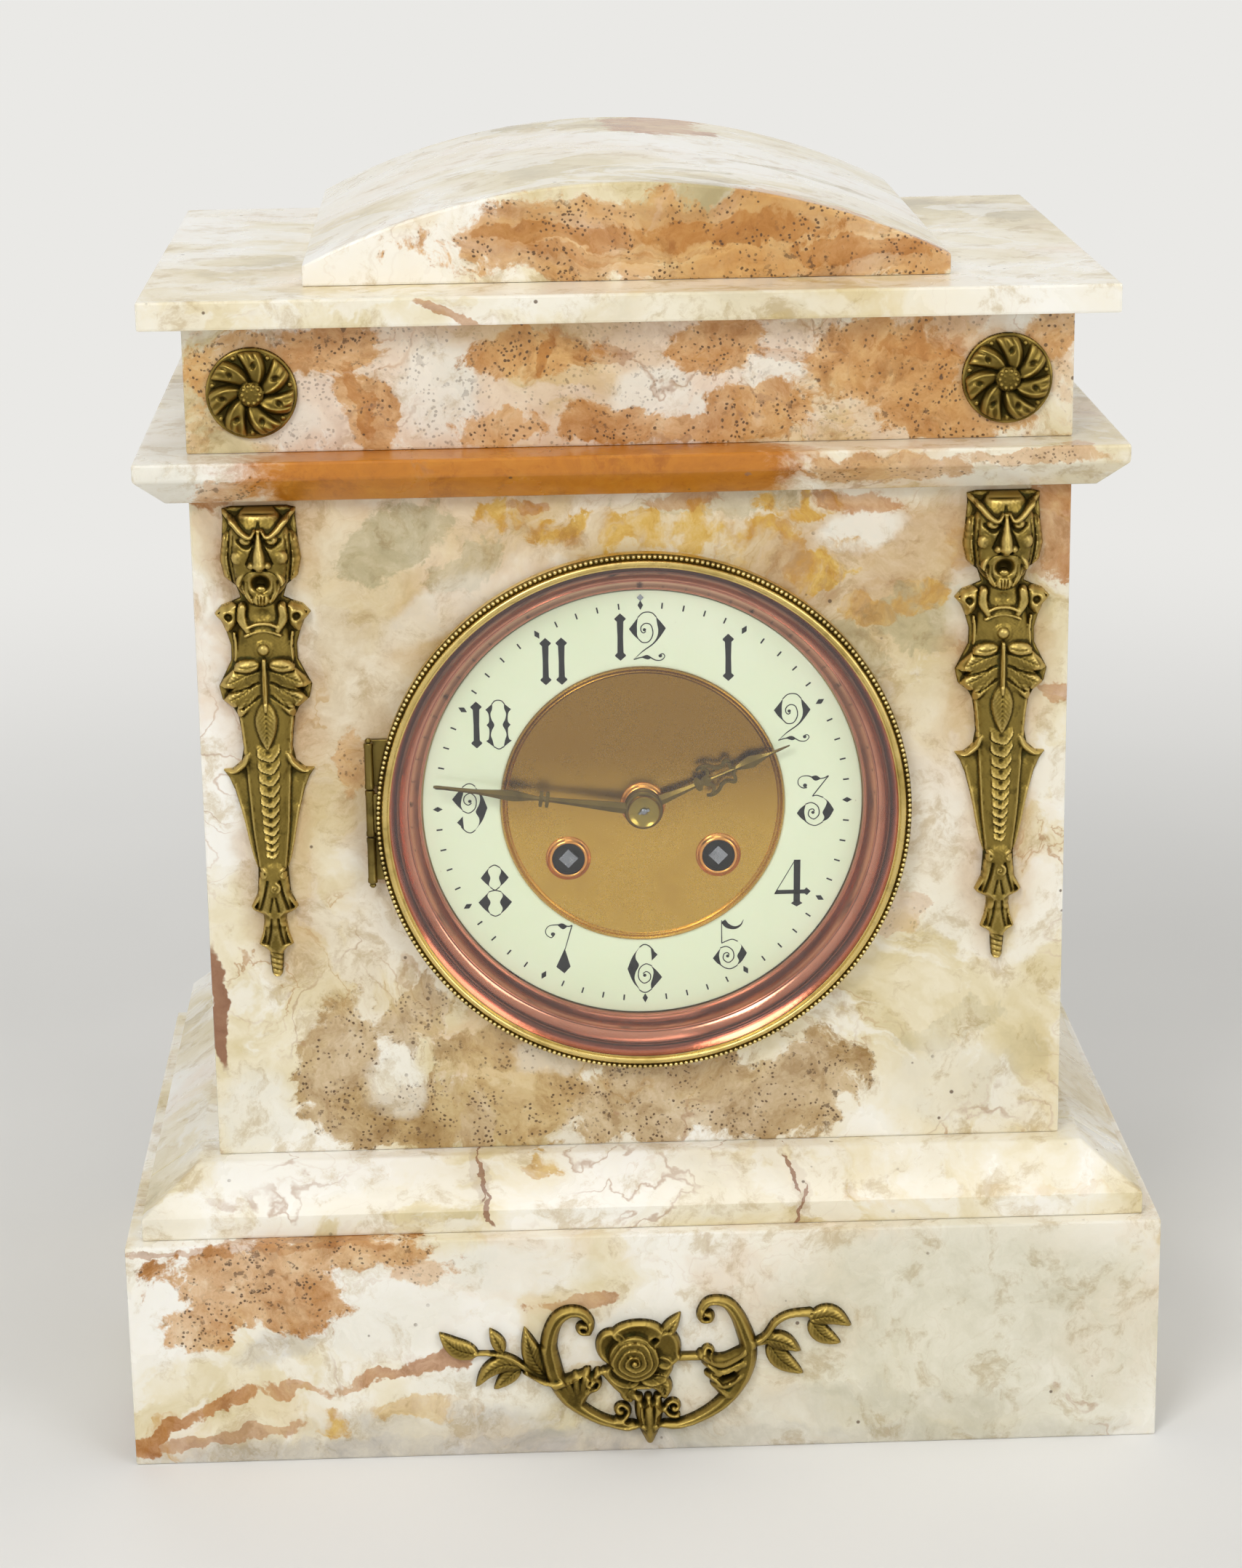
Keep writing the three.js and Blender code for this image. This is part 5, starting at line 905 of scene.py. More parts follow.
def bezel():
    """The gilt door ring: a smooth torus, a dark groove and a beaded rim."""
    f, b = BEZEL_FRONT, BEZEL_BACK
    ring = Build()
    torus = [(68.8 + 0.8 * math.cos(a), f + 0.85 - 0.85 * math.sin(a))
             for a in [math.radians(16 * i) for i in range(11)]]
    profile = [(71.15, b), (71.15, f + 2.1), (70.9, f + 1.7), (70.2, f + 1.5), (69.75, f + 1.75)] + torus
    profile += [(67.9, f + 1.2), (67.75, f + 1.1), (67.6, f + 1.5), (67.6, GLASS_FRONT + 0.1),
                (69.6, GLASS_FRONT + 0.1), (69.6, b)]
    ring.turned(profile, 224)
    made = ring.piece("bezel_gilt_ring", GILT, 40)
    settle(made, "bezel_door", "gilt_brass", "bezel_ring")
    trough = Build().turned([(71.12, f + 2.3), (71.12, f + 1.8), (70.9, f + 1.6), (70.2, f + 1.42),
                             (69.7, f + 1.5), (69.62, f + 1.2), (69.5, f + 1.2), (69.5, f + 2.3)], 224)
    settle(trough.piece("bezel_tarnished_groove", GROOVE, 40), "bezel_door", "gilt_brass")
    beads = Build()
    for i in range(BEADS):
        a = TURN * i / BEADS
        beads.ball(DIAL_X + BEAD_CIRCLE * math.cos(a), f + 1.12, DIAL_Z + BEAD_CIRCLE * math.sin(a),
                   BEAD_RADIUS, 5, 8)
    settle(beads.piece("bezel_beading", GILT_BEADS, 60), "bezel_door", "gilt_brass")


def hinge():
    """Hinge at the left of the bezel: three knuckles with rims, a pin with ball ends and two leaves."""
    x = low("bezel_ring", 0) + 1.3
    y = BEZEL_BACK - 2.2
    bottom = DIAL_Z + 2.2 - 19.5
    for i in range(3):
        part = Build()
        z0, z1 = bottom + 13 * i + 0.15, bottom + 13 * (i + 1) - 0.15
        part.upright(x, y,
                     [(1.05, z0), (1.3, z0 + 0.25), (1.3, z0 + 1.2), (1.18, z0 + 1.5), (1.18, z1 - 1.5),
                      (1.3, z1 - 1.2), (1.3, z1 - 0.25), (1.05, z1)])
        if i == 1:
            part.block((x, y - 0.7, z0 + 1), (x + 3.0, y + 0.9, z1 - 1), 0.2)
            settle(part.piece("bezel_hinge_knuckle", HINGE), "bezel_door", "gilt_brass")
        else:
            part.block((x - 1.1, y, z0 + 0.2), (x + 1.1, BODY_FACE, z1 - 0.2), 0.2)
            part.block((x, BODY_FACE - 1.9, z0), (x + 5, BODY_FACE, z1), 0.2)
            settle(part.piece("case_hinge_knuckle_%d" % i, HINGE), "case", "gilt_brass")
    pin = Build().upright(x, y,
                          [(0.55, bottom + 39 - 0.1), (0.8, bottom + 39.1), (0.9, bottom + 39.6),
                           (0.5, bottom + 40.1)], 16)
    pin.upright(x, y, [(0.5, bottom - 1.1), (0.9, bottom - 0.6), (0.8, bottom - 0.1), (0.55, bottom + 0.1)],
                16)
    settle(pin.piece("hinge_pin_ends", HINGE), "case", "gilt_brass")


def straps(ring, outer, y0, y1):
    """Two straps from a ring inwards to the tie screws."""
    for side in (-1, 1):
        near, far = sorted((side * (SCREW_OFFSET - 4) + DIAL_X, side * outer + DIAL_X))
        ring.block((near, y0, DIAL_Z - 5), (far, y1, DIAL_Z + 5), 0.4)


def case_ring():
    face = BODY_FACE
    tube_back = high("case_ring", 1)
    ring = Build().turned([(66.0, face - 2), (70.0, face - 2), (70.2, face - 1.8), (70.2, face),
                           (67.2, face), (67.2, tube_back), (66.0, tube_back), (66.0, DIAL_FACE + 3.9),
                           (62.0, DIAL_FACE + 3.9), (62.0, DIAL_FACE + 2.4), (66.0, DIAL_FACE + 2.4)], 160)
    straps(ring, 66.5, tube_back - 2.5, tube_back)
    settle(ring.piece("case_ring_gilt", GILT, 40), "case", "gilt_brass", "case_ring")


def glass():
    f = GLASS_FRONT
    b = GLASS_BACK
    pane = Build().turned([(0, f), (62.4, f), (62.9, f + 0.05), (68.6, f + 1.0), (69.2, f + 1.2), (69.2, b),
                           (0, b)], 160)
    settle(pane.piece("bezel_glass_pane", GLASS, 20), "bezel_door", "crystal", "bezel_glass")


def reflector():
    """The copper ring between glass and dial: a cavetto, two beads and an ogee down to the dial."""
    front = low("rehaut", 1)
    end = high("rehaut", 1)
    deep = end - front
    line = [(69.2, 0.0), (68.9, 0.02), (67.8, 0.09), (66.7, 0.17), (66.25, 0.21), (65.95, 0.18),
            (65.65, 0.18), (65.45, 0.22), (64.7, 0.32), (63.7, 0.42), (63.0, 0.47), (62.75, 0.45),
            (62.5, 0.45), (62.25, 0.49), (61.7, 0.60), (61.1, 0.70), (60.4, 0.80), (59.95, 0.86),
            (59.8, 0.90), (59.6, 0.90), (59.4, 0.93), (59.2, 1.0)]
    fine = smooth_path(line, 4)
    profile = [(r, front + deep * d) for r, d in fine]
    profile += [(59.9, end), (60.6, front + deep * 0.86), (62.8, front + deep * 0.64),
                (63.6, front + deep * 0.45), (65.4, front + deep * 0.34), (67.0, front + deep * 0.22),
                (69.2, front + deep * 0.12)]
    ring = Build().turned(profile, 224)
    settle(ring.piece("copper_reflector", COPPER, 50), "bezel_door", "copper", "rehaut")


def dial():
    f = DIAL_FACE
    ring = Build().turned([(38.2, f + 0.15), (38.5, f + 0.02), (39.2, f - 0.06), (46, f - 0.14),
                           (55, f - 0.1), (58.5, f + 0.0), (58.9, f + 0.2), (58.9, f + 1.2),
                           (38.2, f + 1.2)], 192)
    settle(ring.piece("enamel_chapter_ring", ENAMEL, 40), "case", "enamel", "chapter_ring")
    disc = Build()
    rim = [(36.2, f + 0.3), (36.4, f + 0.1), (36.5, f - 0.35), (36.75, f - 0.55), (37.0, f - 0.4),
           (37.15, f - 0.25), (37.3, f - 0.45), (37.6, f - 0.72), (37.95, f - 0.6), (38.15, f - 0.2),
           (38.15, f + 1.2), (0, f + 1.2)]
    disc.turned([(0, f + 0.42), (18, f + 0.39), (30, f + 0.34)] + rim, 192)
    made = disc.piece("gilt_centre_disc", CENTRE, 40)
    for node, _ in COLLARS:
        x, z = middle(node)
        bore(made, Build().turned([(0, f - 3), (4.6, f - 3), (4.6, f + 3), (0, f + 3)], 48, x, z))
    settle(made, "case", "gilt_brass", "dial_centre")


def bore(piece, cutter):
    """Takes the cutter's volume out of a piece."""
    knife = cutter.piece("cutter", PAINTED_SHADE_BLACK)
    change = piece.modifiers.new("bore", "BOOLEAN")
    change.operation = "DIFFERENCE"
    change.solver = "EXACT"
    change.object = knife
    baked(piece)
    piece.data.set_sharp_from_angle(angle=math.radians(30))
    bpy.data.objects.remove(knife)


COLLARS = [("grommet_right", "collar_right"), ("grommet_left", "collar_left"),
           ("grommet_centre", "collar_centre")]


def collars():
    """Dished copper-gilt collars, with black wells of painted shade round the winding squares."""
    f = DIAL_FACE
    for node, name in COLLARS:
        x, z = middle(node)
        ring = Build().turned([(4.3, f + 0.5), (4.3, f - 0.45), (4.4, f - 0.72), (4.65, f - 0.85),
                               (4.9, f - 0.8), (5.15, f - 0.6), (5.4, f - 0.3), (5.65, f - 0.08),
                               (5.9, f + 0.06), (6.1, f + 0.28), (6.1, f + 0.5)], 72, x, z)
        settle(ring.piece(name, COLLAR, 60), "case", "copper", node)
        if node != "grommet_centre":
            # A black sleeve and a disc close each winding hole. This is painted shade in place of the dark
            # inside of the case.
            well = Build().turned([(4.32, f + 0.3), (4.32, f + 1.1), (4.55, f + 1.1), (4.55, f + 0.3)], 48,
                                  x, z)
            well.turned([(4.5, f + 1.1), (0, f + 1.1), (0, f + 1.2), (4.5, f + 1.2)], 48, x, z)
            settle(well.piece(name + "_painted_shade_well", PAINTED_SHADE_BLACK, 50), "case", "copper")


bezel()
hinge()
case_ring()
glass()
reflector()
dial()
collars()


# Reliefs: height fields over the stone face, cut out along their own edges


def polyline_field(X, Z, points):
    """Distance to a path and share of its length, at each place of a grid, and its whole length."""
    pts = np.array(points, float)
    lengths = np.hypot(*(pts[1:] - pts[:-1]).T)
    total = lengths.sum()
    best = np.full(X.shape, 1e9)
    share = np.zeros(X.shape)
    done = 0.0
    for (ax, az), (bx, bz), length in zip(pts[:-1], pts[1:], lengths):
        dx, dz = (bx - ax) / length, (bz - az) / length
        t = np.clip((X - ax) * dx + (Z - az) * dz, 0, length)
        ex, ez = X - ax - t * dx, Z - az - t * dz
        d = np.hypot(ex, ez)
        near = d < best
        best = np.where(near, d, best)
        share = np.where(near, (done + t) / total, share)
        done += length
    return best, share, total


def polygon_field(X, Z, points):
    """Distance inside a polygon, negative outside it."""
    pts = np.array(points, float)
    best = np.full(X.shape, 1e9)
    inside = np.zeros(X.shape, bool)
    for (ax, az), (bx, bz) in zip(pts, np.roll(pts, -1, axis=0)):
        dx, dz = bx - ax, bz - az
        t = np.clip(((X - ax) * dx + (Z - az) * dz) / (dx * dx + dz * dz + 1e-12), 0, 1)
        best = np.minimum(best, np.hypot(X - ax - t * dx, Z - az - t * dz))
        if az != bz:
            crosses = (az > Z) != (bz > Z)
            inside ^= crosses & (X < ax + (Z - az) * dx / (bz - az))
    return np.where(inside, best, -best)


def blurred(field, reach):
    """A box blur run twice, which is near a Gaussian."""
    for _ in range(2):
        for axis in (0, 1):
            pad = [(0, 0), (0, 0)]
            pad[axis] = (reach + 1, reach)
            total = np.cumsum(np.pad(field, pad, mode="edge"), axis=axis)
            size = field.shape[axis]
            ahead = np.take(total, np.arange(2 * reach + 1, 2 * reach + 1 + size), axis=axis)
            field = (ahead - np.take(total, np.arange(size), axis=axis)) / (2 * reach + 1)
    return field


def bulge(q, power=0.5):
    """The height of a rounded form at a share q of its half width."""
    return np.clip(1 - q * q, 0, 1) ** power


class Relief:
    """Rounded forms in millimetres on a flat ground. Local axes: x to the right, z up."""

    EDGE = 0.55

    def __init__(self, x0, x1, z0, z1, pitch=0.25):
        self.pitch = pitch
        self.xs = np.arange(x0, x1 + pitch, pitch)
        self.zs = np.arange(z0, z1 + pitch, pitch)
        self.X, self.Z = np.meshgrid(self.xs, self.zs)
        self.mask = np.full(self.X.shape, -5.0)
        self.height = np.full(self.X.shape, 0.0)

    def join(self, inside, rise, soft=0.3, adds=True):
        rise = np.where(inside > 0, rise, rise * 0 - 4)
        if soft:
            share = np.clip(0.5 + 0.5 * (rise - self.height) / soft, 0, 1)
            self.height = self.height * (1 - share) + rise * share + soft * share * (1 - share)
        else:
            self.height = np.maximum(self.height, rise)
        if adds:
            self.mask = np.maximum(self.mask, inside)
        return self

    def local(self, x, z, wide, tall, turn):
        """Places along the two half axes of a turned ellipse, as shares of them."""
        a = math.radians(turn)
        u = ((self.X - x) * math.cos(a) + (self.Z - z) * math.sin(a)) / wide
        v = (-(self.X - x) * math.sin(a) + (self.Z - z) * math.cos(a)) / tall
        return u, v

    def dome(self, x, z, wide, tall, top, lift=0.0, turn=0.0, power=0.5, soft=0.3, adds=True):
        q = np.hypot(*self.local(x, z, wide, tall, turn))
        rise = self.EDGE + lift + top * bulge(q, power)
        return self.join((1 - q) * min(wide, tall), rise, soft, adds)

    def ridge(self, points, wide, top, lift=0.0, power=0.5, soft=0.3, per=6, groove=0.0, adds=True):
        """A rounded bar along a path. wide and top may be lists that run along it."""
        path = route(points, per)
        d, t, _ = polyline_field(self.X, self.Z, path)
        half = self.along(wide, t)
        q = d / half
        rise = self.EDGE + self.along(lift, t) + self.along(top, t) * bulge(q, power)
        if groove:
            rise = rise - groove * np.exp(-((q / 0.42) ** 2))
        return self.join(half - d, rise, soft, adds)

    @staticmethod
    def along(value, t):
        if isinstance(value, (int, float)):
            return np.full(t.shape, float(value))
        return np.interp(t, np.linspace(0, 1, len(value)), value)

    def leaf(self, points, wide, top=1.0, lift=0.6, veins=1.3, belly=0.75, soft=0.15, fold=0.35):
        """A pointed leaf along a path, with a midrib groove and side veins."""
        d, t, length = polyline_field(self.X, self.Z, route(points))
        half = wide * np.sin(np.pi * np.clip(t, 0, 1) ** belly) ** 0.8 + 0.28 * (1 - t)
        q = np.clip(d / np.maximum(half, 0.05), 0, 1.5)
        rise = self.EDGE + lift + top * bulge(q) * (0.55 + 0.45 * np.sin(np.pi * t))
        rise = rise - fold * np.exp(-((d / 0.28) ** 2))
        rise = rise + 0.11 * np.cos((t * length - d * 1.1) * TURN / veins) * np.clip(1 - q, 0, 1)
        return self.join(half - d, rise, soft)

    def plate(self, points, top, bevel):
        """A flat form inside a polygon, rounded over the width of the bevel."""
        inside = polygon_field(self.X, self.Z, points)
        rise = self.EDGE + top * (1 - (1 - np.clip(inside / bevel, 0, 1)) ** 2) ** 0.5
        return self.join(inside, rise)

    def cut(self, points, wide, depth):
        """A groove along a path."""
        d, t, _ = polyline_field(self.X, self.Z, route(points))
        self.height -= self.along(depth, t) * np.exp(-((d / self.along(wide, t)) ** 2))
        return self

    def press(self, x, z, wide, tall, depth, turn=0.0):
        u, v = self.local(x, z, wide, tall, turn)
        self.height -= depth * np.exp(-((u * u + v * v) ** 1.5))
        return self

    def volute(self, x, z, radius, turns, start, hand, wide, top, lift=0.0):
        """A spiral scroll, thinning towards its eye, which is a small ball."""
        steps = int(14 * turns)
        points = []
        for i in range(steps + 1):
            share = i / steps
            a = math.radians(start) + hand * TURN * turns * share
            r = radius * (1 - 0.82 * share)
            points.append((x + r * math.cos(a), z + r * math.sin(a)))
        self.ridge(points, [wide, wide * 0.8, wide * 0.6], [top * 0.8, top, top * 1.1], lift, per=2,
                   soft=0.12)
        return self.dome(x, z, wide * 0.75, wide * 0.75, top * 0.9, lift + top * 0.35, soft=0.1)

    def carved(self, inside, highest):
        """Heights with the edges rolled over, and how far each place stands out of its surroundings."""
        height = np.clip(self.height, 0.3, highest)
        depth, core = inside.astype(float), inside
        for _ in range(7):
            around = [np.roll(core, step, axis) for axis in (0, 1) for step in (1, -1)]
            core = core & around[0] & around[1] & around[2] & around[3]
            depth += core
        rolled = self.EDGE + 0.3 + 2.2 * np.sqrt(np.maximum(blurred(depth, 1) - 0.8, 0) * self.pitch)
        height = np.where(inside & (depth < 8), np.minimum(height, rolled), height)
        wear = height - blurred(np.where(inside, height, 0.2), max(2, int(0.9 / self.pitch)))
        return height, np.clip(0.5 + wear / 1.3, 0, 1)

    def front(self, inside, height):
        """Places and faces of the carved front, cut along the mask's edge, and the edges of its rim."""
        count = int(inside.sum())
        index = -np.ones(inside.shape, int)
        index[inside] = np.arange(count)
        cross = {}
        extra = []

        def crossing(a, b):
            """The cut between two neighbouring grid places, one of them inside."""
            key = (a, b) if a < b else (b, a)
            if key not in cross:
                ma, mb = self.mask[key[0]], self.mask[key[1]]
                t = min(max(ma / (ma - mb), 0.02), 0.98)
                inner = key[0] if ma > 0 else key[1]
                extra.append((self.X[key[0]] * (1 - t) + self.X[key[1]] * t,
                              self.Z[key[0]] * (1 - t) + self.Z[key[1]] * t,
                              min(height[inner], self.EDGE + 0.25)))
                cross[key] = count + len(extra) - 1
            return cross[key]

        near = (inside[:-1, :-1], inside[1:, :-1], inside[:-1, 1:], inside[1:, 1:])
        full = near[0] & near[1] & near[2] & near[3]
        some = (near[0] | near[1] | near[2] | near[3]) & ~full
        r, c = np.nonzero(full)
        squares = [index[r, c], index[r, c + 1], index[r + 1, c + 1], index[r + 1, c]]
        faces = np.stack(squares, axis=1).tolist()
        rim = []
        for r, c in zip(*np.nonzero(some)):
            corners = [(r, c), (r, c + 1), (r + 1, c + 1), (r + 1, c)]
            loop = []
            for a, b in zip(corners, corners[1:] + corners[:1]):
                if inside[a]:
                    loop.append(("in", index[a]))
                if inside[a] != inside[b]:
                    loop.append(("cut", crossing(a, b)))
            faces.append([i for _, i in loop])
            for (kind, a), (other, b) in zip(loop, loop[1:] + loop[:1]):
                if kind == other == "cut":
                    rim.append((a, b))
        extra = np.array(extra)
        places = [np.concatenate([grid[inside], extra[:, k]])
                  for k, grid in enumerate((self.X, self.Z, height))]
        return places, faces, rim

    def piece(self, name, at, face, highest, keep=0.45, material=ANTIQUE):
        """The closed mesh: the carved front, its edge wall, and a flat back on the stone at y = face."""
        inside = self.mask > 0
        height, wear = self.carved(inside, highest)
        (x, z, h), faces, rim = self.front(inside, height)
        total = len(x)
        front = np.stack([x + at[0], face - h, z + at[1]], axis=1) * MM
        back = np.stack([x + at[0], np.full(total, face), z + at[1]], axis=1) * MM
        every = [tuple(f) for f in faces] + [tuple(total + i for i in f[::-1]) for f in faces]
        every += [(b, a, total + a, total + b) for a, b in rim]
        mesh = bpy.data.meshes.new(name)
        mesh.from_pydata(np.concatenate([front, back]).tolist(), [], every)
        made = linked(name, mesh)
        made.modifiers.new("thin", "DECIMATE").ratio = keep
        baked(made)
        bpy.data.meshes.remove(mesh)
        self.store_wear(made.data, wear, at)
        made.data.materials.append(material)
        smooth(made.data, 60)
        outwards(made)
        return made

    def store_wear(self, mesh, wear, at):
        """Writes the wear of the nearest grid place to each vertex, for the metal's colours."""
        places = np.empty(len(mesh.vertices) * 3)
        mesh.vertices.foreach_get("co", places)
        places = places.reshape(-1, 3) / MM
        rows, cols = wear.shape
        col = np.clip(((places[:, 0] - at[0] - self.xs[0]) / self.pitch).round().astype(int), 0, cols - 1)
        row = np.clip(((places[:, 2] - at[1] - self.zs[0]) / self.pitch).round().astype(int), 0, rows - 1)
        values = wear[row, col].astype(np.float32)
        mesh.attributes.new("wear", "FLOAT", "POINT").data.foreach_set("value", values)


# Half widths of the term and their distances below its crown
TERM_EDGE = [(7.2, 0), (9.6, 0.6), (9.4, 3), (9.9, 9), (10.6, 14), (9.6, 18.5), (6.6, 21), (5.6, 24.2),
             (7.8, 25.2), (10.6, 26.2), (12.6, 28.4), (10.9, 30.4), (9.6, 33.5), (8.6, 37), (8.7, 41),
             (10.4, 44.5), (12.2, 48), (11.4, 51.6), (8.6, 54), (7.5, 56.2), (6.9, 60), (6.5, 65),
             (7.2, 68.6), (9.6, 70.6), (12.1, 70.8), (10.6, 73), (9.2, 76.5), (7.9, 81.5), (6.9, 86),
             (6.1, 90.5), (5.0, 95.5), (4.0, 98.4), (4.1, 101), (4.5, 105.5), (6.3, 109.2), (5.2, 110.3),
             (3.2, 111.2), (3.0, 113), (3.5, 116.5), (4.6, 119.8), (3.2, 120.4), (1.9, 121.6), (1.7, 125),
             (1.4, 128), (0.6, 129)]


def term_shaft(r):
    """The shaft and the torso."""
    r.ridge([(0, -25), (0, -36), (0, -60)], [4.5, 6.6, 8.1, 8.3, 7.2, 6.6], [3.2, 3.6, 3.8, 3.6], soft=0.6,
            per=4)
    r.ridge([(0, -56), (0, -76), (0, -98)], [6.9, 6.3, 5.8, 5.2, 4.7, 3.7], [3.5, 3.2, 2.9, 2.6], soft=0.5,
            per=4)
    for s in (-1, 1):
        r.ridge([(s * 6.6, -56), (s * 5.9, -65), (s * 5.1, -76), (s * 4.4, -87), (s * 3.1, -98)], 0.55, 0.9,
                0.9, soft=0.2)
        r.ridge([(s * 8.9, -75), (s * 7.3, -82), (s * 5.9, -90), (s * 4.2, -98)], 0.5, 0.55, 0.4, soft=0.2)
        r.ridge([(s * 4.9, -66.5), (s * 6.6, -69.2), (s * 9, -70.9), (s * 12.0, -70.7)],
                [0.9, 1.0, 0.85, 0.3], 1.3, 1.2)
        r.cut([(s * 6.2, -71.5), (s * 8.3, -75), (s * 7, -80)], 1.3, 0.45)
        r.ridge([(s * 7.6, -33.5), (s * 7.2, -37), (s * 7.4, -41)], 0.4, 0.5, 1.6, soft=0.2)


def term_head(r):
    """The horned grotesque mask."""
    r.dome(0, -12.2, 8.6, 13.2, 5.6, 1.2, power=0.45, soft=0.8)
    for s in (-1, 1):
        r.dome(s * 8.0, -13, 2.9, 7.2, 3.0, 0.6, turn=s * 6)
        for k in range(4):
            r.cut([(s * (6.7 + k), -7.2), (s * (7.1 + k * 1.05), -13), (s * (6.5 + k * 0.8), -19)], 0.22, 0.5)
        r.ridge([(s * 9.3, -1.0), (s * 6.6, -3.4), (s * 4.2, -6.0), (s * 2.1, -7.0), (s * 0.9, -5.2)],
                [0.55, 0.8, 0.85, 0.75, 0.4], 1.6, [2.0, 4.6, 5.6, 6.4, 6.4], soft=0.25)
        r.cut([(s * 1.2, -8.4), (s * 3.2, -9.7), (s * 5.4, -8.2)], 0.5, 1.0)
        r.dome(s * 3.15, -7.9, 1.75, 1.35, 1.5, 5.6, soft=0.15)
        r.press(s * 3.1, -8.0, 0.45, 0.4, 0.5)
        r.dome(s * 5.0, -12.6, 2.3, 2.2, 1.9, 4.7, turn=-s * 20)
        r.ridge([(s * 0.8, -16.2), (s * 3.2, -16.4), (s * 5.2, -18.4), (s * 5.9, -21)],
                [1.1, 1.2, 0.9, 0.5], 1.4, 4.6)
        r.cut([(s * 1.4, -16), (s * 3.6, -16.9), (s * 5.3, -19.6)], 0.22, 0.4)
        r.ridge([(s * 4.2, -18.5), (s * 3.9, -21.5), (s * 2.4, -24.6)], [1.1, 1.3, 0.8], 1.3, 3.2)
        r.cut([(s * 4.4, -19), (s * 4.2, -22), (s * 2.7, -25)], 0.22, 0.4)
        r.cut([(s * 3.4, -19), (s * 3.1, -22), (s * 1.8, -25)], 0.2, 0.35)
    r.ridge([(0, -5.4), (0, -9.5), (0, -14.2)], [0.7, 1.0, 1.7, 2.1], [2.2, 3.2, 4.2], 5.6, soft=0.3)
    for s in (-1, 1):
        r.dome(s * 1.9, -14.4, 1.25, 1.1, 1.6, 6.6, soft=0.3)
        r.press(s * 1.3, -15.5, 0.6, 0.45, 1.4)
        r.cut([(s * 1.2, -9.5), (s * 3.2, -14.2)], 0.35, 0.7)
    r.cut([(0, -3.5), (0, -5.6)], 0.4, 0.6)
    r.press(0, -19.6, 2.2, 2.0, 4.2)
    r.dome(0, -21.4, 1.4, 1.0, 1.0, 3.3, soft=0.2)
    r.dome(0, -24.0, 2.3, 1.9, 1.5, 4.0, soft=0.3)
    for k in (-1, 0, 1):
        r.cut([(k * 0.9, -23.2), (k * 0.7, -26)], 0.2, 0.5)


def term_collar(r):
    """Collar and shoulders."""
    for s in (-1, 1):
        r.dome(s * 9.0, -29.3, 2.7, 4.2, 2.6, 1.1, turn=s * 24)
        r.ridge([(s * 5.2, -26.3), (s * 5.4, -29.4), (s * 3.9, -32.6)], [1.1, 1.3, 0.8], 1.1, 3.0)
        r.ridge([(s * 7.2, -26.2), (s * 10.4, -26.3), (s * 12.2, -28.4), (s * 10.4, -31)], 0.6, 0.8, 2.2)
        r.press(s * 8.9, -29.0, 1.0, 1.0, 1.9)
    r.ridge([(-4.2, -31.9), (-2.2, -31.0), (0, -30.7), (2.2, -31.0), (4.2, -31.9)], 0.55, 0.9, 3.3)
    r.ridge([(-4.6, -34.0), (-2.2, -33.1), (0, -32.8), (2.2, -33.1), (4.6, -34.0)], 0.4, 0.5, 3.3)
    r.press(0, -28.2, 2.0, 1.4, 0.8)
    r.dome(0, -37.6, 2.6, 2.5, 0.5, 3.5, soft=0.1)
    r.dome(0, -37.6, 1.65, 1.65, 1.5, 3.6, soft=0.1)


def term_acanthus(r):
    """Acanthus leaves over the shaft."""
    for s in (-1, 1):
        r.leaf([(s * 0.6, -47), (s * 4.6, -51.6), (s * 7.6, -56.4)], 2.3, 1.4, 2.5)
        r.leaf([(s * 0.8, -44.5), (s * 5.4, -49.4), (s * 11.2, -52.2)], 3.1, 1.6, 2.3)
        r.leaf([(s * 0.9, -41.5), (s * 6.2, -45.2), (s * 12.0, -47.6)], 2.9, 1.5, 2.6)
        r.dome(s * 4.4, -42.2, 3.6, 2.1, 2.0, 3.3, turn=-s * 12, soft=0.15)
        r.cut([(s * 1.2, -43.0), (s * 4.2, -43.9), (s * 7.6, -43.6)], 0.35, 0.7)
        r.cut([(s * 2.0, -41.8), (s * 4.6, -42.3), (s * 7.2, -42.0)], 0.2, 0.3)
        r.cut([(s * 1.6, -46.6), (s * 5.4, -48.3), (s * 9.6, -49.4)], 0.3, 0.7)
        r.cut([(s * 1.4, -50.2), (s * 4.8, -53), (s * 7.8, -54.2)], 0.3, 0.6)
        r.dome(s * 8.6, -52.6, 1.2, 0.9, 0.9, 2.6)
    r.ridge([(0, -40.4), (0, -47), (0, -54)], [0.55, 0.8, 0.6], 1.2, 4.2, soft=0.2)
    r.leaf([(0, -51.5), (0, -57), (0, -65)], 2.7, 1.5, 3.7, belly=0.8)
    r.cut([(0, -40), (0, -52)], 0.2, 0.5)


def term_spine(r):
    """The scaled spine."""
    down = 65.0
    for k in range(11):
        size = 1 - 0.045 * k
        half, tall = 3.1 * size, 3.0 * size
        u = r.X / half
        v = (-r.Z - down) / tall
        q = np.hypot(u, np.where(v > 0, v, v * 0.45))
        scallop = 1 + 0.06 * np.cos(5 * np.arctan2(v, u))
        rise = r.EDGE + 3.5 - 0.075 * k * 1.1 + 0.95 * np.clip(v, -1, 1) + 0.25 * np.clip(1 - q * q, 0, 1)
        r.join(np.where(q < scallop, 1.0, -1.0), rise, 0, adds=False)
        r.press(0, -(down + tall * 0.25), 0.75 * size, 0.6 * size, 0.5)
        down += 3.55 * size


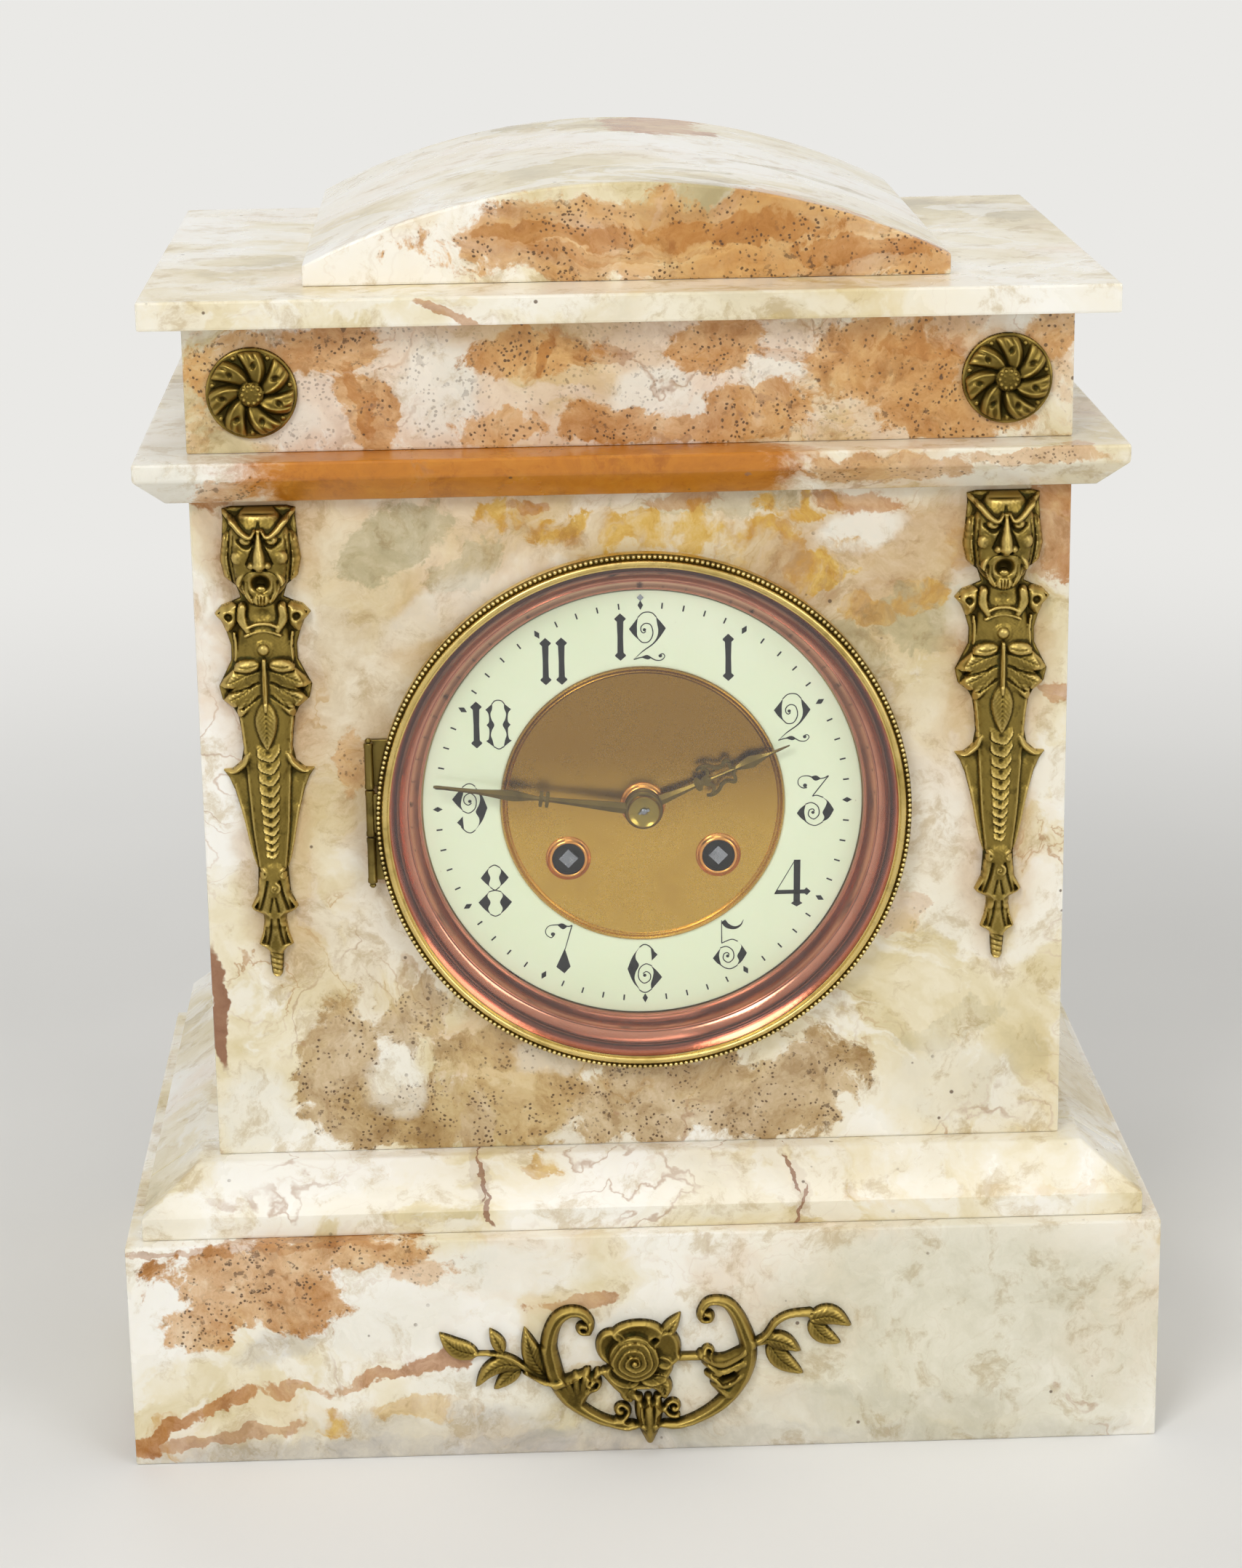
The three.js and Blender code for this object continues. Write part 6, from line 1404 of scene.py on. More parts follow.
def term_foot(r):
    """The leafy foot."""
    r.ridge([(0, -98.6), (0, -104), (0, -110.6)], [3.4, 4.2, 4.9], [2.6, 3.3, 3.0], 0.6, soft=0.3)
    for s in (-1, 1):
        r.volute(s * 2.7, -99.6, 1.25, 1.1, 90, s, 0.6, 0.9, 2.4)
        r.ridge([(s * 3.4, -101), (s * 4.2, -106), (s * 6.2, -109.4)], [0.5, 0.65, 0.4], 0.8, 1.3)
        r.cut([(s * 1.6, -101.5), (s * 2.6, -106), (s * 3.9, -110)], 0.35, 0.8)
        r.cut([(s * 0.4, -106), (s * 1.2, -110)], 0.3, 0.6)
        r.ridge([(s * 6.0, -109.3), (s * 3.4, -110.3), (s * 0.3, -110.9)], 0.5, 0.7, 2.1)
    r.volute(0.3, -103.4, 1.5, 1.2, 70, -1, 0.45, 0.7, 3.3)
    r.ridge([(0, -111.5), (0, -116), (0, -120)], [2.4, 2.8, 3.1], [1.9, 2.3, 2.2], 0.4, soft=0.3)
    for s in (-1, 1):
        r.cut([(s * 0.9, -112), (s * 1.3, -116), (s * 2.2, -119.8)], 0.3, 0.7)
        r.ridge([(s * 4.4, -119.7), (s * 2.2, -120.0), (0, -120.4)], 0.45, 0.6, 1.4)
        r.ridge([(s * 2.7, -112), (s * 3.2, -116.5), (s * 4.4, -119.6)], 0.4, 0.5, 0.9)
    r.ridge([(0, -120.5), (0, -125), (0, -128.4)], [1.7, 1.6, 1.2], [1.6, 1.5, 1.2], 0.3, soft=0.2)
    for k in range(5):
        r.cut([(-1.7, -121.6 - 1.5 * k), (1.7, -122.6 - 1.5 * k)], 0.25, 0.4)


def term_relief():
    """A horned grotesque mask over a shaft with acanthus, ears, a scaled spine and a leafy foot."""
    r = Relief(-14, 14, -130, 0.3, 0.24)
    edge = [(w, -d) for w, d in TERM_EDGE] + [(-w, -d) for w, d in TERM_EDGE[::-1]]
    r.plate(edge, 0.75, 0.9)
    r.mask = np.minimum(r.mask, -r.Z)
    shape = r.mask.copy()
    for part in (term_shaft, term_head, term_collar, term_acanthus, term_spine, term_foot):
        part(r)
    r.height += 0.05 * np.sin(r.X * 5.1 + np.sin(r.Z * 2.3) * 2) * np.sin(r.Z * 4.3)
    r.mask = np.minimum(shape, r.mask)
    return r


def place_terms():
    for side in ("left", "right"):
        node = "term_" + side
        crown = (middle(node)[0], high(node, 2))
        made = term_relief().piece(node + "_mask", crown, BODY_FACE, BODY_FACE - low(node, 1))
        settle(made, "case", "mount_brass", node)


def rosette_relief():
    """Seven swirling shells round a grained button, a pearl in each gap, inside a thin rim."""
    r = Relief(-12.2, 12.2, -12.2, 12.2, 0.16)
    away = np.hypot(r.X, r.Z)
    angle = np.arctan2(r.Z, r.X)
    r.join(11.8 - away, r.EDGE + 0.7 + 0.9 * np.sqrt(np.clip(1 - (away / 11.8) ** 2, 0, 1)), 0)
    rim = np.abs(away - 11.2)
    r.join(np.where(rim < 0.6, 0.6 - rim, -1),
           r.EDGE + 0.9 * np.sqrt(np.clip(1 - (rim / 0.6) ** 2, 0, 1)) + 0.1, 0.1, False)
    for k in range(7):
        a = TURN * (k + 0.3) / 7
        twist = a + 0.055 * (away - 3)
        turned = (angle - twist + math.pi) % TURN - math.pi
        along = (away - 2.6) / 8.2
        across = turned * away
        half = 0.9 + 3.9 * np.clip(along, 0, 1) ** 0.75 * np.clip(1.15 - along, 0, 1) ** 0.25
        q = np.abs(across) / half
        body = bulge(q) * np.clip(along * (1.04 - along) * 4, 0, 1) ** 0.4
        ribs = 0.2 * np.cos(across / half * 9) * np.clip(along - 0.35, 0, 0.5) * 2
        rise = r.EDGE + 0.9 + 2.4 * body + ribs + 0.5 * np.exp(-(((across + half * 0.45) / 0.45) ** 2)) * body
        inside = np.where((along > 0) & (along < 1.02) & (q < 1), 1.0, -1.0)
        r.join(inside, rise, 0.12, False)
        r.press(7.6 * math.cos(a + 0.3), 7.6 * math.sin(a + 0.3), 1.0, 0.7, 0.8, math.degrees(a))
        b = a + math.pi / 7 + 0.4
        r.dome(10.1 * math.cos(b), 10.1 * math.sin(b), 0.85, 0.85, 1.0, 0.7, soft=0.05, adds=False)
    r.dome(0, 0, 3.3, 3.3, 1.1, 2.4, power=0.5, soft=0.1, adds=False)
    grains = [(0, 0)] + [(1.15 * math.cos(TURN * k / 5), 1.15 * math.sin(TURN * k / 5)) for k in range(5)]
    grains += [(2.25 * math.cos(TURN * k / 10), 2.25 * math.sin(TURN * k / 10)) for k in range(10)]
    for gx, gz in grains:
        r.dome(gx, gz, 0.55, 0.55, 0.55, 3.0, soft=0.05, adds=False)
    return r


def place_rosettes():
    for side in ("left", "right"):
        node = "rosette_" + side
        made = rosette_relief().piece(node + "_flower", middle(node), BODY_FACE, BODY_FACE - low(node, 1),
                                      material=ANTIQUE_DEEP)
        settle(made, "case", "mount_brass", node)


def rose_scrolls(r):
    """The two C-scrolls."""
    c_left = [(-15.8, 35.9), (-15.3, 39.0), (-17.5, 41.7), (-21.0, 42.1), (-24.0, 40.3), (-25.8, 36.7),
              (-26.6, 32.0), (-25.8, 27.2), (-24.3, 21.7), (-21.7, 17.1), (-17.7, 13.3), (-12.5, 10.1),
              (-7.3, 8.6), (-4.0, 8.3)]
    c_right = [(14.5, 39.9), (15.0, 42.0), (16.6, 43.9), (18.9, 44.3), (22.0, 43.3), (24.5, 39.9),
               (26.4, 35.1), (27.5, 30.8), (27.1, 25.6), (25.3, 20.9), (22.3, 16.5), (18.6, 12.9),
               (13.4, 9.8), (8.3, 8.2), (4.5, 8.2)]
    r.ridge(c_left, [1.0, 1.5, 2.0, 2.3, 2.5, 2.5, 2.2, 1.8, 1.6, 1.3], [2.0, 2.6, 3.0, 3.2, 3.0, 2.6, 2.6],
            0.5, power=0.4, groove=0.7)
    r.ridge(c_right, [1.0, 1.4, 1.9, 2.3, 2.5, 2.4, 2.2, 1.8, 1.5, 1.2],
            [2.0, 2.6, 3.0, 3.2, 3.0, 2.6, 2.6], 0.5, power=0.4, groove=0.7)
    r.volute(-17.2, 37.6, 2.3, 1.1, 20, -1, 0.95, 1.3, 1.8)
    r.volute(16.5, 40.1, 2.3, 1.1, 150, 1, 0.95, 1.3, 1.8)


def rose_branches(r):
    """The leafy branches on both sides."""
    r.ridge([(-46.6, 30.7), (-39.9, 30.2), (-36.2, 28.8), (-33.2, 26.4), (-26.6, 21.7)],
            [0.6, 0.75, 0.9, 1.1], 1.1, 0.9)
    r.leaf([(-45.8, 30.5), (-51.4, 32.4), (-56.2, 36.9)], 2.7, 1.3, 0.7)
    r.leaf([(-39.0, 30.9), (-40.6, 34.4), (-42.5, 37.8)], 1.8, 1.2, 0.8)
    r.leaf([(-34.3, 26.3), (-37.3, 24.0), (-41.7, 19.9)], 2.1, 1.2, 0.5)
    r.leaf([(-34.0, 26.6), (-38.8, 27.6), (-43.2, 25.4), (-46.6, 20.7)], 2.3, 1.4, 0.9)
    r.leaf([(-27.4, 23.4), (-30.9, 29.4), (-33.1, 37.9)], 2.8, 1.5, 0.9)
    r.ridge([(-33.2, 24.8), (-26.6, 21.5), (-21.4, 22.8), (-15.6, 25.4)], [0.7, 1.2, 1.0, 0.4], 1.2, 2.8)
    r.ridge([(27.0, 30.6), (32.0, 33.4), (34.9, 37.4), (38.6, 39.5), (44.2, 40.0)],
            [1.2, 0.95, 1.0, 1.1, 1.25], 1.3, 0.9)
    r.dome(44.0, 39.9, 1.6, 1.3, 0.8, 1.5)
    r.press(44.6, 40.0, 0.5, 0.5, 0.6)
    r.ridge([(27.6, 30.8), (33, 32)], 0.8, 1.0, 0.7)
    r.leaf([(44.4, 37.6), (47.5, 33.6), (52.7, 30.7)], 2.5, 1.3, 0.6)
    r.leaf([(44.2, 38.2), (49.7, 39.2), (55.6, 35.8)], 2.7, 1.5, 1.0)
    r.leaf([(33.1, 31.6), (36.4, 26.4), (42.5, 22.0)], 2.7, 1.3, 0.6)
    r.leaf([(32.0, 32.9), (37.1, 31.8), (41.9, 28.6)], 2.4, 1.5, 1.0)


def rose_shell(r):
    """A fan shell at the left and folds at the right."""
    for k, (fx, fz) in enumerate([(-24.2, 20.8), (-22.0, 22.4), (-19.4, 23.6), (-16.4, 24.6), (-13.4, 24.3)]):
        r.ridge([(-18.2, 14.6), ((fx - 18.2) / 2 - 0.3, (fz + 14.6) / 2), (fx, fz)], [0.8, 1.3, 1.2],
                [1.2, 1.8, 1.7], 1.2 + 0.12 * k, soft=0.1)
    r.volute(-15.2, 21.6, 2.9, 1.2, 240, 1, 0.85, 1.1, 2.6)
    for k, (a, b, c) in enumerate([((14.5, 29.2), (20.1, 26.9), (26.0, 29.6)),
                                   ((15.7, 26.4), (20.1, 23.9), (26.2, 26.4)),
                                   ((16.4, 23.0), (20.8, 20.4), (25.6, 22.9)),
                                   ((18.0, 20.1), (22.0, 17.2), (24.4, 20.1))]):
        r.ridge([a, b, c], [1.0, 1.7, 1.3], [1.2, 1.9, 1.5], 2.4 - 0.25 * k, soft=0.12)
    r.volute(16.2, 29.6, 1.5, 1.0, 0, 1, 0.7, 1.0, 2.4)


def rose_pendant(r):
    """The ribbed pendant and its volutes."""
    r.volute(-7.3, 12.7, 2.6, 1.3, 250, 1, 0.95, 1.3, 2.0)
    r.volute(7.1, 13.3, 2.7, 1.3, 290, -1, 0.95, 1.3, 2.0)
    r.ridge([(-9.6, 8.0), (-5.4, 7.4), (-1.5, 8.4)], [0.6, 1.0, 0.8], 1.3, 1.6)
    r.ridge([(12.4, 8.2), (7.6, 7.5), (2.4, 8.4)], [0.6, 1.0, 0.8], 1.3, 1.6)
    for dx in (-2.4, 2.6, 0.1):
        r.ridge([(0.1 + dx, 16.6), (0.2 + dx * 0.95, 12.5), (0.4 + dx * 0.6, 7.4), (0.5 + dx * 0.15, 3.2)],
                [1.1, 1.5, 1.3, 0.5], [1.6, 2.1, 1.8, 0.9], 1.6 + (0.5 if abs(dx) < 1 else 0), soft=0.12)
    r.ridge([(-2.6, 8.9), (0.4, 8.2), (3.2, 8.9)], 0.6, 0.7, 3.0)


def rose_stem(r):
    """Stem and leaves behind the rose."""
    r.ridge([(4.0, 28.0), (15.7, 28.0)], 1.2, 1.4, 0.8)
    r.ridge([(-11.5, 24.5), (-7.5, 19.5), (-3.6, 17)], 1.3, 1.5, 0.8)
    r.leaf([(4.2, 33.6), (6.8, 37.6), (9.3, 41.0)], 1.9, 1.4, 1.2)
    r.leaf([(1.5, 22.5), (4.4, 19.6), (4.6, 15.6)], 2.5, 1.2, 1.4)
    r.leaf([(-3.5, 21), (-5.6, 17.9), (-4.2, 14.8)], 2.0, 1.2, 1.2)


def rose_petals(r):
    """The petals, from the outside in, then the spiral heart."""
    for px, pz, wide, tall, turn, lift in ((-9.3, 31.6, 4.6, 5.4, 20, 1.5),
                                           (-6.6, 23.7, 5.0, 3.6, -32, 1.4), (2.4, 24.6, 5.2, 4.0, 38, 1.5),
                                           (5.4, 30.6, 3.9, 5.6, -6, 1.7), (-2.6, 36.0, 7.0, 3.2, 2, 1.7),
                                           (0.2, 21.4, 5.8, 2.6, 8, 1.2)):
        q = np.hypot(*r.local(px, pz, wide, tall, turn))
        rise = r.EDGE + lift + 1.5 * np.clip(q, 0, 1) ** 2.2 - 0.9 * np.clip((q - 0.9) / 0.1, 0, 1) ** 2
        r.join((1 - q) * min(wide, tall), rise, 0)
    away = np.hypot(r.X + 3.6, (r.Z - 28.6) * 1.05)
    angle = np.arctan2(r.Z - 28.6, r.X + 3.6)
    wobble = away * (1 + 0.035 * np.sin(3 * angle + 0.6) + 0.03 * np.sin(5 * angle))
    turns = wobble / 1.75 - angle / TURN
    layer = np.floor(turns)
    within = turns - layer
    bowl = 6.0 - 0.055 * away**2
    rise = bowl + 0.95 * within**1.6 - 1.1 * np.clip((within - 0.86) / 0.14, 0, 1) ** 1.5
    r.join(np.where(away < 7.4, 7.4 - away, -1), rise - 1.6 * np.clip((away - 6.6) / 0.8, 0, 1), 0.05)
    r.dome(-3.6, 28.6, 0.8, 0.7, 0.7, 6.0, soft=0.1)


def rose_relief():
    """A rose between two C-scrolls, with branches and a pendant. Axes are the frame's X and Z."""
    r = Relief(-58, 58, 1, 47, 0.22)
    for part in (rose_scrolls, rose_branches, rose_shell, rose_pendant, rose_stem, rose_petals):
        part(r)
    r.height += 0.04 * np.sin(r.X * 4.7 + np.sin(r.Z * 2.1) * 2) * np.sin(r.Z * 4.9)
    return r


def place_rose():
    made = rose_relief().piece("rose_swag", (0, 0), PLINTH_FACE, PLINTH_FACE - low("rose_mount", 1),
                               material=ANTIQUE_DEEP)
    settle(made, "case", "mount_brass", "rose_mount")


place_terms()
place_rosettes()
place_rose()


# Numerals, minute marks and hands


def ribbon(points, widths, per=6):
    """The outline of a stroke along a smooth path, with a width at each point."""
    path = [Vector(p) for p in route(points, per)]
    count = len(path)
    given = [widths] * 2 if isinstance(widths, (int, float)) else list(widths)
    left, right = [], []
    for i, p in enumerate(path):
        along = (path[min(i + 1, count - 1)] - path[max(i - 1, 0)]).normalized()
        share = i / (count - 1) * (len(given) - 1)
        k = min(int(share), len(given) - 2)
        half = (given[k] + (given[k + 1] - given[k]) * (share - k)) / 2
        side = Vector((-along.y, along.x)) * half
        left.append(tuple(p + side))
        right.append(tuple(p - side))
    return left + right[::-1]


def blob(x, y, radius, sides=16):
    return [(x + radius * math.cos(TURN * i / sides), y + radius * math.sin(TURN * i / sides))
            for i in range(sides)]


def rounded(points, per=4):
    """A closed outline smoothed between its listed points. A point given twice stays a corner."""
    out = []
    pts = [np.array(p, float) for p in points]
    count = len(pts)
    for i in range(count):
        a, b, c, d = pts[i - 1], pts[i], pts[(i + 1) % count], pts[(i + 2) % count]
        if np.allclose(b, c):
            continue
        if np.allclose(a, b):
            a = 2 * b - c
        if np.allclose(c, d):
            d = 2 * c - b
        for k in range(per):
            out.append(tuple(curve_point(a, b, c, d, k / per)))
    return out


def corner(*points):
    """Each listed point twice, so that rounded() keeps it sharp."""
    return [p for point in points for p in (point, point)]


HAIR = 0.27


def mirrored(outline):
    return [(-x, y) for x, y in outline]


def figure_one():
    half = [(0, 6.45), (1.42, 5.05), (1.3, 4.7), (0.82, 4.25), (0.7, 0), (0.76, -4.3), (1.32, -4.85),
            (1.36, -5.15), (0, -6.45)]
    return [half + [(-x, y) for x, y in half[-2:0:-1]]]


def figure_two():
    left = rounded(corner((-2.3, 5.3)) + [(-3.5, 3.6)] + corner((-4.6, 2.15)) + [(-3.5, 0.5)]
                   + corner((-1.9, -1.15)) + [(-2.55, 0.3), (-2.6, 1.7), (-2.6, 3.4)])
    right = rounded(corner((2.2, 5.3)) + [(3.5, 3.7)] + corner((4.6, 2.15))
                    + [(3.4, 0.2), (1.6, -2.05), (-1.2, -4.15)] + corner((-3.5, -6.2))
                    + [(-1.3, -3.9), (1.25, -1.9), (2.4, -0.1), (2.7, 1.7), (2.45, 3.4)])
    return [left, right, ribbon([(-2.4, 5.2), (-1.25, 6.35), (0, 6.65), (1.25, 6.35), (2.3, 5.2)], HAIR),
            ribbon([(-2.3, -0.6), (-1.2, -1.6), (0.4, -1.3), (1.35, 0.7), (0.9, 3.0), (-0.4, 3.6),
                    (-1.5, 2.8), (-1.6, 1.6), (-1.0, 1.0), (-0.4, 1.4)], HAIR),
            blob(-0.75, 1.85, 0.42), ribbon([(-3.5, -6.2), (-2.0, -5.75), (-0.6, -5.6)], HAIR),
            rounded(corner((-1.7, -5.6)) + [(-0.2, -5.05)] + corner((1.0, -5.75)) + [(0.0, -6.25)]),
            ribbon([(0.6, -5.7), (2.0, -6.5), (3.4, -6.5), (4.25, -5.6), (3.9, -4.85), (3.2, -4.9)],
                   [0.3, 0.2, 0.26]),
            blob(3.15, -5.35, 0.44)]


def bowl(right_tip, left_tip, top):
    """The lower bowl that the 3 and the 5 share: two bold flanks, hairlines and a spiral with a dot."""
    rx, ry = right_tip
    lx, ly = left_tip
    return [rounded(corner((1.7, 1.0)) + [(rx - 1.4, ry + 2.3)] + corner((rx, ry)) + [(rx - 1.3, ry - 2.3)]
                    + corner((1.7, -6.1)) + [(2.3, -4.8), (1.85, -3.4), (2.5, -2.0), (2.9, -0.4)]),
            rounded(corner((-2.4, -1.0)) + [(lx + 0.9, ly + 1.3)] + corner((lx, ly))
                    + [(lx + 1.1, ly - 1.4)] + corner((-2.2, -6.1)) + [(-2.6, -4.6), (-2.8, -2.9)]),
            ribbon([top, (0.4, 1.4), (2.0, 0.8)], [HAIR, HAIR, 0.3]),
            ribbon([(1.9, -6.1), (0.2, -7.0), (-1.3, -6.7), (-2.6, -5.7)], HAIR),
            ribbon([(-2.5, -1.0), (-0.9, -0.6), (0.7, -1.8), (0.9, -4.0), (-0.4, -5.2), (-1.7, -4.2),
                    (-1.5, -2.7), (-0.6, -2.4), (-0.2, -3.0)], HAIR),
            blob(-0.6, -3.35, 0.42)]


def figure_three():
    return bowl((4.75, -2.7), (-4.7, -3.5), (-0.75, 1.2)) + [
        ribbon([(-2.1, 3.6), (-3.3, 3.6), (-4.3, 4.6), (-4.25, 6.0), (-3.3, 6.8), (-1.9, 6.9), (-0.6, 6.4)],
               [0.3, 0.22, 0.2, 0.35]),
        blob(-2.6, 4.25, 0.52),
        rounded(corner((-1.2, 6.6)) + [(0.2, 6.95)] + corner((1.5, 6.05)) + [(0.0, 5.5)]),
        ribbon([(1.3, 6.05), (2.4, 6.3), (3.35, 6.85)], HAIR),
        ribbon([(3.35, 6.8), (-0.75, 1.2)], [HAIR, HAIR])]


def figure_four():
    return [[(0.4, 6.6), (2.1, 6.6), (1.95, -5.2), (2.6, -5.7), (1.1, -6.65), (-0.35, -5.7), (0.3, -5.2)],
            [(-4.65, -3.0), (-3.9, -1.85), (3.1, -1.9), (3.6, -1.3), (4.7, -2.4), (3.7, -3.5), (3.1, -3.0)],
            ribbon([(0.7, 6.5), (-4.4, -2.7)], [0.2, 0.2])]


def figure_five():
    return bowl((4.35, -2.6), (-4.4, -3.9), (-2.1, 0.4)) + [
        ribbon([(-1.7, 6.7), (-0.6, 5.3), (1.2, 4.7), (2.7, 5.4), (3.5, 6.9)], [1.3, 1.3, 0.8, 0.4, 0.1]),
        ribbon([(-2.1, 6.9), (-2.1, 0.3)], [0.18, HAIR])]


def figure_seven():
    return [ribbon([(-1.0, 4.3), (-1.9, 3.2), (-3.1, 4.0), (-3.35, 5.3), (-2.5, 6.5), (-0.7, 6.8),
                    (0.4, 6.7)],
                   [0.3, 0.2, 0.2, 0.3]),
            blob(-1.5, 4.15, 0.52),
            rounded(corner((-0.4, 6.8)) + [(0.9, 7.15)] + corner((2.3, 6.3)) + [(1.05, 5.5)]),
            ribbon([(2.1, 6.3), (2.8, 6.3), (3.45, 6.55)], HAIR),
            ribbon([(3.4, 6.5), (1.45, -0.5)], [HAIR, 0.2]),
            [(1.45, 0.0), (2.85, -5.2), (1.25, -7.1), (-0.8, -5.2)]]


def figure_eight():
    upper = rounded(corner((-1.35, 6.5)) + [(-2.3, 5.3)] + corner((-3.55, 3.6)) + [(-2.4, 2.2)]
                    + corner((-1.1, 0.95)) + [(-1.5, 1.9), (-1.1, 3.6), (-1.65, 5.3)])
    lower = rounded(corner((-1.5, -0.3)) + [(-2.7, -1.6)] + corner((-4.25, -3.3)) + [(-2.8, -5.2)]
                    + corner((-1.2, -6.75)) + [(-1.85, -5.1), (-1.2, -3.3), (-1.95, -1.6)])
    return [upper, mirrored(upper), lower, mirrored(lower),
            ribbon([(-1.4, 6.45), (0, 7.2), (1.4, 6.45)], HAIR),
            ribbon([(-1.2, 1.0), (0, 0.15), (1.2, 1.0)], HAIR),
            ribbon([(-1.6, -0.35), (0, 0.05), (1.6, -0.35)], HAIR),
            ribbon([(-1.3, -6.7), (0, -7.25), (1.3, -6.7)], HAIR)]


def figure_nine():
    left = rounded(corner((-1.6, 6.2)) + [(-3.1, 4.4)] + corner((-4.4, 2.7)) + [(-3.1, 0.9)]
                   + corner((-1.6, -0.7)) + [(-2.2, 0.9), (-2.0, 2.7), (-1.5, 4.6)])
    right = rounded(corner((1.3, 6.3)) + [(3.1, 3.8)] + corner((4.45, 0.1)) + [(3.1, -3.4)]
                    + corner((1.2, -6.1)) + [(2.2, -4.4), (2.3, -2.7), (1.5, -0.9), (2.4, 1.2), (2.6, 3.4)])
    return [left, right, ribbon([(-1.7, 6.1), (-0.5, 6.9), (0.5, 6.9), (1.5, 6.2)], HAIR),
            ribbon([(1.3, -6.0), (0.2, -6.75), (-1.0, -6.4), (-2.3, -5.0)], HAIR),
            rounded(corner((-3.3, -3.8), (-1.8, -2.1)) + [(-1.75, -3.6)] + corner((-1.6, -5.6))),
            ribbon([(-1.8, -0.6), (-0.2, -1.2), (1.4, 0.2), (1.6, 2.8), (0.3, 4.3), (-1.2, 3.5),
                    (-1.4, 1.9), (-0.4, 1.0), (0.5, 1.6)], HAIR),
            blob(0.05, 2.05, 0.44)]


def figure_six():
    return [[(-x, -y) for x, y in shape] for shape in figure_nine()]


def figure_nought():
    flank = rounded(corner((-1.5, 5.7), (-3.2, 4.15)) + [(-2.5, 3.1), (-2.35, 0.9)] + corner((-3.0, -0.1))
                    + [(-2.35, -1.2), (-2.5, -3.8)] + corner((-3.2, -4.5), (-1.2, -6.2))
                    + [(-1.55, -4.4), (-1.95, -3.0), (-1.7, -1.6), (-1.05, -0.1), (-1.7, 1.4), (-1.95, 3.0),
                       (-1.5, 4.4)])
    return [flank, mirrored(flank),
            ribbon([(-1.6, 5.6), (-0.9, 6.45), (0, 6.7), (0.9, 6.45), (1.6, 5.6)], HAIR),
            ribbon([(-1.3, -6.1), (0, -6.75), (1.3, -6.1)], HAIR)]


HOUR_CIRCLE = 46.35
MINUTE_CIRCLE = 54.9
FIGURE_WIDTH = 1.06


def numerals():
    """Hours in upright figures round the enamel, a diamond at each hour and a dash at each minute."""
    ink = Build()
    top = DIAL_FACE - 0.175
    base = DIAL_FACE + 0.3
    single = (figure_one, figure_two, figure_three, figure_four, figure_five, figure_six, figure_seven,
              figure_eight, figure_nine)
    figures = {hour: [(0, draw)] for hour, draw in enumerate(single, 1)}
    figures[10] = [(-3.65, figure_one), (1.9, figure_nought)]
    figures[11] = [(-2.0, figure_one), (2.0, figure_one)]
    figures[12] = [(-5.1, figure_one), (1.7, figure_two)]
    for hour, parts in figures.items():
        a = TURN * hour / 12
        x, z = DIAL_X + HOUR_CIRCLE * math.sin(a), DIAL_Z + HOUR_CIRCLE * math.cos(a)
        for shift, draw in parts:
            for shape in draw():
                ink.slab([(x + FIGURE_WIDTH * (shift + px), z + pz) for px, pz in shape], top, base)
    for minute in range(60):
        a = TURN * minute / 60
        sx, sz = math.sin(a), math.cos(a)
        if minute % 5:
            mark = [(-0.2, -0.8), (0.2, -0.8), (0.2, 0.8), (-0.2, 0.8)]
        else:
            mark = [(0, -1.3), (0.72, 0), (0, 1.3), (-0.72, 0)]
        ink.slab([(DIAL_X + (MINUTE_CIRCLE + v) * sx + u * sz, DIAL_Z + (MINUTE_CIRCLE + v) * sz - u * sx)
                  for u, v in mark], top, base)
    settle(ink.piece("numerals_and_marks", INK, 40), "case", "enamel")


def hand_frame(angle):
    """Turns (along the hand, across it) into the frame's X and Z, about the dial's centre."""
    a = math.radians(angle)
    return lambda u, v: (DIAL_X + u * math.sin(a) + v * math.cos(a),
                         DIAL_Z + u * math.cos(a) - v * math.sin(a))


def ridged(build, place, stations, y_front, y_back, edge=0.45):
    """A bar of changing width with a raised middle line: stations of (along, half width[, shift])."""
    verts, faces = [], []
    for u, half, *shift in stations:
        s = shift[0] if shift else 0.0
        crown = min(1.0, 0.35 + half / 1.4)
        for v, y in ((-half, y_back), (-half, y_front + edge), (0, y_front + edge * (1 - crown)),
                     (half, y_front + edge), (half, y_back)):
            x, z = place(u, s + v)
            verts.append((x, y, z))
    for i in range(len(stations) - 1):
        for k in range(5):
            m = (k + 1) % 5
            faces.append((5 * i + k, 5 * i + m, 5 * i + 5 + m, 5 * i + 5 + k))
    last = 5 * (len(stations) - 1)
    faces.append(tuple(range(5)))
    faces.append(tuple(last + k for k in range(4, -1, -1)))
    build.add(verts, faces)


def hand_boss(build, outer, inner, y_front, y_back):
    """A dished boss with a rounded rim."""
    build.turned([(inner, y_back), (inner, y_front + 0.5), (inner + 0.2, y_front + 0.35),
                  (outer - 1.5, y_front + 0.3), (outer - 1.15, y_front + 0.12), (outer - 0.75, y_front),
                  (outer - 0.35, y_front + 0.1), (outer, y_front + 0.45), (outer, y_back)], 64)


# Angles of the hands at rest, clockwise from XII
MINUTE_ANGLE = 278
HOUR_ANGLE = 67.5


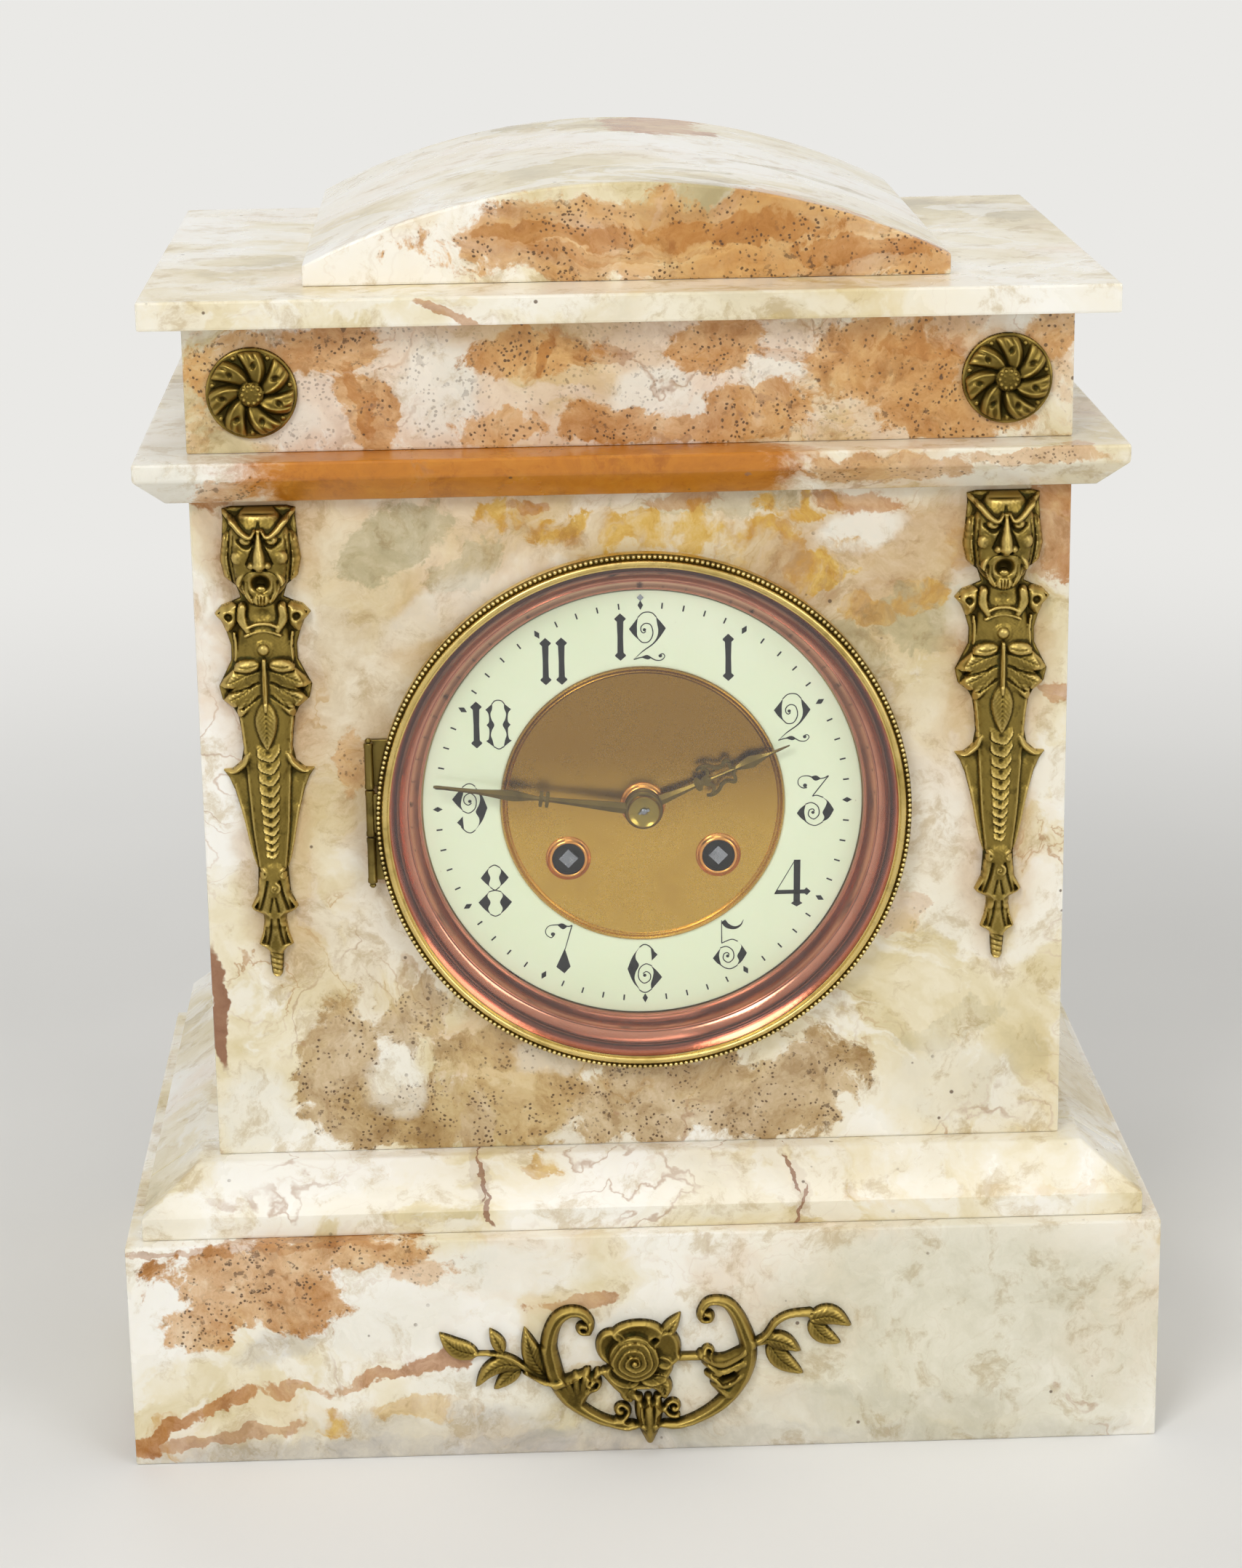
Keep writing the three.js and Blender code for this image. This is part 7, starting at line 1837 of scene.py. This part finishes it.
def minute_hand():
    front, back = low("minute_hand", 1), high("minute_hand", 1)
    hand = Build()
    place = hand_frame(MINUTE_ANGLE)
    ridged(hand, place, [(4.6, 1.5), (8, 1.4), (14, 1.1), (20, 0.8), (25.0, 0.62), (25.4, 0.75)], front, back)
    for u in (25.9, 27.6):
        ridged(hand, place, [(u - 0.5, 1.5), (u - 0.35, 2.15), (u + 0.35, 2.15), (u + 0.5, 1.5)], front,
               back, 0.25)
    ridged(hand, place,
           [(25.9, 0.9), (26.7, 0.65), (27.6, 0.9), (28.4, 0.5), (30.5, 0.75), (33.0, 1.25), (35.0, 1.5),
            (37.5, 1.35), (41, 0.95), (45, 0.62), (50, 0.5), (55.6, 0.45), (56.4, 0.25)], front, back)
    hand_boss(hand, 5.2, 2.2, front, back)
    settle(hand.piece("minute_hand_pierced", HAND, 25), "minute_hand", "hand_brass", "minute_hand")


def hour_hand():
    front, back = low("hour_hand", 1), high("hour_hand", 1)
    hand = Build()
    place = hand_frame(HOUR_ANGLE)
    ridged(hand, place, [(4.6, 1.45), (8, 1.2), (12, 0.85), (15.0, 0.65)], front, back)
    ridged(hand, place, [(15.0, 1.0), (15.5, 1.85), (16.4, 1.95), (16.9, 1.0)], front, back, 0.25)
    ridged(hand, place, [(16.6, 1.1), (17.2, 0.8), (18.0, 1.5), (18.7, 1.6), (19.3, 0.7), (19.8, 0.35)],
           front, back, 0.25)
    ridged(hand, place, [(19.5, 0.4), (23, 0.28), (26.8, 0.45)], front, back, 0.3)
    curl = [(18.9, 1.0), (19.6, 2.6), (18.2, 3.9), (16.9, 3.7)]
    scroll = [(16.9, 3.9), (18.4, 4.3), (20.4, 3.7), (21.9, 2.5), (23.6, 2.2), (25.2, 3.2), (25.9, 2.0),
              (25.6, 1.0), (26.9, 0.35)]
    for side in (-1, 1):
        for line, width in ((curl, [0.9, 0.7, 0.5]), (scroll, [0.35, 0.8, 0.95, 1.0, 0.8, 0.7])):
            outline = ribbon([(u, side * v) for u, v in line], width)
            hand.slab([place(u, v) for u, v in outline], front + 0.12, back)
    ridged(hand, place,
           [(26.2, 0.35), (27.4, 0.7), (29.6, 1.35), (31.4, 1.75), (33.0, 1.3), (35.4, 0.7), (37.2, 0.4),
            (40, 0.3), (42.5, 0.12)], front, back)
    hand_boss(hand, 5.2, 3.0, front, back)
    settle(hand.piece("hour_hand_pierced", HAND, 25), "hour_hand", "hand_brass", "hour_hand")


def collet_and_pin():
    """The dished collet on the minute hand, and the tapered pin through the arbor's end."""
    front, back = low("hand_collet", 1), high("hand_collet", 1)
    collet = Build().turned([(0.9, back), (0.9, front + 0.9), (1.2, front + 0.75), (2.4, front + 0.62),
                             (3.3, front + 0.42), (3.75, front + 0.15), (4.05, front), (4.3, front + 0.25),
                             (4.4, front + 0.6), (4.4, back)], 64)
    settle(collet.piece("hand_collet_dished", HAND_POLISHED, 40), "minute_hand", "hand_brass", "hand_collet")
    pin = Build().turned([(0, front + 0.05), (0.5, front + 0.1), (0.85, front + 0.35), (0.9, back),
                          (0, back)], 20)
    place = hand_frame(HOUR_ANGLE)
    taper = [place(u, v) for u, v in ((-1.5, -0.22), (1.5, -0.4), (1.5, 0.4), (-1.5, 0.22))]
    pin.slab(taper, front + 0.3, front + 0.85)
    settle(pin.piece("centre_pin", KEY_STEEL, 30), "minute_hand", "hand_brass")


numerals()
minute_hand()
hour_hand()
collet_and_pin()


# Rear ring and door, gong, pendulum and the movement's metals


# Measures of the ring and the door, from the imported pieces
RING_R = DIAL_X - low("rear_ring", 0)
RING_END = low("rear_ring", 1)
RIM = high("rear_ring", 1) if high("rear_ring", 1) < BACK + 2.5 else BACK + 2
BORE_R = RING_R - 6.3
DOOR_R = RING_R - 0.6
DOOR_FRONT = low("rear_door", 1)
DOOR_BACK = BACK + 4.3
KNOB_TOP = high("rear_door", 1)
HINGE_X = high("rear_door", 0) - 1.3
HINGE_Y = RIM + 1.15


def rear_knuckle(build, z0, z1):
    r = (high("rear_door", 0) - HINGE_X) * 0.98
    build.upright(HINGE_X, HINGE_Y,
                  [(r * 0.86, z0), (r, z0 + 0.3), (r, z0 + 1.3), (r * 0.9, z0 + 1.6), (r * 0.9, z1 - 1.6),
                   (r, z1 - 1.3), (r, z1 - 0.3), (r * 0.86, z1)])


def rear_ring():
    """Spun ring with its tube, two hinge knuckles and the straps."""
    ring = Build().turned([(BORE_R, RING_END), (BORE_R + 1.1, RING_END), (BORE_R + 1.1, BACK),
                           (RING_R, BACK), (RING_R, BACK + 0.9), (RING_R - 0.3, BACK + 1.3),
                           (RING_R - 0.9, RIM - 0.5), (RING_R - 1.5, RIM - 0.15), (RING_R - 2.0, RIM),
                           (BORE_R + 0.3, RIM), (BORE_R, RIM - 0.3)], 160)
    for i in (0, 2):
        z0, z1 = DIAL_Z - 18 + 12 * i + 0.15, DIAL_Z - 18 + 12 * (i + 1) - 0.15
        rear_knuckle(ring, z0, z1)
        ring.block((HINGE_X - 4.4, BACK, z0 + 0.1), (HINGE_X + 1.0, RIM, z1 - 0.1), 0.2)
    straps(ring, BORE_R + 0.6, RING_END, RING_END + 2.5)
    settle(ring.piece("rear_ring_spun", REAR_GILT, 40), "case", "gilt_brass", "rear_ring")


def rear_door():
    """The spun door with its mouldings and the middle knuckle."""
    edge = [(0.4, 0), (0, 0.3)]
    # Distance in from the door's edge, and depth under its back
    mouldings = [(0, 0.9), (0.3, 0.5), (0.8, 0.2), (1.4, 0.05), (2.2, 0), (3.0, 0.06), (3.5, 0.3),
                 (3.7, 0.6), (4.0, 0.6), (4.3, 0.3), (4.9, 0.12), (5.6, 0.3), (6.2, 0.7), (7.0, 0.85),
                 (9.2, 0.82), (9.4, 0.95), (9.6, 0.82), (14, 0.74)]
    profile = [(0, DOOR_FRONT)] + [(DOOR_R - inset, DOOR_FRONT + rise) for inset, rise in edge]
    profile += [(DOOR_R - inset, DOOR_BACK - depth) for inset, depth in mouldings]
    profile += [(r, DOOR_BACK - depth)
                for r, depth in ((20.5, 0.62), (20.3, 0.8), (20.1, 0.62), (10, 0.58), (0, 0.56))]
    door = Build().turned(profile, 192)
    rear_knuckle(door, DIAL_Z - 5.85, DIAL_Z + 5.85)
    door.block((DIAL_X + DOOR_R - 1.2, DOOR_FRONT + 0.3, DIAL_Z - 5.6),
               (HINGE_X, DOOR_BACK - 0.6, DIAL_Z + 5.6), 0.2)
    settle(door.piece("rear_door_spun", REAR_GILT, 40), "rear_door", "gilt_brass", "rear_door")


def rear_knob():
    shape = [(0, -0.9), (2.6, -0.9), (2.6, -0.4), (2.0, -0.1), (1.5, 0.5), (1.45, 1.2), (1.8, 1.6),
             (2.7, 2.0), (3.1, 2.6), (3.15, 3.2), (2.9, 3.9), (2.2, 4.5)]
    profile = [(r, DOOR_BACK + y) for r, y in shape] + [(1.2, KNOB_TOP - 0.1), (0, KNOB_TOP)]
    knob = Build().turned(profile, 40, DIAL_X - (DOOR_R - 10), DIAL_Z)
    settle(knob.piece("rear_door_knob", REAR_GILT, 40), "rear_door", "gilt_brass")


def rear_hinge_pin():
    above = [(0.5, DIAL_Z + 17.8), (0.9, DIAL_Z + 18.2), (0.95, DIAL_Z + 18.7), (0.5, DIAL_Z + 19.2)]
    below = [(0.5, DIAL_Z - 19.2), (0.95, DIAL_Z - 18.7), (0.9, DIAL_Z - 18.2), (0.5, DIAL_Z - 17.8)]
    pin = Build().upright(HINGE_X, HINGE_Y, above, 16)
    pin.upright(HINGE_X, HINGE_Y, below, 16)
    settle(pin.piece("rear_hinge_pin_ends", GILT_BEADS), "case", "gilt_brass")


def gong():
    """A coiled wire in three turns on a stepped foot."""
    y = (low("gong", 1) + high("gong", 1)) / 2
    foot = low("gong", 2)
    centre_z, outer, turns, pitch = DIAL_Z - 24, 36, 3, 7
    route = []
    for i in range(161):
        share = i / 160
        r, a = outer - pitch * turns * share, -math.pi / 2 + TURN * turns * share
        route.append((DIAL_X + r * math.cos(a), y, centre_z + r * math.sin(a)))
    wire = Build().tube(route, 1.15, 12)
    settle(wire.piece("gong_coil", BLUED, 50), "case", "steel", "gong")
    top = centre_z - outer + 2
    stand = Build().block((DIAL_X - 13, y - 7, foot), (DIAL_X + 13, y + 7, foot + 4), 0.6)
    stand.block((DIAL_X - 5, y - 4, foot + 4), (DIAL_X + 5, y + 4, foot + 6), 0.4)
    stand.block((DIAL_X - 4, y - 3, foot + 6), (DIAL_X + 4, y + 3, top), 0.4)
    settle(stand.piece("gong_stand", STEEL), "case", "steel")


def pendulum():
    """Spring strip, block, rod, lenticular bob with a rim, and the rating nut."""
    x = (low("pendulum", 0) + high("pendulum", 0)) / 2
    y = (low("pendulum", 1) + high("pendulum", 1)) / 2
    top, bottom = high("pendulum", 2), low("pendulum", 2)
    bob_z = bottom + 2.2 + 17
    half = (high("pendulum", 1) - low("pendulum", 1)) / 2
    hung = Build()
    hung.block((x - 1.5, y - 0.18, top - 9), (x + 1.5, y + 0.18, top), 0.02)
    hung.block((x - 3, y - 1.4, top - 11.7), (x + 3, y + 1.4, top - 7.7), 0.4)
    hung.upright(x, y, [(0.9, bob_z - 18.5), (0.9, top - 11.2)], 16)
    bob = [(0, y - half), (3, y - half + 0.05), (8, y - half * 0.86), (13, y - half * 0.6),
           (15.4, y - half * 0.42), (15.8, y - half * 0.46), (16.4, y - half * 0.42),
           (16.85, y - half * 0.25), (17, y)]
    bob += [(r, 2 * y - v) for r, v in bob[-2::-1]]
    hung.turned(bob, 96, x, bob_z)
    nut = [(1.2, bob_z - 19.2), (2.9, bob_z - 19.1), (3.15, bob_z - 18.8), (3.15, bob_z - 17.2),
           (2.9, bob_z - 16.9), (1.2, bob_z - 16.8)]
    hung.upright(x, y, nut, 32)
    settle(hung.piece("pendulum_rod_and_bob", BRASS, 35), "pendulum", "movement_brass", "pendulum")


rear_ring()
rear_door()
rear_knob()
rear_hinge_pin()
gong()
pendulum()

# The CAD's own shapes that stay, each with a metal of its slot
STEEL_NODES = ("click", "pallets", "hammer", "tie_screw", "winding_arbor", "regulator_arbor")
KEY_NODES = ("winding_arbor", "regulator_arbor")


def dress_movement():
    for name, node in NODES.items():
        if name == "base_core":
            continue
        if any(key in name for key in KEY_NODES):
            dress(node, KEY_STEEL)
        else:
            dress(node, STEEL if any(key in name for key in STEEL_NODES) else BRASS)


dress_movement()


# Camera, lights and room


# The camera as solved from the case's corners: metres, degrees and millimetres
EYE = (-0.03675, -1.00344, 0.45528)
YAW_PITCH_ROLL = (2.01, -16.25, -0.82)
LENS = 84.04
SENSOR = 36
FAR_END = 20


def camera():
    yaw, pitch, roll = (math.radians(v) for v in YAW_PITCH_ROLL)
    forward = Vector((math.sin(yaw) * math.cos(pitch), math.cos(yaw) * math.cos(pitch), math.sin(pitch)))
    right = Vector((math.cos(yaw), -math.sin(yaw), 0))
    up = right.cross(forward)
    across = right * math.cos(roll) + up * math.sin(roll)
    above = -right * math.sin(roll) + up * math.cos(roll)
    data = bpy.data.cameras.new("camera")
    data.sensor_width = SENSOR
    data.lens = LENS
    data.clip_end = FAR_END
    eye = linked("camera", data)
    turn = Matrix((across, above, -forward)).transposed()
    eye.matrix_world = Matrix.Translation(EYE) @ turn.to_4x4()
    bpy.context.scene.camera = eye


# Area lamps: name, place, aim and size in metres, power in watts
LAMPS = [
    ("key", (-0.75, -1.5, 1.35), (0, 0, 0.17), (0.7, 0.7), 15),
    ("fill", (1.1, -1.35, 0.75), (0, 0, 0.15), (0.8, 0.8), 7.5),
    ("top", (0.1, -0.2, 1.7), (0, 0, 0.2), (1.1, 0.8), 7.5),
    ("rear", (-0.5, 1.7, 0.9), (0, 0, 0.15), (0.9, 0.9), 5),
]


def lamp(name, place, aim, size, power):
    data = bpy.data.lights.new(name, "AREA")
    data.shape = "RECTANGLE"
    data.size, data.size_y = size
    data.energy = power
    lit = linked(name, data)
    lit.location = place
    lit.rotation_euler = (Vector(aim) - Vector(place)).to_track_quat("-Z", "Y").to_euler()
    lit.visible_glossy = name != "rear"


FLOOR_REACH = 40
WORLD_SHADES = [(0.0, 0.5), (0.42, 0.72), (0.55, 0.9), (0.75, 0.5), (1.0, 0.62)]
WORLD_STRENGTH = 0.55


def room():
    """The floor, and a world that lights in soft bands but looks pale and even to the camera."""
    verts = [(x * FLOOR_REACH, y * FLOOR_REACH, 0) for x, y in ((-1, -1), (1, -1), (1, 1), (-1, 1))]
    solid("floor", verts, [(0, 1, 2, 3)], floor_material())
    world = bpy.data.worlds.new("soft_room")
    bpy.context.scene.world = world
    n = Nodes("soft_room", world)
    height = n.span(n.axis(n.node("ShaderNodeTexCoord").outputs["Generated"], 2), -1, 1)
    shade = n.node("ShaderNodeBackground")
    n.put(shade.inputs[0], n.ramp(height, [(spot, (v, v, v * 0.985, 1)) for spot, v in WORLD_SHADES]))
    shade.inputs[1].default_value = WORLD_STRENGTH
    pale = n.node("ShaderNodeBackground")
    pale.inputs[0].default_value = rgb(PALE_ROOM)
    n.done(n.mixed(n.seen(), shade.outputs[0], pale.outputs[0]), "ShaderNodeOutputWorld")
    bpy.context.scene.view_settings.view_transform = "Standard"


camera()
room()
for each in LAMPS:
    lamp(*each)
